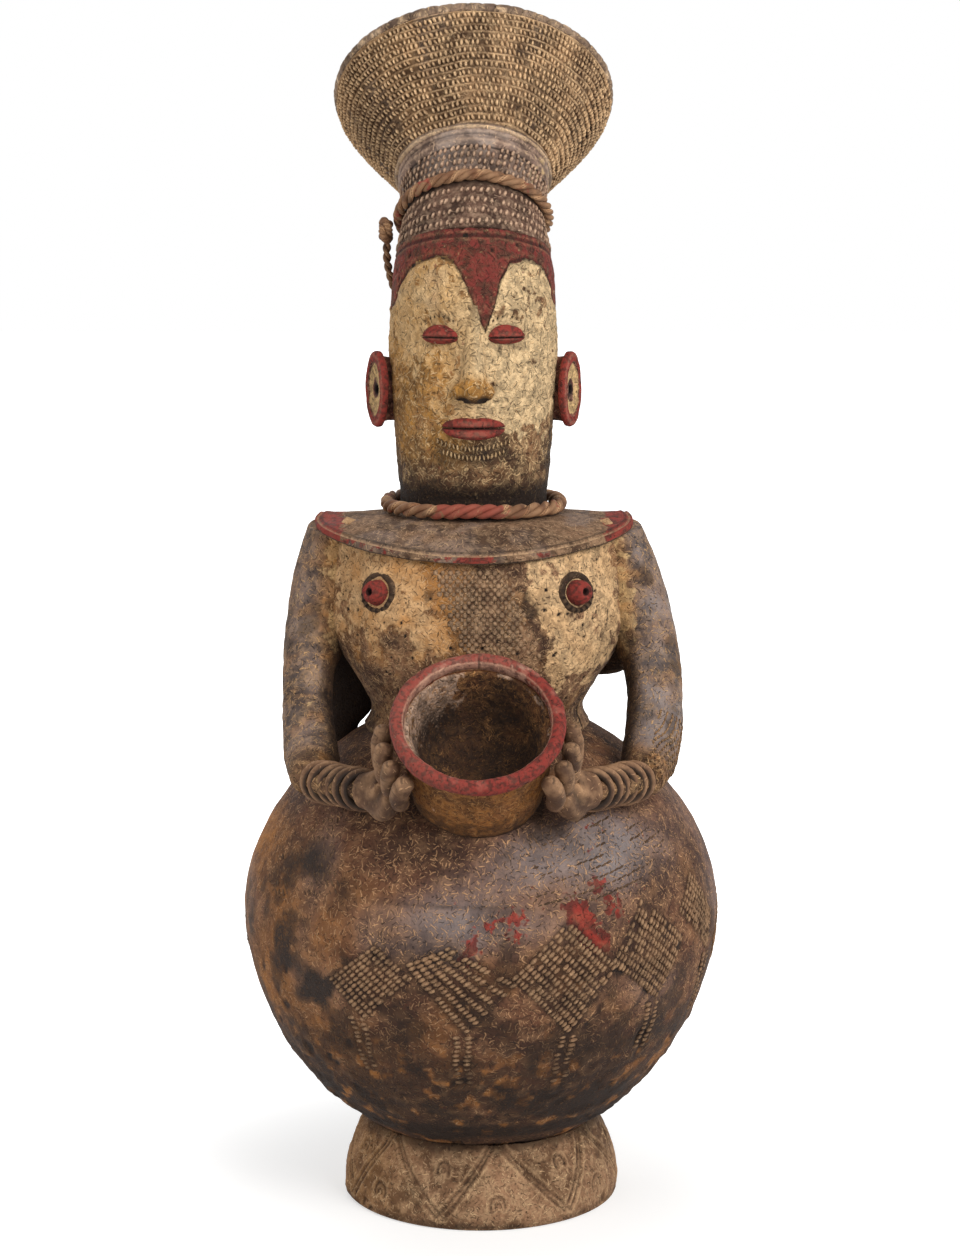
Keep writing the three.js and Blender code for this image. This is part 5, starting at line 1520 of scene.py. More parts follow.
                # The pit is painted dark as shade.
                hole = 0.9 * ((h < self.nipple_height - 0.4) & (r < 1.7) & (h > 1))
            else:
                ringed = ease(0.1, 0.5, np.cos(turns * 17)) * ease(0.3, -0.3, np.sin(turns))
                pits, hole = ringed * bump(r, inner + 1.7, 1.2) * (h > 0.6), 0.0
            rise -= 0.9 * pits
            # Painted shade at the nipple's foot. The collar is darker all over.
            soot = 0.4 * bump(h, 2.0, 2.0) + (0.0 if coned else 0.5)
            red = 0 * rise + (1.1 if coned else 0.1)
            marks = coats(rise, 2, 0.3, 0.6, 0.6, hollow=0.7 * pits + hole, soot=soot, red=red)
            points = mould(points, len(points), rise, not coned)
            node = f"{name}_{side.word}"
            finish, slot = (PAINTED_CLAY, "red_paint") if coned else (PLATE_CLAY, "chest_slip")
            closing = {"wrap_rows": not coned, "caps": coned}
            model(f"{node}_dressed", points, marks, finish, slot, node, **closing)


def arm_gap(points: Array, arm: Array) -> Array:
    """How far points lie outside an arm that is given as n × 4 centres and radii."""
    best = np.full(points.shape[:-1], FAR)
    for row in arm:
        best = np.minimum(best, np.linalg.norm(points - row[:3], axis=-1) - row[3])
    return best


@dataclass
class Head:
    """The hollow column of neck, face, headband and flared coiffure, and what is pressed on it."""

    foot_z: float
    x: float = -3.2
    y: float = 11.0
    neck: tuple[float, float] = (31.6, 30.6)
    face: tuple[float, float] = (36.3, 37.8)
    chin_depth: float = 35.2
    face_tall: float = 107.0
    neck_tall: float = 21.0
    wall: float = 7.0
    flare_wall: float = 5.0
    hair_side: float = 33.2
    hair_back: float = 4.0
    hair_drop: float = 1.3
    hair_lean: float = 22.0
    crown_radius: float = 29.8
    flare_radius: float = 33.2
    flare_tall: float = 43.0
    mouth_radius: float = 61.0
    rim_coil: float = 2.6
    nose_width: float = 17.0
    nose_out: float = 9.5
    mouth_width: float = 27.0
    lip_radius: float = 3.4
    eye_width: float = 14.4
    ear_tall: float = 33.0
    ear_wide: float = 18.0
    ear_stem: float = 6.4
    ear_hole: float = 1.7

    def __post_init__(self) -> None:
        """Works out the column's rows: place along it, y, z, lean, side, front and back."""
        third = self.face_tall / 3
        self.chin = self.neck_tall
        self.nostrils = self.chin + third
        self.lips = self.nostrils - third / 3
        self.brow = self.chin + 2 * third
        self.eye = self.brow - third * 0.27
        self.hairline = self.neck_tall + self.face_tall * 0.9
        forehead = lerp(self.brow, self.hairline, 0.56)
        self.crown = self.hairline + 17
        self.flare_foot = self.crown + 23
        self.flare_lip = self.flare_foot + self.flare_tall
        (ns, nd), (fs, fd), cd = self.neck, self.face, self.chin_depth
        hair, over = self.hairline, self.flare_foot

        def round_row(at: float, y: float, rise: float, lean: float, r: float) -> list[float]:
            """A row of the round part over the hairline."""
            return [at, y, hair + rise, lean, r, r, r]

        def depth(share: float) -> float:
            """How deep the back of the face has grown from the neck's."""
            return lerp(nd, fd, share)

        cr, fr = self.crown_radius, self.flare_radius
        drop, lean = self.hair_drop, self.hair_lean
        self.rows = [
            [0, 0, 0, 0, ns, nd, nd],
            [self.neck_tall * 0.6, 0, self.neck_tall * 0.6, 0, ns, nd, nd],
            [self.chin, 0, self.chin, 0, ns + 1, cd, nd + 1],
            [self.lips, 0, self.lips, 0, lerp(ns, fs, 0.65), cd + 2, depth(0.45)],
            [self.nostrils, 0, self.nostrils, 0, fs - 0.4, fd, depth(0.7)],
            [self.eye, 0, self.eye, 0, fs, fd - 0.4, fd - 1],
            [self.brow, 0, self.brow, 4, fs - 0.3, fd, fd - 0.6],
            [forehead, 1.2, forehead - drop * 0.4, lean * 0.6, fs - 1.4, fd - 2, fd - 1.6],
            round_row(hair, self.hair_back, -drop, lean, self.hair_side),
            round_row(hair + 9.01, 7.6, lerp(-drop, 14.2, 0.535), 28.5, lerp(self.hair_side, cr, 0.6)),
            round_row(self.crown, 12, 14.2, 35, cr),
            round_row(self.crown + 8.97, lerp(12, 25.5, 0.4), 21, 38.5, lerp(cr, fr, 0.35)),
            round_row(over, 25.5, 31.2, 40, fr),
        ]
        for share, wide in [(0.25, 0.26), (0.5, 0.55), (0.75, 0.82), (0.9, 0.955), (1, 1), (1.2, 1.03)]:
            reach = self.flare_tall * share
            y, z = 25.5 + reach * math.sin(math.radians(39)), 31.2 + reach * math.cos(math.radians(39))
            r = lerp(fr, self.mouth_radius, wide)
            self.rows.append(round_row(over + reach, y, z, lerp(40, 38, share), r))

    def station(self, at: Array) -> tuple[Array, Array, Array, Array]:
        """The column at a place along it: centre, axis, forward, and its three half sizes."""
        row = read_rows(self.rows, at)
        tip = np.radians(row[..., 2])
        nought = np.zeros_like(tip)
        centre = np.stack([nought + self.x, self.y + row[..., 0], self.foot_z + row[..., 1]], -1)
        axis = np.stack([nought, np.sin(tip), np.cos(tip)], -1)
        forward = np.stack([nought, -np.cos(tip), np.sin(tip)], -1)
        return centre, axis, forward, row[..., 3:]

    def spot(self, at: Array, turn: Array, grow: float | Array = 0.0) -> Array:
        """A point of the column's outside, from its place along it and its turn in radians."""
        at, turn = np.broadcast_arrays(np.asarray(at, float), np.asarray(turn, float))
        centre, _, forward, size = self.station(at)
        c, s = np.cos(turn), np.sin(turn)
        depth = np.where(c > 0, size[..., 1], size[..., 2]) + grow
        r = 1 / np.hypot(s / (size[..., 0] + grow), c / depth)
        return centre + (r * s)[..., None] * SIDEWAYS + (r * c)[..., None] * forward

    def on_face(self, at: Array, sideways: Array) -> tuple[Array, Array]:
        """A point of the face at a distance from its middle, and the direction out of it."""
        at, sideways = np.broadcast_arrays(np.asarray(at, float), np.asarray(sideways, float))
        turn = np.zeros_like(at)
        for _ in range(8):
            reach = self.spot(at, turn)[..., 0] - self.x
            turn = turn + np.arcsin(np.clip((sideways - reach) / self.face[1], -0.7, 0.7))
        point = self.spot(at, turn)
        round_way = self.spot(at, turn + 0.02) - self.spot(at, turn - 0.02)
        up = self.spot(at + 1, turn) - self.spot(at - 1, turn)
        return point, unit(np.cross(round_way, up))

    def face_form(self, front: Array, a: Array) -> Array:
        """How the face is modelled, from the distance across it and the place along it."""
        rise = 0.9 * bell((front / 24) ** 2, (a - self.brow - 1) / 3.2)
        rise = rise + 1.6 * bell(front / 10, (a - self.chin - 9) / 6)
        rise -= 0.8 * bell(front / 13, (a - self.lips + 8.4) / 2.2)
        for side in Side:
            away = front - side.value * self.eye_width
            rise -= 2.1 * bell(away / 9.5, (a - self.eye) / 6.4)
            cheek = front - side.value * 19
            rise += 1.5 * bell(cheek / 9, (a - self.nostrils - 7) / 9)
            fold = near_line(front, a, [(side.value * 9.5, 56), (side.value * 15, 47)])
            rise -= 0.5 * bell(fold / 1.8)
        return rise

    def build(self) -> None:
        """Builds the column from the neck up, then the features and the ears."""
        self.build_face()
        self.build_headband()
        self.build_flare()
        self.build_mouth_coil()
        self.build_nose()
        self.build_lips()
        self.build_face_ticks()
        for side in Side:
            self.build_lids(side)
            self.build_ear(side)

    def shell(self, at: Array, turns: Array, wall: float, rows: int) -> Array:
        """A grid of the column's outside at places along it, and of its inside back down."""
        outside = self.spot(at[:, None], turns[None])
        inner = np.linspace(at[-1], at[0], rows)
        inside = self.spot(inner[:, None], turns[None], -wall)
        lip = self.spot(at[-1:, None], turns[None], -wall / 2)
        foot = self.spot(at[:1, None], turns[None], -wall / 2)
        return np.concatenate([outside, lip, inside, foot])

    def build_face(self) -> None:
        """The neck and the face, a calm and general one, with its slip and its painted brow."""
        outside, turns = 182, turns_round(420, 0.3)
        at = np.linspace(-1.0, self.hairline, outside)
        points = self.shell(at, turns, self.wall, 16)
        p, t, a = points[:outside], np.degrees(turns)[None], at[:, None]
        front = p[..., 0] - self.x
        facing = ease(0.0, 0.5, np.cos(turns))[None]
        rise = 0.4 * layered(p, 18, 3, 91) + facing * self.face_form(front, a)
        border = np.interp(
            np.degrees(turns),
            [-125, -100, -84, -70, -64, -48, -26, -14, -6, -2, 8, 14, 18, 26, 40, 56, 68, 76, 88,
             104, 128],
            [117, 104, 92, 95, 101, 107, 109, 107, 101, 96, 85, 94, 101, 107, 109, 108, 102, 95, 92,
             104, 117],
        )[None]
        wobble = 0.8 * noise(p, 5, 92)
        painted = ease(-0.8, 0.8, a - border - wobble)
        groove = bump(a - border, 0.0, 1.5) * (np.abs(t) < 92) + bump(a, self.hairline - 2.3, 0.9)
        crust = layered(p, 4.2, 4, 93)
        coarse = ease(20, 28, a) * (1 - 0.85 * painted)
        rise += coarse * (0.42 * crust) + 0.14 * layered(p, 2.2, 2, 94)
        cut = specks(p * [1, 1, 0.8], 5.0, 95)
        nicks = painted * ease(0.3, 0.16, cut[0]) * (cut[1] < 0.45)
        for side in Side:
            away = front - side.value * self.eye_width
            row = bump(a, self.eye + 7.4 - 0.045 * away**2, 1.0) * (np.abs(away) < 8) * facing
            nicks = np.maximum(nicks, row * ease(0.2, 0.7, np.cos(away * math.pi)))
        rise -= 0.55 * groove + 0.5 * nicks
        cloud = layered(p, 9, 4, 96)
        under = ease(24, 36, a + 3 * crust)
        brown = ease(-5, -30, t + 9 * cloud) * ease(80, 62, a + 5 * cloud) * (t > -110)
        brown = np.maximum(brown, 1.1 * ease(47, 38, a + 5 * cloud))
        brown = np.maximum(brown, ease(92, 116, np.abs(t)))
        brown = np.maximum(brown, 0.9 * ease(0.35, 0.75, layered(p, 13, 4, 98)))
        slip = under * (1 - painted) * (1 - 0.85 * brown) * (0.72 + 0.34 * ease(-0.5, 0.4, cloud))
        # Darker down the neck and towards the sides.
        soot = 1.1 * ease(24, 12, a) + 0.6 * ease(40, 22, a) * (0.6 + 0.5 * cloud)
        soot += 0.5 * (np.abs(t) > 70) * ease(60, 40, a) + 0.3 * ease(0.5, 0.9, crust)
        # Painted shade in the eye sockets and under the lower lip.
        socket = bell((np.abs(front) - self.eye_width) / 9, (a - self.eye) / 6)
        chin = ease(20, 13, np.abs(front)) * bump(a, self.lips - 10.5, 8)
        soot += facing * (socket * (0.42 + 0.3 * crust) + 0.75 * chin * (0.8 + 0.3 * crust))
        # Painted shade, with dirt, in the border groove and the nicks.
        marks = coats(
            rise, 2, 0.5, 0.55, 0.75, hollow=0.55 * groove + 0.5 * nicks, slip=slip, soot=soot,
            red=painted * (0.95 + 0.1 * crust),
            ochre=under * ease(10, -20, t) * (0.8 + 0.4 * cloud) * (a < 112),
            haze=0.2 * ease(0.25, 0.7, layered(p, 9, 3, 97)) * slip * ease(0, -20, t),
        )
        points = mould(points, outside, rise, True)
        model("head_neck_and_face", points, marks, FACE_CLAY, "face_slip", "head", wrap_rows=True)

    def coil_wander(self, turn: Array) -> Array:
        """How far the flare's hand-laid coils climb and fall on their way round."""
        return 0.55 * np.sin(turn * 2 + 0.6) + 0.4 * np.sin(turn * 5) + 0.22 * np.sin(turn * 11 + 2)

    def stitches(
        self,
        piece: Moulding,
        rows: Sequence[tuple[float, float]],
        pitch: float,
        sizes: tuple[float, float, float],
        lean: float,
        seed: int,
        wander: Callable[[Array], Array] | None = None,
        loose: float = 0.3,
    ) -> None:
        """Sets short raised strokes round the column in rows.

        Args:
            piece: the mesh that they join.
            rows: each row's place along the column and its lift off the surface.
            pitch: how far apart the strokes are.
            sizes: each stroke's half length, half width and height.
            lean: how far a stroke leans from upright, as a slope.
            seed: which random differences they get.
            wander: how far a row climbs at a turn.
            loose: how unevenly they lie.
        """
        spots, ups, outs, luck = [], [], [], []
        for k, (at, lift) in enumerate(rows):
            ring = self.spot(np.array(at), np.array(math.pi / 2))
            count = round(math.tau * float(ring[0] - self.x) / pitch)
            cells = np.stack([np.arange(count), np.full(count, k), np.full(count, seed)], -1)
            chance = chances(cells, range(seed, seed + 4))
            turn = (np.arange(count) + 0.37 * k + (chance[:, 0] - 0.5) * 0.3) * math.tau / count
            level = at + 0.25 * np.sin(turn * 3 + k) + (chance[:, 1] - 0.5) * loose
            level = level + (wander(turn) if wander else 0.0)
            here = self.spot(level, turn)
            round_way = self.spot(level, turn + 0.01) - here
            up = self.spot(level + 0.3, turn) - here
            out = unit(np.cross(round_way, up))
            slope = lean + 1.4 * loose * (chance[:, 2:3] - 0.5)
            ups.append(unit(up) + unit(round_way) * slope)
            outs.append(out)
            spots.append(here + out * lift)
            luck.append(chance)
        luck = np.vstack(luck)
        kept = luck[:, 3] > 0.05
        spots, ups, outs = (np.vstack(part)[kept] for part in (spots, ups, outs))
        luck = luck[kept]
        shape = np.array(sizes) * (0.85 + 0.3 * luck[:, 1:2])
        # A painted highlight on each stroke's top and painted shade at its foot.
        wear_and_highlight = np.array([0.8, 0.5, 0.05, 0.0]) * (0.55 + 0.5 * luck[:, 2:3])
        strew(piece, spots, ups, outs, shape, wear_and_highlight, [0.0, 0.0, 0.2, 0.95])

    def build_headband(self) -> None:
        """The band under and over the cord, set with rows of short ticks."""
        outside, turns = 84, turns_round(360, 0.2)
        at = np.linspace(self.hairline + 0.3, self.flare_foot, outside)
        points = self.shell(at, turns, self.wall, 8)
        p, t, a = points[:outside], np.degrees(turns)[None], at[:, None]
        cloud = layered(p, 12, 3, 101)
        rise = 0.25 * cloud + 0.1 * layered(p, 3, 2, 102)
        for under, half, tall in ((5.4, 2.6, 0.9), (8.5, 1.2, -0.5), (2.2, 1.0, -0.45)):
            rise += tall * bump(a, self.flare_foot - under, half)
        # The lower band is darker, painted shade lies under the crown cord, and the sides and back
        # darken.
        marks = coats(
            rise, 2, 0.35, 1.0, 0.8, hollow=0.4 * (a < self.flare_foot - 8),
            haze=(0.3 + 0.4 * ease(-0.2, 0.6, cloud)) * ease(self.crown, self.crown + 6, a),
            slip=0.45 * ease(20, 70, t) * ease(self.hairline + 6, self.crown + 10, a),
            soot=0.8 * bump(a, self.crown, 5.5) + 0.3 * ease(60, 110, np.abs(t)),
        )
        points = mould(points, outside, rise, True)
        # The inside is painted dark as shade.
        closing = {"wrap_rows": True, "inside": 1.0}
        model("headband_shell", points, marks, BAND_CLAY, "band_clay", "headband", **closing)
        rows = [(self.hairline + 2.3 + 3.6 * k, 0.0) for k in range(4)]
        rows += [(self.crown + 4.4 + 3.1 * k, 0.0) for k in range(4)]
        ticks = Moulding("headband_ticks")
        self.stitches(ticks, rows, 2.7, (1.72, 0.86, 0.9), 0.3, 103)
        ticks.build(BAND_CLAY, "band_clay")

    def build_flare(self) -> None:
        """The flare's coils, and the stitches between them."""
        coils, turns = 15, turns_round(480, 0.1)
        at = np.linspace(self.flare_foot + 0.3, self.flare_lip, 104)
        outside = len(at)
        points = self.shell(at, turns, self.flare_wall, 26)
        p, t, a = points[:outside], np.degrees(turns)[None], at[:, None]
        start, end = self.flare_foot + 2.4, self.flare_lip - 1.5
        gap = (end - start) / coils
        phase = (a - self.coil_wander(turns)[None] - start) / gap + 0.06 * layered(p, 10, 2, 111)
        line = bell((phase - np.round(phase)) / 0.15) * (a > start - 1)
        line *= 0.55 + 0.5 * noise(p, 6, 117)
        rise = 0.3 * layered(p, 22, 3, 112) + 0.2 * layered(p, 3, 2, 113)
        rise += (0.75 * line - 0.5) * (a > start - 1.2)
        rise += 0.9 * bump(a, self.flare_foot + 0.9, 1.4) + 0.7 * bump(a, self.flare_lip - 0.9, 1.0)
        netted = (a > start - 0.6) * (a < end + 0.6)
        cloud = layered(p, 18, 3, 114)
        foot = ease(start + 0.6, start - 0.8, a)
        # Painted shade between the coils and a painted highlight on them. The sides darken.
        marks = coats(
            rise, 2, 0.5, 0.5, 0.3, hollow=(0.62 + 0.2 * cloud) * netted * (1 - line),
            ridge=0.35 * line * netted, haze=0.35 * ease(0.2, 0.7, cloud) * (1 - foot) + 0.55 * foot,
            ochre=(ease(5, -50, t) * 0.4 + 0.2 * ease(0, 0.7, cloud)) * (1 - foot),
            soot=0.5 * ease(0.5, 0.9, layered(p, 20, 3, 115)) + 0.5 * ease(78, 95, np.abs(t)),
        )
        points = mould(points, outside, rise, True)
        # Inside, painted shade that grows darker further down.
        smoke_and_shade = np.linspace(0.3, 1.1, len(points) - outside)[:, None]
        closing = {"wrap_rows": True, "inside": smoke_and_shade}
        model("coiffure_coils", points, marks, FLARE_CLAY, "flare_clay", "coiffure_flare", **closing)
        rows = [(start + gap * (k + 0.5), -0.35) for k in range(coils)]
        bars = Moulding("coiffure_stitches")
        size = (gap * 0.56, 0.72, 1.02)
        self.stitches(bars, rows, 2.15, size, -0.25, 116, self.coil_wander, 0.5)
        bars.build(FLARE_CLAY, "flare_clay")

    def build_mouth_coil(self) -> None:
        """The twisted coil round the flare's mouth."""
        centre, axis, _, _ = self.station(np.array(self.flare_lip))
        coil, count, sides, twists = self.rim_coil, 620, 26, 62
        path = circle(centre + axis * (coil - 0.6), axis, self.mouth_radius - 1.5, count)
        ring = tube(path, coil, axis, sides, closed=True)
        twist = 0.5 + 0.5 * np.cos(full_turn(count)[:, None] * twists - full_turn(sides)[None])
        rise = 0.22 * layered(ring, 9, 3, 121) - 0.32 * twist**6 + 0.1 * layered(ring, 2.4, 2, 122)
        wear_and_highlight = ease(0.3, 0.7, layered(ring, 5, 3, 123))
        # A painted highlight on the twists' tops and painted shade in their grooves, with grey worn
        # patches.
        marks = coats(
            rise, 2, 0.25, 0.5, 0.6, ridge=0.5 * wear_and_highlight, hollow=0.2 * (1 - wear_and_highlight),
            haze=0.4 + 0.3 * wear_and_highlight, soot=0.3 * (1 - wear_and_highlight),
        )
        out = outward(ring, True)
        out = out * math.copysign(1.0, np.sum(out * (ring - path[:, None])))
        grid = ring + out * rise[..., None]
        node = "coiffure_rim"
        model("coiffure_mouth_coil", grid, marks, FLARE_CLAY, "flare_clay", node, wrap_rows=True)

    def pressed(
        self,
        name: str,
        finish: Clay,
        slot: str,
        spread: tuple[float, float, float, float],
        shape: Callable[[Array, Array], tuple[Array, Marks]],
    ) -> None:
        """Makes a piece of clay modelled on the face, as heights over a patch of it.

        Args:
            name: the CAD node that it stands for.
            finish: what gives its material.
            slot: its material slot.
            spread: the patch's middle, its half width, and its lower and upper end.
            shape: gives the height and the marks from the distances across and along.
        """
        middle, half, low, high = spread
        across = np.linspace(-half, half, 120)[:, None] + middle
        up = np.linspace(low, high, 130)[None]
        rise, marks = shape(across, up)
        point, out = self.on_face(up, across)
        form = self.face_form(across, up) + 0.4 * layered(point, 18, 3, 91)
        layers = [(point + out * lift[..., None]).reshape(-1, 3) for lift in (rise + form, form - 3.4)]
        size = rise.size
        number = np.arange(size).reshape(rise.shape)
        quads = np.stack([number[:-1, :-1], number[1:, :-1], number[1:, 1:], number[:-1, 1:]], -1)
        quads = quads.reshape(-1, 4)
        loop = np.concatenate([number[:, 0], number[-1, 1:], number[-2::-1, -1], number[0, -2:0:-1]])
        after = np.roll(loop, -1)
        faces = [quads, quads[:, ::-1] + size, np.stack([loop, loop + size, after + size, after], -1)]
        full = {
            mark: np.tile(np.ravel(np.clip(value + 0 * rise, 0, HEAVIEST_MARK)), 2)
            for mark, value in marks.items()
        }
        piece = Moulding(f"{name}_modelled")
        piece.add_body(np.vstack(layers), faces, full)
        piece.build(finish, slot, [name])

    def build_nose(self) -> None:
        """The nose: a shaft that widens to a round tip between two wings."""
        foot, top = self.nostrils, self.brow - 1.5
        tip_at = foot + 4.0

        def shape(x: Array, a: Array) -> tuple[Array, Marks]:
            """The nose's height and marks."""
            x = x + 0 * a
            a = a + 0 * x
            share = np.clip((top - a) / (top - tip_at), 0, 1)
            out = lerp(1.6, self.nose_out * 0.98, share**1.15)
            half = lerp(3.4, 6.6, share**1.3)
            end = np.sqrt(np.clip(1 - np.clip((tip_at - a) / 5.6, 0, 1) ** 2, 0, 1))
            lumps = [out * np.clip(1 - (x / half) ** 2, 0, 1) ** 0.62 * end]
            q = (x / 5.0) ** 2 + ((a - tip_at) / 5.0) ** 2
            lumps.append(self.nose_out * np.sqrt(np.clip(1 - q, 0, 1)))
            for side in (1, -1):
                away = x - side * self.nose_width * 0.285
                q = (away / 4.1) ** 2 + ((a - tip_at + 0.6) / 4.3) ** 2
                lumps.append(5.6 * np.sqrt(np.clip(1 - q, 0, 1)))
            power = 5.0
            rise = sum(np.maximum(lump, 0) ** power for lump in lumps) ** (1 / power)
            holes = np.zeros_like(rise)
            for side in (1, -1):
                q = ((x - side * 4.0) / 2.3) ** 2 + ((a - foot - 0.2) / 1.5) ** 2
                holes = np.maximum(holes, np.exp(-(q**1.5)))
            rise = rise - 2.8 * holes * (rise > 0.3) - 1.3
            rise += 0.14 * layered(np.stack([x, a, rise], -1), 3.0, 3, 131)
            # Painted shade in the nostrils, under the nose and down its sides.
            dark = np.clip(0.95 * holes + 0.8 * ease(foot + 1.4, foot - 0.6, a), 0, 1)
            wings = ease(foot + 14, foot + 6, a)
            marks = {
                Mark.HOLLOW: dark + 0.3 * ease(0.8, -0.6, rise),
                Mark.SLIP: 0.95 * ease(foot + 7, foot + 13, a + 0.6 * np.abs(x)),
                Mark.OCHRE: 0.9 * wings + 0.4 * ease(2, -2, x),
                Mark.SOOT: 0.55 * ease(foot + 4, foot, a) + 0.45 * ease(2.2, -0.4, rise),
            }
            return rise, marks

        spread = (0.0, 10.4, foot - 2.6, top + 2.5)
        self.pressed("nose", FACE_CLAY, "face_slip", spread, shape)

    def build_lips(self) -> None:
        """The two lips, closed and level."""
        for upper in (True, False):
            full = 4.9 if upper else 5.4

            def shape(x: Array, a: Array, upper: bool = upper, full: float = full) -> tuple:
                """One lip's height and marks."""
                x = x + 0 * a
                rise = a - self.lips + 0 * x if upper else self.lips - a + 0 * x
                share = np.clip(np.abs(x) / (self.mouth_width / 2), 0, 1)
                tall = full * np.sqrt(np.clip(1 - share**2, 0, 1))
                if upper:
                    tall = tall * (1 - 0.14 * bell(x / 2.6))
                v = np.clip((rise - 0.15) / np.maximum(tall, 0.05), 0, 1.3)
                swell = np.clip(1 - np.abs(2 * v - 0.85) ** 2.4, 0, 1) ** 0.55
                high = self.lip_radius * 1.15 * np.sqrt(np.clip(1 - share**2, 0, 1)) * swell
                high = np.where(v >= 1.0, -0.4, high) - 0.8
                high += 0.12 * layered(np.stack([x, a + 0 * x, high], -1), 2.2, 2, 135)
                # Painted shade along the lips' parting and edges, and a painted highlight on their tops.
                marks = {
                    Mark.HOLLOW: 0.9 * ease(0.9, 0.2, rise) + 0.6 * ease(0.2, -0.5, high),
                    Mark.RED: 1.2 + 0 * x,
                    Mark.RIDGE: 0.16 * ease(2.0, 3.2, high),
                }
                return high, marks

            word, ends = ("upper", (0.15, 5.6)) if upper else ("lower", (-6.2, -0.15))
            spread = (0.0, self.mouth_width / 2 + 0.8, self.lips + ends[0], self.lips + ends[1])
            self.pressed(f"{word}_lip", PAINTED_CLAY, "red_paint", spread, shape)

    def build_face_ticks(self) -> None:
        """Short strokes in two rows on the chin."""
        rows = [np.linspace(-15, 15, 19), np.linspace(-12.5, 12.5, 16)]
        across = np.concatenate(rows)
        row = np.repeat([0, 1], [len(x) for x in rows])
        up = self.lips - 9.0 - 3.6 * row + 0.014 * across**2
        spots, out = self.on_face(up, across)
        lift = self.face_form(across, up) + 0.4 * layered(spots, 18, 3, 91)
        spots += out * lift[:, None]
        lean = UP + 0.25 * np.sin(across)[:, None] * SIDEWAYS
        ticks = Moulding("face_ticks")
        # A painted highlight on each tick's top and painted shade at its foot.
        strew(ticks, spots, lean, out, [1.5, 0.52, 0.85], [0.8, 0.5, 0.0, 0.0], [0.0, 0.0, 0.4, 1.0])
        ticks.build(FACE_CLAY, "face_slip")

    def build_lids(self, side: Side) -> None:
        """The two lids of an eye that is nearly closed."""
        middle = side.value * self.eye_width
        for upper in (True, False):

            def shape(x: Array, a: Array, upper: bool = upper) -> tuple[Array, Marks]:
                """One lid's height and marks."""
                x = x - middle + 0 * a
                rise = a - self.eye + 0 * x if upper else self.eye - a + 0 * x
                share = np.clip(np.abs(x) / (self.eye_width * 0.56), 0, 1)
                tall = (4.6 if upper else 2.9) * np.sqrt(np.clip(1 - share**2, 0, 1))
                v = np.clip((rise - 0.15) / np.maximum(tall, 0.05), 0, 1.3)
                roll = 0.9 * bell((v - 0.22) / 0.22)
                high = (2.9 * np.clip(1 - v**2.2, 0, 1) ** 0.6 + roll) * np.sqrt(1 - share**2)
                high = np.where(v >= 1.0, -0.7, high) - 0.6
                high += 0.1 * layered(np.stack([x, a + 0 * x, high], -1), 2.0, 2, 138)
                # Painted shade along the lids' parting and edges, and a painted highlight on their tops.
                marks = {
                    Mark.HOLLOW: 0.9 * ease(0.7, 0.15, rise) + 0.5 * ease(0.3, -0.3, high),
                    Mark.RED: 1.15 - 0.5 * v,
                    Mark.RIDGE: 0.1 * ease(1.8, 2.8, high),
                }
                return high, marks

            word = "upper" if upper else "lower"
            ends = (self.eye + 0.15, self.eye + 5.2) if upper else (self.eye - 3.6, self.eye - 0.15)
            spread = (middle, self.eye_width * 0.6, *ends)
            name = f"{word}_eyelid_{side.word}"
            self.pressed(name, PAINTED_CLAY, "red_paint", spread, shape)

    def build_ear(self, side: Side) -> None:
        """An oval ear on its stem, dished and pierced."""
        at = lerp(self.nostrils, self.brow, 0.06)
        root = self.spot(np.array(at), np.array(side.value * math.radians(84)))
        tip = math.radians(28)
        out = np.array([side.value * math.cos(tip), -math.sin(tip), 0.0])
        ahead = unit(np.cross(out, UP))
        centre = root + out * self.ear_stem
        w, h, hole, root_depth = self.ear_wide / 2, self.ear_tall / 2, self.ear_hole, self.ear_stem + 5.5
        section = [
            (hole, hole, -3.0),
            (hole, hole * 1.05, 0.1),
            (hole * 1.3, hole * 1.6, 0.5),
            (w * 0.42, h * 0.5, 0.55),
            (w * 0.6, h * 0.68, 1.3),
            (w * 0.68, h * 0.74, 1.9),
            (w * 0.8, h * 0.85, 2.1),
            (w * 0.94, h * 0.96, 1.6),
            (w, h, 0.4),
            (w * 0.96, h * 0.985, -1.2),
            (w * 0.8, h * 0.9, -1.9),
            (w * 0.64, h * 0.86, -2.6),
            (w * 0.6, h * 0.84, -5.0),
            (w * 0.62, h * 0.84, -root_depth),
            (hole * 1.5, hole * 1.5, -root_depth),
        ]
        line = spaced(np.vstack([section, section[:1]]), 97)[:-1, :, None, None]
        turns = full_turn(150)[None, :, None]
        points = centre + line[:, 0] * np.cos(turns) * ahead + line[:, 1] * np.sin(turns) * UP
        points = points + line[:, 2] * out
        rise = 0.2 * layered(points, 7, 3, 141) + 0.08 * layered(points, 2, 2, 142)
        size, lid = line[:, 0, :, 0] / w, line[:, 2, :, 0]
        dish = ease(0.7, 0.5, size) * (lid > -0.6)
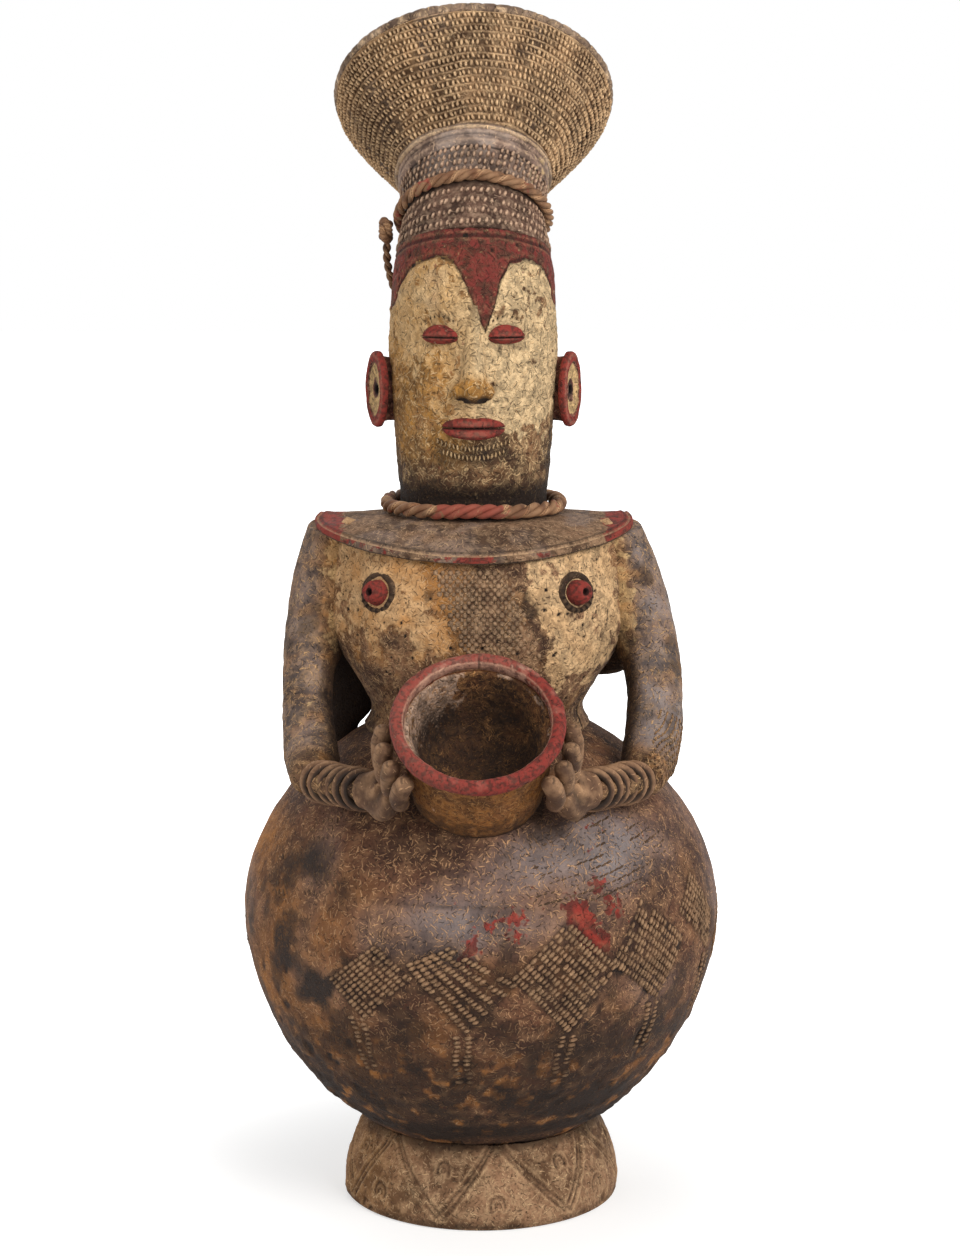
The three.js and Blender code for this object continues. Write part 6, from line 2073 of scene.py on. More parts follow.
        # Painted shade in the ear's hole and round its dish, a painted highlight on the rim's front, and
        # a darker back.
        shade_and_dirt = 0.5 * dish * bump(size, 0.62, 0.08) + ease(0.3, 0.2, size) * (lid > -4)
        marks = coats(
            rise, 2, 0.3, 0.4, 0.5, hollow=shade_and_dirt, slip=0.95 * dish * ease(0.2, 0.4, size),
            red=1.05 * ease(0.62, 0.72, size) * (lid > -1.6), soot=0.45 * (lid < -1.8),
            ridge=0.25 * bump(size, 0.86, 0.1) * (lid > 1.4),
        )
        facing = outward(points, True)
        facing = facing * math.copysign(1.0, np.sum(facing * (points - centre)))
        points = points + facing * rise[..., None]
        node = f"ear_{side.word}"
        model(f"{node}_modelled", points, marks, PAINTED_CLAY, "red_paint", node, wrap_rows=True)


@dataclass
class Cords:
    """The loose cord ring round the neck, and the cord tied round the crown."""

    head: Head
    plate_top: float
    neck_radius: float = 3.2
    neck_slack: float = 2.7
    neck_twists: int = 11
    crown_radius: float = 2.6
    crown_twists: int = 13
    strands: int = 3
    knot: float = 4.6
    thin: float = 0.95
    tail_radius: float = 1.8
    tail_fall: float = 28.6
    tail_back: float = 8.7
    tail_inward: float = 5.2
    tail_length: float = 31.2

    def build(self) -> None:
        """Builds both cords, the knot and its free end."""
        self.build_tail()
        self.build_neck_cord()
        self.build_crown_cord()
        self.build_knot()

    def strand(
        self, piece: Moulding, path: Array, radius: float, out: Array, closed: bool, red: Array
    ) -> None:
        """Adds one strand, whose own fibres lean across it.

        Args:
            piece: the mesh that it joins.
            path: the strand's middle line.
            radius: how thick it is.
            out: the direction that its first fibre faces.
            closed: whether it is a ring.
            red: how much red each point of the path carries.
        """
        sides = 12
        gaps = np.linalg.norm(np.diff(path, axis=0, prepend=path[:1]), axis=1)
        along = np.cumsum(gaps)
        radii = radius * (1 + 0.07 * noise(path, 5.0, 151))
        if not closed:
            radii = radii * domed(len(path), 0.02, 0.03)
        grid = tube(path, radii, out, sides, closed)
        turn = full_turn(sides)[None]
        lay = np.abs((turn - along[:, None] * 0.55) % (math.tau) - math.pi)
        marks = {
            Mark.ALONG: along[:, None] + 0 * turn,
            Mark.ROUND: lay,
            Mark.RED: red[:, None] + 0 * turn,
            # Random darker patches, and the free end darker all over.
            Mark.HOLLOW: 0.35 * ease(0.2, 0.6, noise(grid, 3, 152)) + (0 if closed else 0.3),
        }
        piece.grid(grid, marks, wrap_rows=closed, caps=not closed)

    def rope(
        self,
        piece: Moulding,
        centre: Array,
        axis: Array,
        reach: float,
        radius: float,
        twists: int,
        redness: Callable[[Array], Array],
    ) -> None:
        """Adds a closed ring of twisted strands.

        Args:
            piece: the mesh that it joins.
            centre: the ring's middle.
            axis: the direction square to the ring.
            reach: the ring's radius.
            radius: the cord's own radius.
            twists: how many whole turns the strands make.
            redness: gives the red of each point from its place.
        """
        count = 1040
        turn = full_turn(count)
        base = circle(centre, axis, reach, count)
        radial = unit(base - centre)
        base = base + axis * (0.35 * np.sin(turn * 3) + 0.2 * np.sin(turn * 7))[:, None]
        thin = radius * 0.475
        for k in range(self.strands):
            phase = twists * turn + math.tau * k / self.strands + 0.25 * np.sin(turn * 4)
            path = wound(base, (radial, axis), phase, radius - thin)
            self.strand(piece, path, thin, axis, True, redness(path))

    def build_neck_cord(self) -> None:
        """The ring that lies loose on the plate round the neck."""
        reach = self.head.neck[0] + self.neck_slack + self.neck_radius
        centre = np.array([self.head.x, self.head.y, self.plate_top + self.neck_radius + 0.7])

        def redness(path: Array) -> Array:
            """Red rubbed on the cord's front."""
            turn = np.degrees(np.arctan2(path[:, 0] - self.head.x, self.head.y - path[:, 1]))
            return 0.85 * ease(34, 12, np.abs(turn + 2)) + 0.3 * (noise(path, 9, 153) > 0.35)

        cord = Moulding("neck_cord_twisted")
        self.rope(cord, centre, UP, reach, self.neck_radius, self.neck_twists, redness)
        cord.build(CORD_FIBRE, "fibre", ["neck_cord"], "cord_ring")

    def build_crown_cord(self) -> None:
        """The cord that is tied round the crown."""
        centre, axis, _, _ = self.head.station(np.array(self.head.crown))
        reach = self.head.crown_radius - 0.1 + self.crown_radius
        cord = Moulding("head_cord_twisted")

        def redness(path: Array) -> Array:
            """Red rubbed off on the cord's low side."""
            return 0.35 * (noise(path, 8, 154) > 0.25)

        self.rope(cord, centre, axis, reach, self.crown_radius, self.crown_twists, redness)
        cord.build(CORD_FIBRE, "fibre", ["head_cord"])

    def knot_centre(self) -> Array:
        """The middle of the knot beside the crown."""
        centre, _, _, _ = self.head.station(np.array(self.head.crown))
        reach = self.head.crown_radius + 0.6 + 2 * self.crown_radius + self.knot * 0.55
        return centre + np.array([-reach, 1.5, -5.5])

    def build_knot(self) -> None:
        """The knot, one cord wound through itself."""
        t = full_turn(420)
        ring = 2 + 0.95 * np.cos(3 * t)
        loops = np.stack([0.95 * np.sin(3 * t), ring * np.cos(2 * t), ring * np.sin(2 * t)], -1)
        path = self.knot_centre() + loops * np.array([1.15, 1.0, 1.12]) * self.knot * 0.29
        piece = Moulding("head_cord_knot_wound")
        out = unit(loops)
        frame_of = path_frame(path, out, True)
        for k in range(2):
            line = wound(path, frame_of, 16 * t + math.pi * k, 0.8)
            self.strand(piece, line, self.thin, out, True, np.zeros(len(t)))
        piece.build(CORD_FIBRE, "fibre", ["head_cord_knot"])

    def tail_points(self) -> Array:
        """The free end's route, from the knot down and back along the head."""
        start = self.knot_centre() + np.array([0.6, 0.2, -self.knot * 1.1 - 0.3])
        route = [
            [0, 0, 0],
            [-0.04, 0.06, 0.14],
            [0.02, 0.18, 0.31],
            [0.21, 0.38, 0.49],
            [0.48, 0.62, 0.66],
            [0.75, 0.84, 0.84],
            [1, 1, 1],
        ]
        reach = np.array([self.tail_inward, self.tail_back, -self.tail_fall])
        return through(start + np.array(route) * reach, 25)

    def build_tail(self) -> None:
        """The cord's free end under the knot."""
        route = self.tail_points()
        path = through(route, 150)
        piece = Moulding("head_cord_tail_twisted")
        frame_of = path_frame(path, SIDEWAYS, False)
        share = np.linspace(0, 1, len(path))
        spread = 0.9 + 0.5 * ease(0.85, 1.0, share)
        for k in range(2):
            phase = math.tau * 3.6 * share + math.pi * k
            line = wound(path, frame_of, phase, spread[:, None])
            self.strand(piece, line, self.thin, SIDEWAYS, False, np.zeros(len(path)))
        tail = piece.build(CORD_FIBRE, "fibre", ["head_cord_tail"])


@dataclass
class Bowl:
    """The small bowl that leans forward on the belly, and the coil round its mouth."""

    vessel: Vessel
    x: float = -1.4
    lean: float = 40.0
    forward: float = 66.0
    tall: float = 38.0
    mouth: float = 32.4
    waist: float = 30.2
    base: float = 27.5
    rim_coil: float = 3.6

    def __post_init__(self) -> None:
        """Works out where the bowl's mouth is and which way it faces."""
        tip = math.radians(self.lean)
        self.axis = np.array([0.0, -math.sin(tip), math.cos(tip)])
        self.up = np.array([0.0, math.cos(tip), math.sin(tip)])
        seat = np.array([self.x, -self.forward, float(self.vessel.height(self.forward, True))])
        self.centre = seat + self.axis * self.tall

    def spot(self, depth: Array, turn: Array, radius: Array, side: int = 1) -> Array:
        """A point by its depth under the mouth, its turn in radians and its radius."""
        depth, turn, radius = np.broadcast_arrays(depth, turn, radius)
        down = self.centre - self.axis * depth[..., None]
        round_it = side * SIDEWAYS * np.cos(turn)[..., None] + self.up * np.sin(turn)[..., None]
        return down + radius[..., None] * round_it

    def striae(self) -> Array:
        """Squeezes space so that noise makes streaks round the bowl."""
        return np.outer(self.axis, self.axis) + 0.12 * (np.eye(3) - np.outer(self.axis, self.axis))

    def build(self) -> None:
        """Builds the bowl and its rim."""
        self.build_bowl()
        self.build_rim()

    def build_bowl(self) -> None:
        """The bowl's wall and its hollow."""
        wall = [(24.5, 49), (27.5, 42), (28.99, 34), (29.93, 24), (30.2, 12), (31.2, 6), (31.4, 3.2)]
        wall = paced(through([(*p, 0) for p in wall], 600)[:, :2], 0.62)
        hollow = [(28.6, 2.8), (28.0, 5), (26.4, 12), (24.2, 20), (19.4, 27), (11, 31.2), (0.6, 32)]
        hollow = paced(through([(*p, 0) for p in hollow], 600)[:, :2], 0.7)
        bottom = np.array([[0.6, 49.0], [12.0, 49.0], [20.0, 49.0]])
        lip = np.array([[30.6, 2.4], [29.4, 2.2]])
        section = np.vstack([bottom, wall, lip, hollow])
        turns = turns_round(330)
        points = self.spot(section[:, 1, None], turns[None], section[:, 0, None])
        down = section[:, 1, None]
        inside = (np.arange(len(section)) > len(bottom) + len(wall))[:, None]
        rise = 0.45 * layered(points, 15, 3, 161) + 0.14 * layered(points, 3, 3, 162)
        rise -= 1.0 * bump(down, 6.2, 3.4) * ~inside
        rise += 0.22 * noise(points @ self.striae(), 2.4, 165) * ~inside
        rise += inside * 0.25 * layered(points, 2.4, 3, 163)
        cloud = layered(points, 8, 3, 164)
        # Painted shade in the band under the rim and where the bowl meets the belly.
        shade_and_dirt = 0.85 * bump(down, 6.3, 2.8) + 0.8 * ease(2.6, 0.4, self.vessel.depth(points))
        # Darker towards the bowl's base, with random clouding.
        smoke_and_shade = 0.08 + 0.3 * ease(-0.3, 0.6, cloud) + 0.4 * ease(24, 36, down)
        # The pale coat on the inner wall on the figure's right, near the mouth, is painted light: that
        # wall faces the key lamp.
        left = ease(0.1, -0.75, np.cos(turns)[None]) * ease(26, 12, down)
        # Inside, painted shade that grows darker towards the bottom.
        marks = coats(
            rise, 2, 0.4, 1.0, 0.8, hollow=shade_and_dirt * ~inside,
            soot=~inside * smoke_and_shade + inside * (0.4 + 0.5 * ease(8, 22, down) + 0.3 * cloud),
            slip=inside * (left * (0.85 + 0.4 * cloud) + 0.35 * ease(5.0, 3.4, down)),
            ochre=~inside * (0.5 + 0.5 * cloud), red=0.7 * ease(5.2, 4.0, down) * ~inside,
        )
        moved = points + outward(points, False) * rise[..., None]
        moved = self.vessel.lifted(moved, -3.0)
        model("bowl_wall", moved, marks, BOWL_CLAY, "bowl_clay", "bowl", caps=True)

    def build_rim(self) -> None:
        """The red coil round the mouth."""
        count = 420
        path = circle(self.centre, self.axis, self.mouth + 0.5, count)
        halves = np.tile([self.rim_coil - 0.5, self.rim_coil], (count, 1))
        grid = tube(path, halves, self.axis, 44, closed=True)
        out = unit(grid - path[:, None])
        turn = full_turn(count)
        rise = 0.3 * layered(grid, 11, 3, 171) + 0.1 * layered(grid, 2.6, 3, 172)
        rise += 0.21 * np.sin(turn * 5 + 1)[:, None]
        inner = np.sum(out * unit(self.centre - path)[:, None], -1)
        crack = bell((turn - math.pi / 2 + 0.06 * np.sin(rise * 9).mean(1)) / 0.012)[:, None]
        crack = crack * ease(-0.2, 0.5, inner)
        rise -= 0.4 * crack
        chip = specks(grid, 9, 173)
        chips = ease(0.3, 0.16, chip[0]) * (chip[1] < 0.22)
        rise -= 0.5 * chips
        high = np.sin(turn)[:, None]
        wear_and_highlight = ease(0.3, 0.7, layered(grid, 6, 3, 174)) * (0.4 + 0.6 * ease(-0.2, 0.8, high))
        wear_and_highlight += 0.5 * ease(0.7, 0.96, high) + 0.35 * ease(0.2, -0.8, np.cos(turn))[:, None]
        bare = np.clip(wear_and_highlight, 0, 1)
        # Painted shade on the coil's underside and in its dips.
        below = ease(-0.5, -0.9, np.sum(out * self.axis, -1))
        marks = coats(
            rise, 2, 0.3, 0.6, 0.6, ridge=0.2 * wear_and_highlight + 0.6 * bump(inner, 0.72, 0.16),
            hollow=0.4 * crack + 0.6 * chips + 0.5 * below, haze=0.75 * bare,
            red=1.15 - 0.6 * bare - 0.8 * ease(0.55, 0.95, inner),
        )
        grid = grid + out * rise[..., None]
        node = "bowl_rim"
        model("bowl_rim_coil", grid, marks, PAINTED_CLAY, "red_paint", node, wrap_rows=True)


@dataclass
class Arm:
    """One arm, its bangles and its hand on the bowl."""

    side: Side
    vessel: Vessel
    trunk: Trunk
    bowl: Bowl
    armpit: float = 12.8
    upper: float = 12.2
    elbow: float = 11.8
    forearm: float = 10.2
    wrist_radius: float = 5.3
    spread: float = 75.0
    bangles: int = 6
    pitch: float = 4.2
    bangle_coil: float = 1.85
    first_bangle: float = 3.4
    palm_thick: float = 5.6
    knuckle_depth: float = 20.0
    knuckle_turn: float = -21.0
    tip_depth: float = 7.5
    finger: float = 3.2
    columns: int = 104

    def __post_init__(self) -> None:
        """Works out the arm's path and how thick it is along it."""
        side = self.side.value
        self.wrist = self.bowl.spot(34.0, math.radians(-11), self.bowl.waist + 15, side)
        self.drift = unit(np.array([side * 0.84, 0.54, 0.05]))
        reach = (self.bangles - 1) * self.pitch
        end = self.wrist + self.drift * (reach + 6.5)
        elbow_x, elbow_y = side * (self.spread - 3), end[1] + 22
        lift = self.elbow + 1.2
        far = min(math.hypot(elbow_x, elbow_y), self.vessel.radius + lift - 1)
        elbow_z = float(self.vessel.height(far, True, lift)) + 1.5
        start_x = -2.24 + side * (self.trunk.plate_side - self.upper + 1)
        start_z, y = self.trunk.top + 2, self.trunk.y

        def out(share: float) -> float:
            """How far out the upper arm has come."""
            return lerp(start_x, side * self.spread, share)

        def down(share: float) -> float:
            """How far down the upper arm has come."""
            return lerp(start_z, elbow_z, share)

        points = [
            (start_x, y + 2, start_z),
            (out(0.42), y, down(0.2)),
            (out(0.8), y - 4, down(0.45)),
            (out(1), lerp(y, elbow_y, 0.5), down(0.77)),
            (elbow_x, elbow_y, elbow_z),
            tuple(end),
            tuple(self.wrist + self.drift * reach * 0.5),
            tuple(self.wrist),
        ]
        line = np.array(points)
        lengths = np.linalg.norm(np.diff(line, axis=0), axis=1)
        shares = np.concatenate([[0], np.cumsum(lengths)]) / lengths.sum()
        _, high, middle, low, elbow, wrist, _, _ = shares
        self.rows = [
            [0, self.armpit - 1],
            [high, self.armpit],
            [middle, lerp(self.armpit, self.upper, 0.3)],
            [low, lerp(self.upper, self.elbow, 0.2)],
            [elbow, self.elbow],
            [lerp(elbow, wrist, 0.5), self.forearm],
            [lerp(elbow, wrist, 0.82), lerp(self.forearm, self.wrist_radius, 0.3)],
            [wrist, self.wrist_radius],
            [1, self.wrist_radius],
        ]
        self.elbow_share = elbow
        self.path = through(points, 300)
        self.radii = read_rows(self.rows, np.linspace(0, 1, 300))[:, 0]

    def outline(self) -> Array:
        """The arm's centres and radii, n × 4, for what runs into it."""
        return np.column_stack([self.path, self.radii])[::6]

    def build(self) -> None:
        """Builds the arm, its bangles and its hand."""
        self.build_arm()
        self.build_bangles()
        self.build_palm()
        self.build_fingers()

    def build_arm(self) -> None:
        """The arm from under the plate to the wrist."""
        side, word = self.side.value, self.side.word
        grid = tube(self.path, self.radii, np.array([side, 0.6, 0.8]), self.columns)
        facing = unit(grid - self.path[:, None])
        share = np.linspace(0, 1, len(self.path))[:, None]
        rise = 0.45 * layered(grid, 18, 3, 181) + 0.2 * layered(grid, 4, 2, 182)
        upper = ease(0.5, 0.36, share)
        near, low = self.trunk.depth(grid), self.vessel.depth(grid)
        rise += np.maximum(0.0, 15 - np.abs(near)) ** 2 / 50 * upper
        rise += np.maximum(0.0, 5 - np.abs(low)) ** 2 / 22 * ease(0.45, 0.6, share)
        scratch = noise(grid * [1.0, 1.0, 0.2], 2.4, 183)
        rise -= 0.25 * ease(0.62, 0.8, scratch)
        cloud = layered(grid, 12, 3, 184)
        inward, front = facing[..., 0] * -side, -facing[..., 1]
        chest = upper * ease(0.0, 0.75, 0.75 * inward + 0.6 * front) * ease(15, 5, near)
        # pale is the slip carried over from the chest. grey is how much painted sheen the arm gets: more
        # on the figure's left, towards the key lamp.
        pale, grey = (0.85, 0.75) if self.side is Side.LEFT else (0.55, 0.4)
        # Painted sheen on the faces turned up, forward and outward.
        sheen = ease(0.1, 0.9, 0.7 * facing[..., 2] + 0.8 * front + 0.35 * -inward)
        # Painted shade on the side that faces the torso.
        dark = ease(0.3, 0.95, inward) * ease(0.22, 0.32, share)
        # Painted shade where the forearm lies on the belly.
        marks = coats(
            rise, 2, 0.4, 0.5, 0.8, hollow=0.7 * ease(2.2, 0.2, low) * (share > 0.5),
            ridge=0.3 * ease(0.5, 0.9, cloud), slip=pale * chest * (0.8 + 0.45 * cloud),
            haze=grey * sheen * (0.75 + 0.5 * cloud) * (1 - chest) * ease(0.8, 0.7, share),
            ochre=0.5 * ease(0.2, 0.7, layered(grid, 7, 3, 185)) + 0.25 * chest,
            soot=0.85 * dark + 0.5 * ease(0.4, 0.8, layered(grid, 16, 3, 186)),
        )
        moved = grid + facing * rise[..., None]
        sunk = np.clip(-3.0 - self.trunk.depth(moved), 0, None)
        moved[..., 0] += side * np.where(share < 0.5, sunk, 0)
        moved = self.vessel.lifted(moved, -2.5)
        moved[..., 2] = np.minimum(moved[..., 2], self.trunk.under_plate(moved) + 1.6)
        arm = Moulding(f"arm_{word}_modelled")
        arm.grid(moved, marks, caps=True)
        self.add_web(arm)
        arm.build(ARM_CLAY, "arm_clay", [f"arm_{word}"])
        if self.side is Side.LEFT:
            self.build_stamps(moved, facing)

    def add_web(self, arm: Moulding) -> None:
        """Adds the web of clay behind the arm, painted dark as shade, a long and darker one on the
        figure's right.
        """
        count, smoke_and_shade = 60, 0.8
        if self.side is Side.RIGHT:
            smoke_and_shade = 1.4
            route = [(58, 14, 41), (58, 14, 22), (60, 13, 5), (64, 12, -6), (68, 11, -18)]
            rows = [[0, 13.0], [0.35, 14.0], [0.55, 13.0], [0.7, 8.5], [0.86, 8.5], [1, 9.0]]
        else:
            route = [(54, 10, 52), (54, 10, 40), (55, 10, 28), (56, 10, 19)]
            rows = [[0, 11.0], [0.4, 11.0], [0.75, 10.0], [1, 9.0]]
        path = [(self.side.value * x, y, self.trunk.base + level) for x, y, level in route]
        path = through(path, count)
        wide = read_rows(rows, np.linspace(0, 1, count))
        halves = np.column_stack([wide, np.full(count, 4.5)]) * domed(count, 0.2, 0.1)[:, None]
        grid = tube(path, halves, np.array([0.0, -1.0, 0.0]), 60)
        grid += unit(grid - path[:, None]) * (0.5 * layered(grid, 7, 3, 187))[..., None]
        # The web is painted dark all over, as the shade in the gap between arm and torso.
        arm.grid(grid, {Mark.SOOT: np.full(grid.shape[:2], smoke_and_shade)}, caps=True)

    def build_stamps(self, grid: Array, facing: Array) -> None:
        """Rows of short stamped strokes on the outside of the elbow."""
        spots, outs, ways = [], [], []
        ends = (int(len(grid) * (self.elbow_share + shift)) for shift in (-0.1, 0.14))
        for row in range(*ends, 5):
            for column in range(0, self.columns, 4):
                out = facing[row, column]
                if out[0] > 0.12 and out[1] < 0.25 and out[2] > -0.35:
                    spots.append(grid[row, column])
                    outs.append(out)
                    ways.append(self.path[row + 1] - self.path[row - 1] + 2.0 * out[2] * UP)
        spots, outs, ways = np.array(spots), np.array(outs), unit(np.array(ways))
        along = np.cross(outs, ways) + ways
        stamps = Moulding("arm_stamps")
        # A painted highlight on each stamp's top and painted shade at its foot.
        strew(stamps, spots, along, outs, [1.5, 0.5, 0.4], [0.45, 0.25, 0.0, 0.0], [0.0, 0.0, 0.3, 0.8])
        stamps.build(ARM_CLAY, "arm_clay")

    def build_bangles(self) -> None:
        """The coiled bangles round the wrist."""
        word = self.side.word
        bangles = Moulding(f"bangles_{word}_coiled")
        radius = self.wrist_radius + 0.6 + self.bangle_coil
        for k in range(self.bangles):
            centre = self.wrist + self.drift * (self.first_bangle + k * self.pitch)
            axis = unit(self.drift + 0.06 * np.array([math.sin(k * 2.3), math.cos(k * 1.7), 0.3]))
            path = circle(centre, axis, radius + 0.25 * math.sin(k * 1.9), 110)
            grid = tube(path, self.bangle_coil, axis, 22, closed=True)
            out = unit(grid - path[:, None])
            rise = 0.12 * layered(grid, 9, 2, 190 + k)
            outer = np.sum(out * unit(path - centre)[:, None], -1)
            # A painted highlight on the coils' outer sides and painted shade on their inner sides,
            # between the turns.
            wear_and_highlight, shade_and_dirt = 0.35 * ease(0.6, 1.0, outer), 0.9 * ease(0.6, 0.0, outer)
            marks = coats(rise, 2, 0.4, 0.5, 0.5, ridge=wear_and_highlight, hollow=shade_and_dirt)
            marks[Mark.HOLLOW] = np.minimum(marks[Mark.HOLLOW], 1)
            bangles.grid(grid + out * rise[..., None], marks, wrap_rows=True)
        names = [f"bangle_{word}_{k + 1}" for k in range(self.bangles)]
        bangles.build(HAND_CLAY, "hand_clay", names)

    def knuckles(self, depth: float, reach: float) -> Array:
        """A point of the back of the hand."""
        turn = math.radians(self.knuckle_turn + 1)
        return self.bowl.spot(depth, turn, self.bowl.waist + reach, self.side.value)

    def build_palm(self) -> None:
        """The back of the hand, with its tendons."""
        count, node = 90, f"palm_{self.side.word}"
        start = self.wrist + self.drift * 4.5
        middle = self.knuckles(self.knuckle_depth + 8, 9)
        path = through([start, middle, self.knuckles(self.knuckle_depth + 3, 6.5)], count)
        share = np.linspace(0, 1, count)
        rows = [[0, self.wrist_radius + 2.2], [0.3, 8.6], [0.6, 11.6], [1, 11.6]]
        thick = lerp(self.wrist_radius + 2.0, self.palm_thick + 0.8, ease(0, 0.5, share))
        halves = np.column_stack([read_rows(rows, share), thick]) * domed(count, 0.1, 0.3)[:, None]
        grid = tube(path, halves, np.array([self.side.value, -0.2, 0.1]), count)
        out = unit(grid - path[:, None])
        turn = full_turn(count)[None]
        rise = 0.25 * layered(grid, 12, 2, 201)
        tendons = 0.9 * np.cos(2.4 * math.pi * np.cos(turn)) * (np.sin(turn) > 0)
        rise += tendons * ease(0.25, 0.7, share[:, None])
        # A painted highlight on the tendons and painted shade between them.
        marks = coats(rise, 3, 0.5, 1.0, 1.0)
        moved = self.vessel.lifted(grid + out * rise[..., None], -2.0)
        model(f"{node}_modelled", moved, marks, HAND_CLAY, "hand_clay", node, caps=True)

    def build_fingers(self) -> None:
        """The four fingers up the bowl's side."""
        word, side = self.side.word, self.side.value
        turns = {"index": (-10, 5), "middle": (-18, -10), "ring": (-26, -26), "little": (-34, -42)}
        rest = self.bowl.waist + self.finger
        lines = {}
        for name, (knuckle, tip) in turns.items():
            bend = self.bowl.spot(
                lerp(self.knuckle_depth, self.tip_depth, 0.45),
                math.radians(lerp(knuckle, tip, 0.45)),
                rest + 6.6,
                side,
            )
            first = self.bowl.spot(self.knuckle_depth + 7, math.radians(knuckle), rest + 4.6, side)
            last = self.bowl.spot(self.tip_depth - 2.5, math.radians(tip), rest + 4.6, side)
            lines[name] = through([first, bend, last], 110)
        for name, path in lines.items():
            u = np.linspace(0, 1, 110)
            joints = 1 + 0.08 * (bump(u, 0.34, 0.14) + bump(u, 0.7, 0.12))
            radii = self.finger * 1.18 * domed(110, 0.1, 0.12) * joints
            out = np.array([side, -0.3, 0.2])
            grid = tube(path, radii, out, 44)
            across, _ = path_frame(path, out, False)
            facing = unit(grid - path[:, None])
            share = u[:, None]
            top = np.sum(facing * unit(out), -1)
            rise = 0.12 * layered(grid, 8, 2, 211)
            creases = bump(share, 0.36, 0.03) + bump(share, 0.68, 0.03)
            rise -= 0.25 * creases * ease(0.1, 0.7, top)
            beside = np.abs(np.sum(facing * across[:, None], -1))
            nail = ease(0.80, 0.83, share) * ease(0.985, 0.95, share) * ease(0.66, 0.58, beside)
            nail = nail * (top > 0.2)
            edge = np.clip(4 * nail * (1 - nail), 0, 1)
            rise += 0.1 * nail - 0.3 * edge
            close = np.full(grid.shape[:-1], 9.0)
            for other, line in lines.items():
                if other != name:
                    for point in line[::8]:
                        gap = np.linalg.norm(grid - point, axis=-1) - self.finger
                        close = np.minimum(close, gap)
            # Painted shade between the fingers, in the creases and round the nails, and a painted
            # highlight on their outer side.
            shade_and_dirt = ease(1.9, 0.2, close) + 0.4 * creases * ease(0.1, 0.7, top) + 0.5 * edge
            wear_and_highlight = 0.25 * ease(0.6, 0.95, top)
            marks = coats(rise, 2, 0.4, 0.6, 0.6, hollow=shade_and_dirt, ridge=wear_and_highlight)
            grid = grid + facing * rise[..., None]
            node = f"{name}_finger_{word}"
            model(f"{node}_modelled", grid, marks, HAND_CLAY, "hand_clay", node, caps=True)


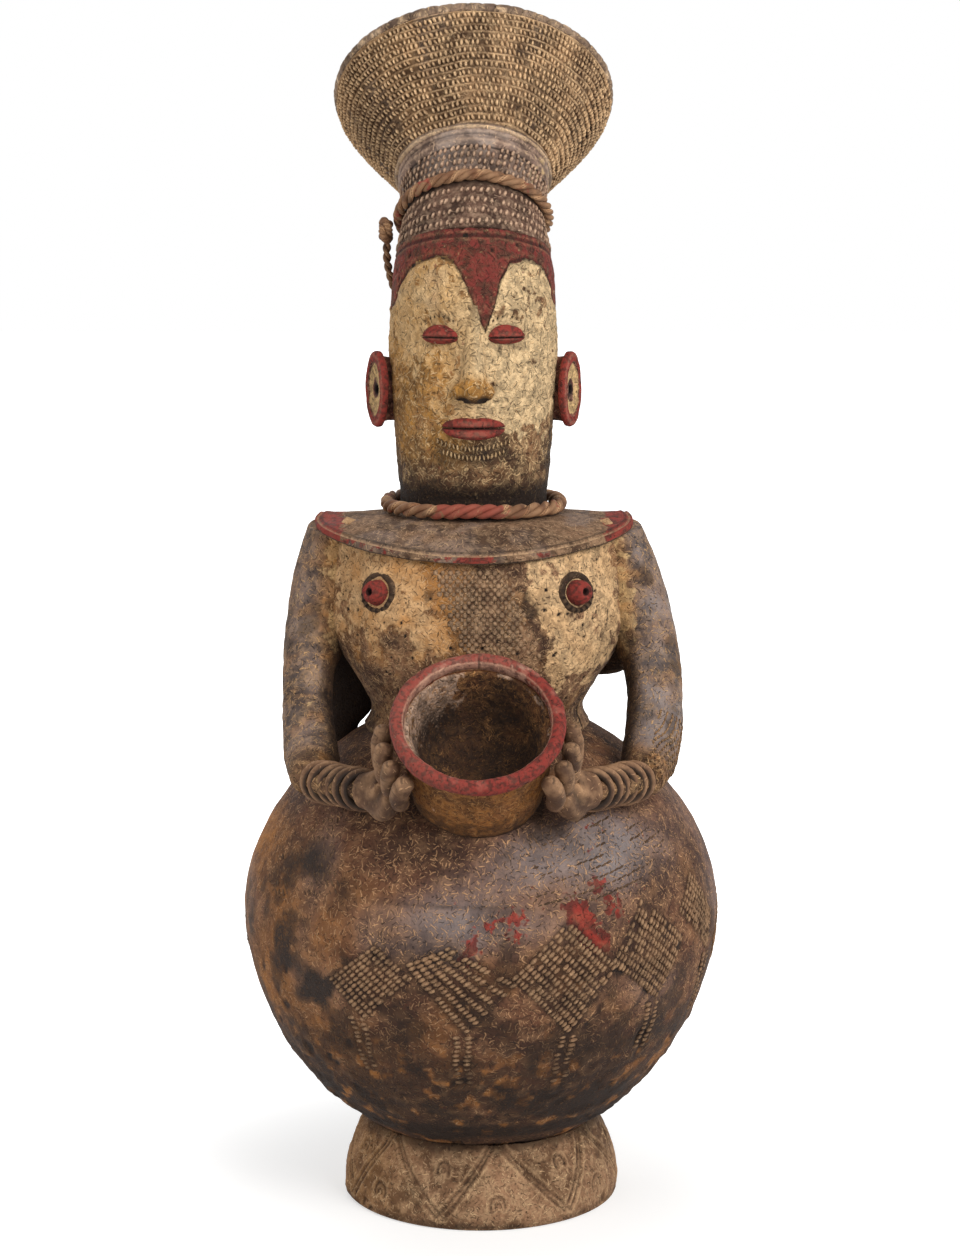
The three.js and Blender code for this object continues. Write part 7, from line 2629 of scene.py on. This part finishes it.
@dataclass
class Studio:
    """The camera, the pale floor and the soft lights."""

    camera_place: tuple[float, float, float] = (-0.4, -1270.0, 462.0)
    camera_down: float = 9.36
    lens: float = 84.67
    floor_reach: float = 6000.0
    floor_white: float = 0.6
    floor_lift: float = 0.52
    world_light: float = 0.36

    def build(self) -> None:
        """Sets the camera, the floor, the world and the lamps."""
        self.build_camera()
        self.build_floor()
        self.build_world()
        self.lamp("key_softbox", (900, -1150, 1150), 25.0, 900, (1.0, 0.975, 0.94))
        self.lamp("fill_softbox", (-1250, -900, 750), 7.0, 1100, (1.0, 0.97, 0.92))
        self.lamp("back_softbox", (-500, 1100, 1200), 7.0, 1000, (1.0, 1.0, 1.0))
        bpy.context.scene.view_settings.view_transform = "Standard"

    def build_camera(self) -> None:
        """A long lens at the figure's front, a little above its middle."""
        camera = bpy.data.cameras.new("photo_camera")
        camera.sensor_fit = "VERTICAL"
        camera.sensor_height = 36.0
        camera.lens = self.lens
        camera.clip_end = 100.0
        piece = bpy.data.objects.new("photo_camera", camera)
        piece.location = [value * MM for value in self.camera_place]
        piece.rotation_euler = (math.radians(90 - self.camera_down), 0.0, 0.0)
        bpy.context.scene.collection.objects.link(piece)
        bpy.context.scene.camera = piece

    def build_floor(self) -> None:
        """A plain pale floor that keeps the shadow."""
        reach = self.floor_reach * MM
        mesh = bpy.data.meshes.new("studio_floor")
        corners = [(-reach, -reach, 0), (reach, -reach, 0), (reach, reach, 0), (-reach, reach, 0)]
        mesh.from_pydata(corners, [], [(0, 1, 2, 3)])
        floor = bpy.data.objects.new("studio_floor", mesh)
        bpy.context.scene.collection.objects.link(floor)
        material, w, shader = dressed("Studio floor")
        grey = (self.floor_white,) * 3 + (1.0,)
        shader.inputs["Base Color"].default_value = grey
        shader.inputs["Roughness"].default_value = 1.0
        shader.inputs["Specular IOR Level"].default_value = 0.0
        seen = self.seen_directly(w)
        shader.inputs["Emission Color"].default_value = (1.0, 1.0, 1.0, 1.0)
        spot = w.add("TexCoord").outputs["Object"]
        away = w.vector("LENGTH", spot).outputs["Value"]
        lift = w.math("MULTIPLY_ADD", w.between(away, 0.07, 0.32), 0.8, self.floor_lift)
        w.send(w.math("MULTIPLY", seen, lift), shader.inputs["Emission Strength"])
        mesh.materials.append(material)

    def seen_directly(self, w: Wiring) -> Socket:
        """1 for rays from the camera, a mirror or glass, and 0 for light."""
        ray = w.add("LightPath").outputs
        seen = w.math("MAXIMUM", ray["Is Camera Ray"], ray["Is Glossy Ray"])
        return w.math("MAXIMUM", seen, ray["Is Transmission Ray"])

    def build_world(self) -> None:
        """A white room that lights the jar less than it shows."""
        world = bpy.data.worlds.new("Studio world")
        world.use_nodes = True
        w = Wiring(world.node_tree)
        sky = world.node_tree.nodes["Background"]
        sky.inputs["Color"].default_value = (1.0, 1.0, 1.0, 1.0)
        seen = self.seen_directly(w)
        power = w.math("MULTIPLY_ADD", seen, 1.0 - self.world_light, self.world_light)
        w.send(power, sky.inputs["Strength"])
        bpy.context.scene.world = world

    def lamp(
        self, name: str, place: tuple[float, float, float], power: float, size: float, tint: tuple
    ) -> None:
        """A square soft lamp that faces the jar's middle.

        Args:
            name: the lamp's name.
            place: where it stands.
            power: its watts.
            size: its width.
            tint: its colour.
        """
        light = bpy.data.lights.new(name, "AREA")
        light.energy, light.size, light.color = power, size * MM, tint
        piece = bpy.data.objects.new(name, light)
        piece.location = [value * MM for value in place]
        aim = np.array([0.0, 0.0, 260.0]) - np.array(place)
        yaw = math.atan2(aim[1], aim[0]) - math.pi / 2
        pitch = math.atan2(aim[2], math.hypot(aim[0], aim[1])) + math.pi / 2
        piece.rotation_euler = (pitch, 0.0, yaw)
        bpy.context.scene.collection.objects.link(piece)


def main() -> None:
    """Builds the studio, the cords and the jar, in that order."""
    Studio().build()
    vessel = Vessel()
    trunk = Trunk(vessel)
    head = Head(trunk.top + 0.3)
    Cords(head, trunk.plate_top).build()
    bowl = Bowl(vessel)
    arms = [Arm(Side.LEFT, vessel, trunk, bowl), Arm(Side.RIGHT, vessel, trunk, bowl, upper=10.4)]
    vessel.build()
    trunk.build([arm.outline() for arm in arms])
    head.build()
    bowl.build()
    for arm in arms:
        arm.build()
    log.info("the jar is whole")


if __name__ == "__main__":
    main()
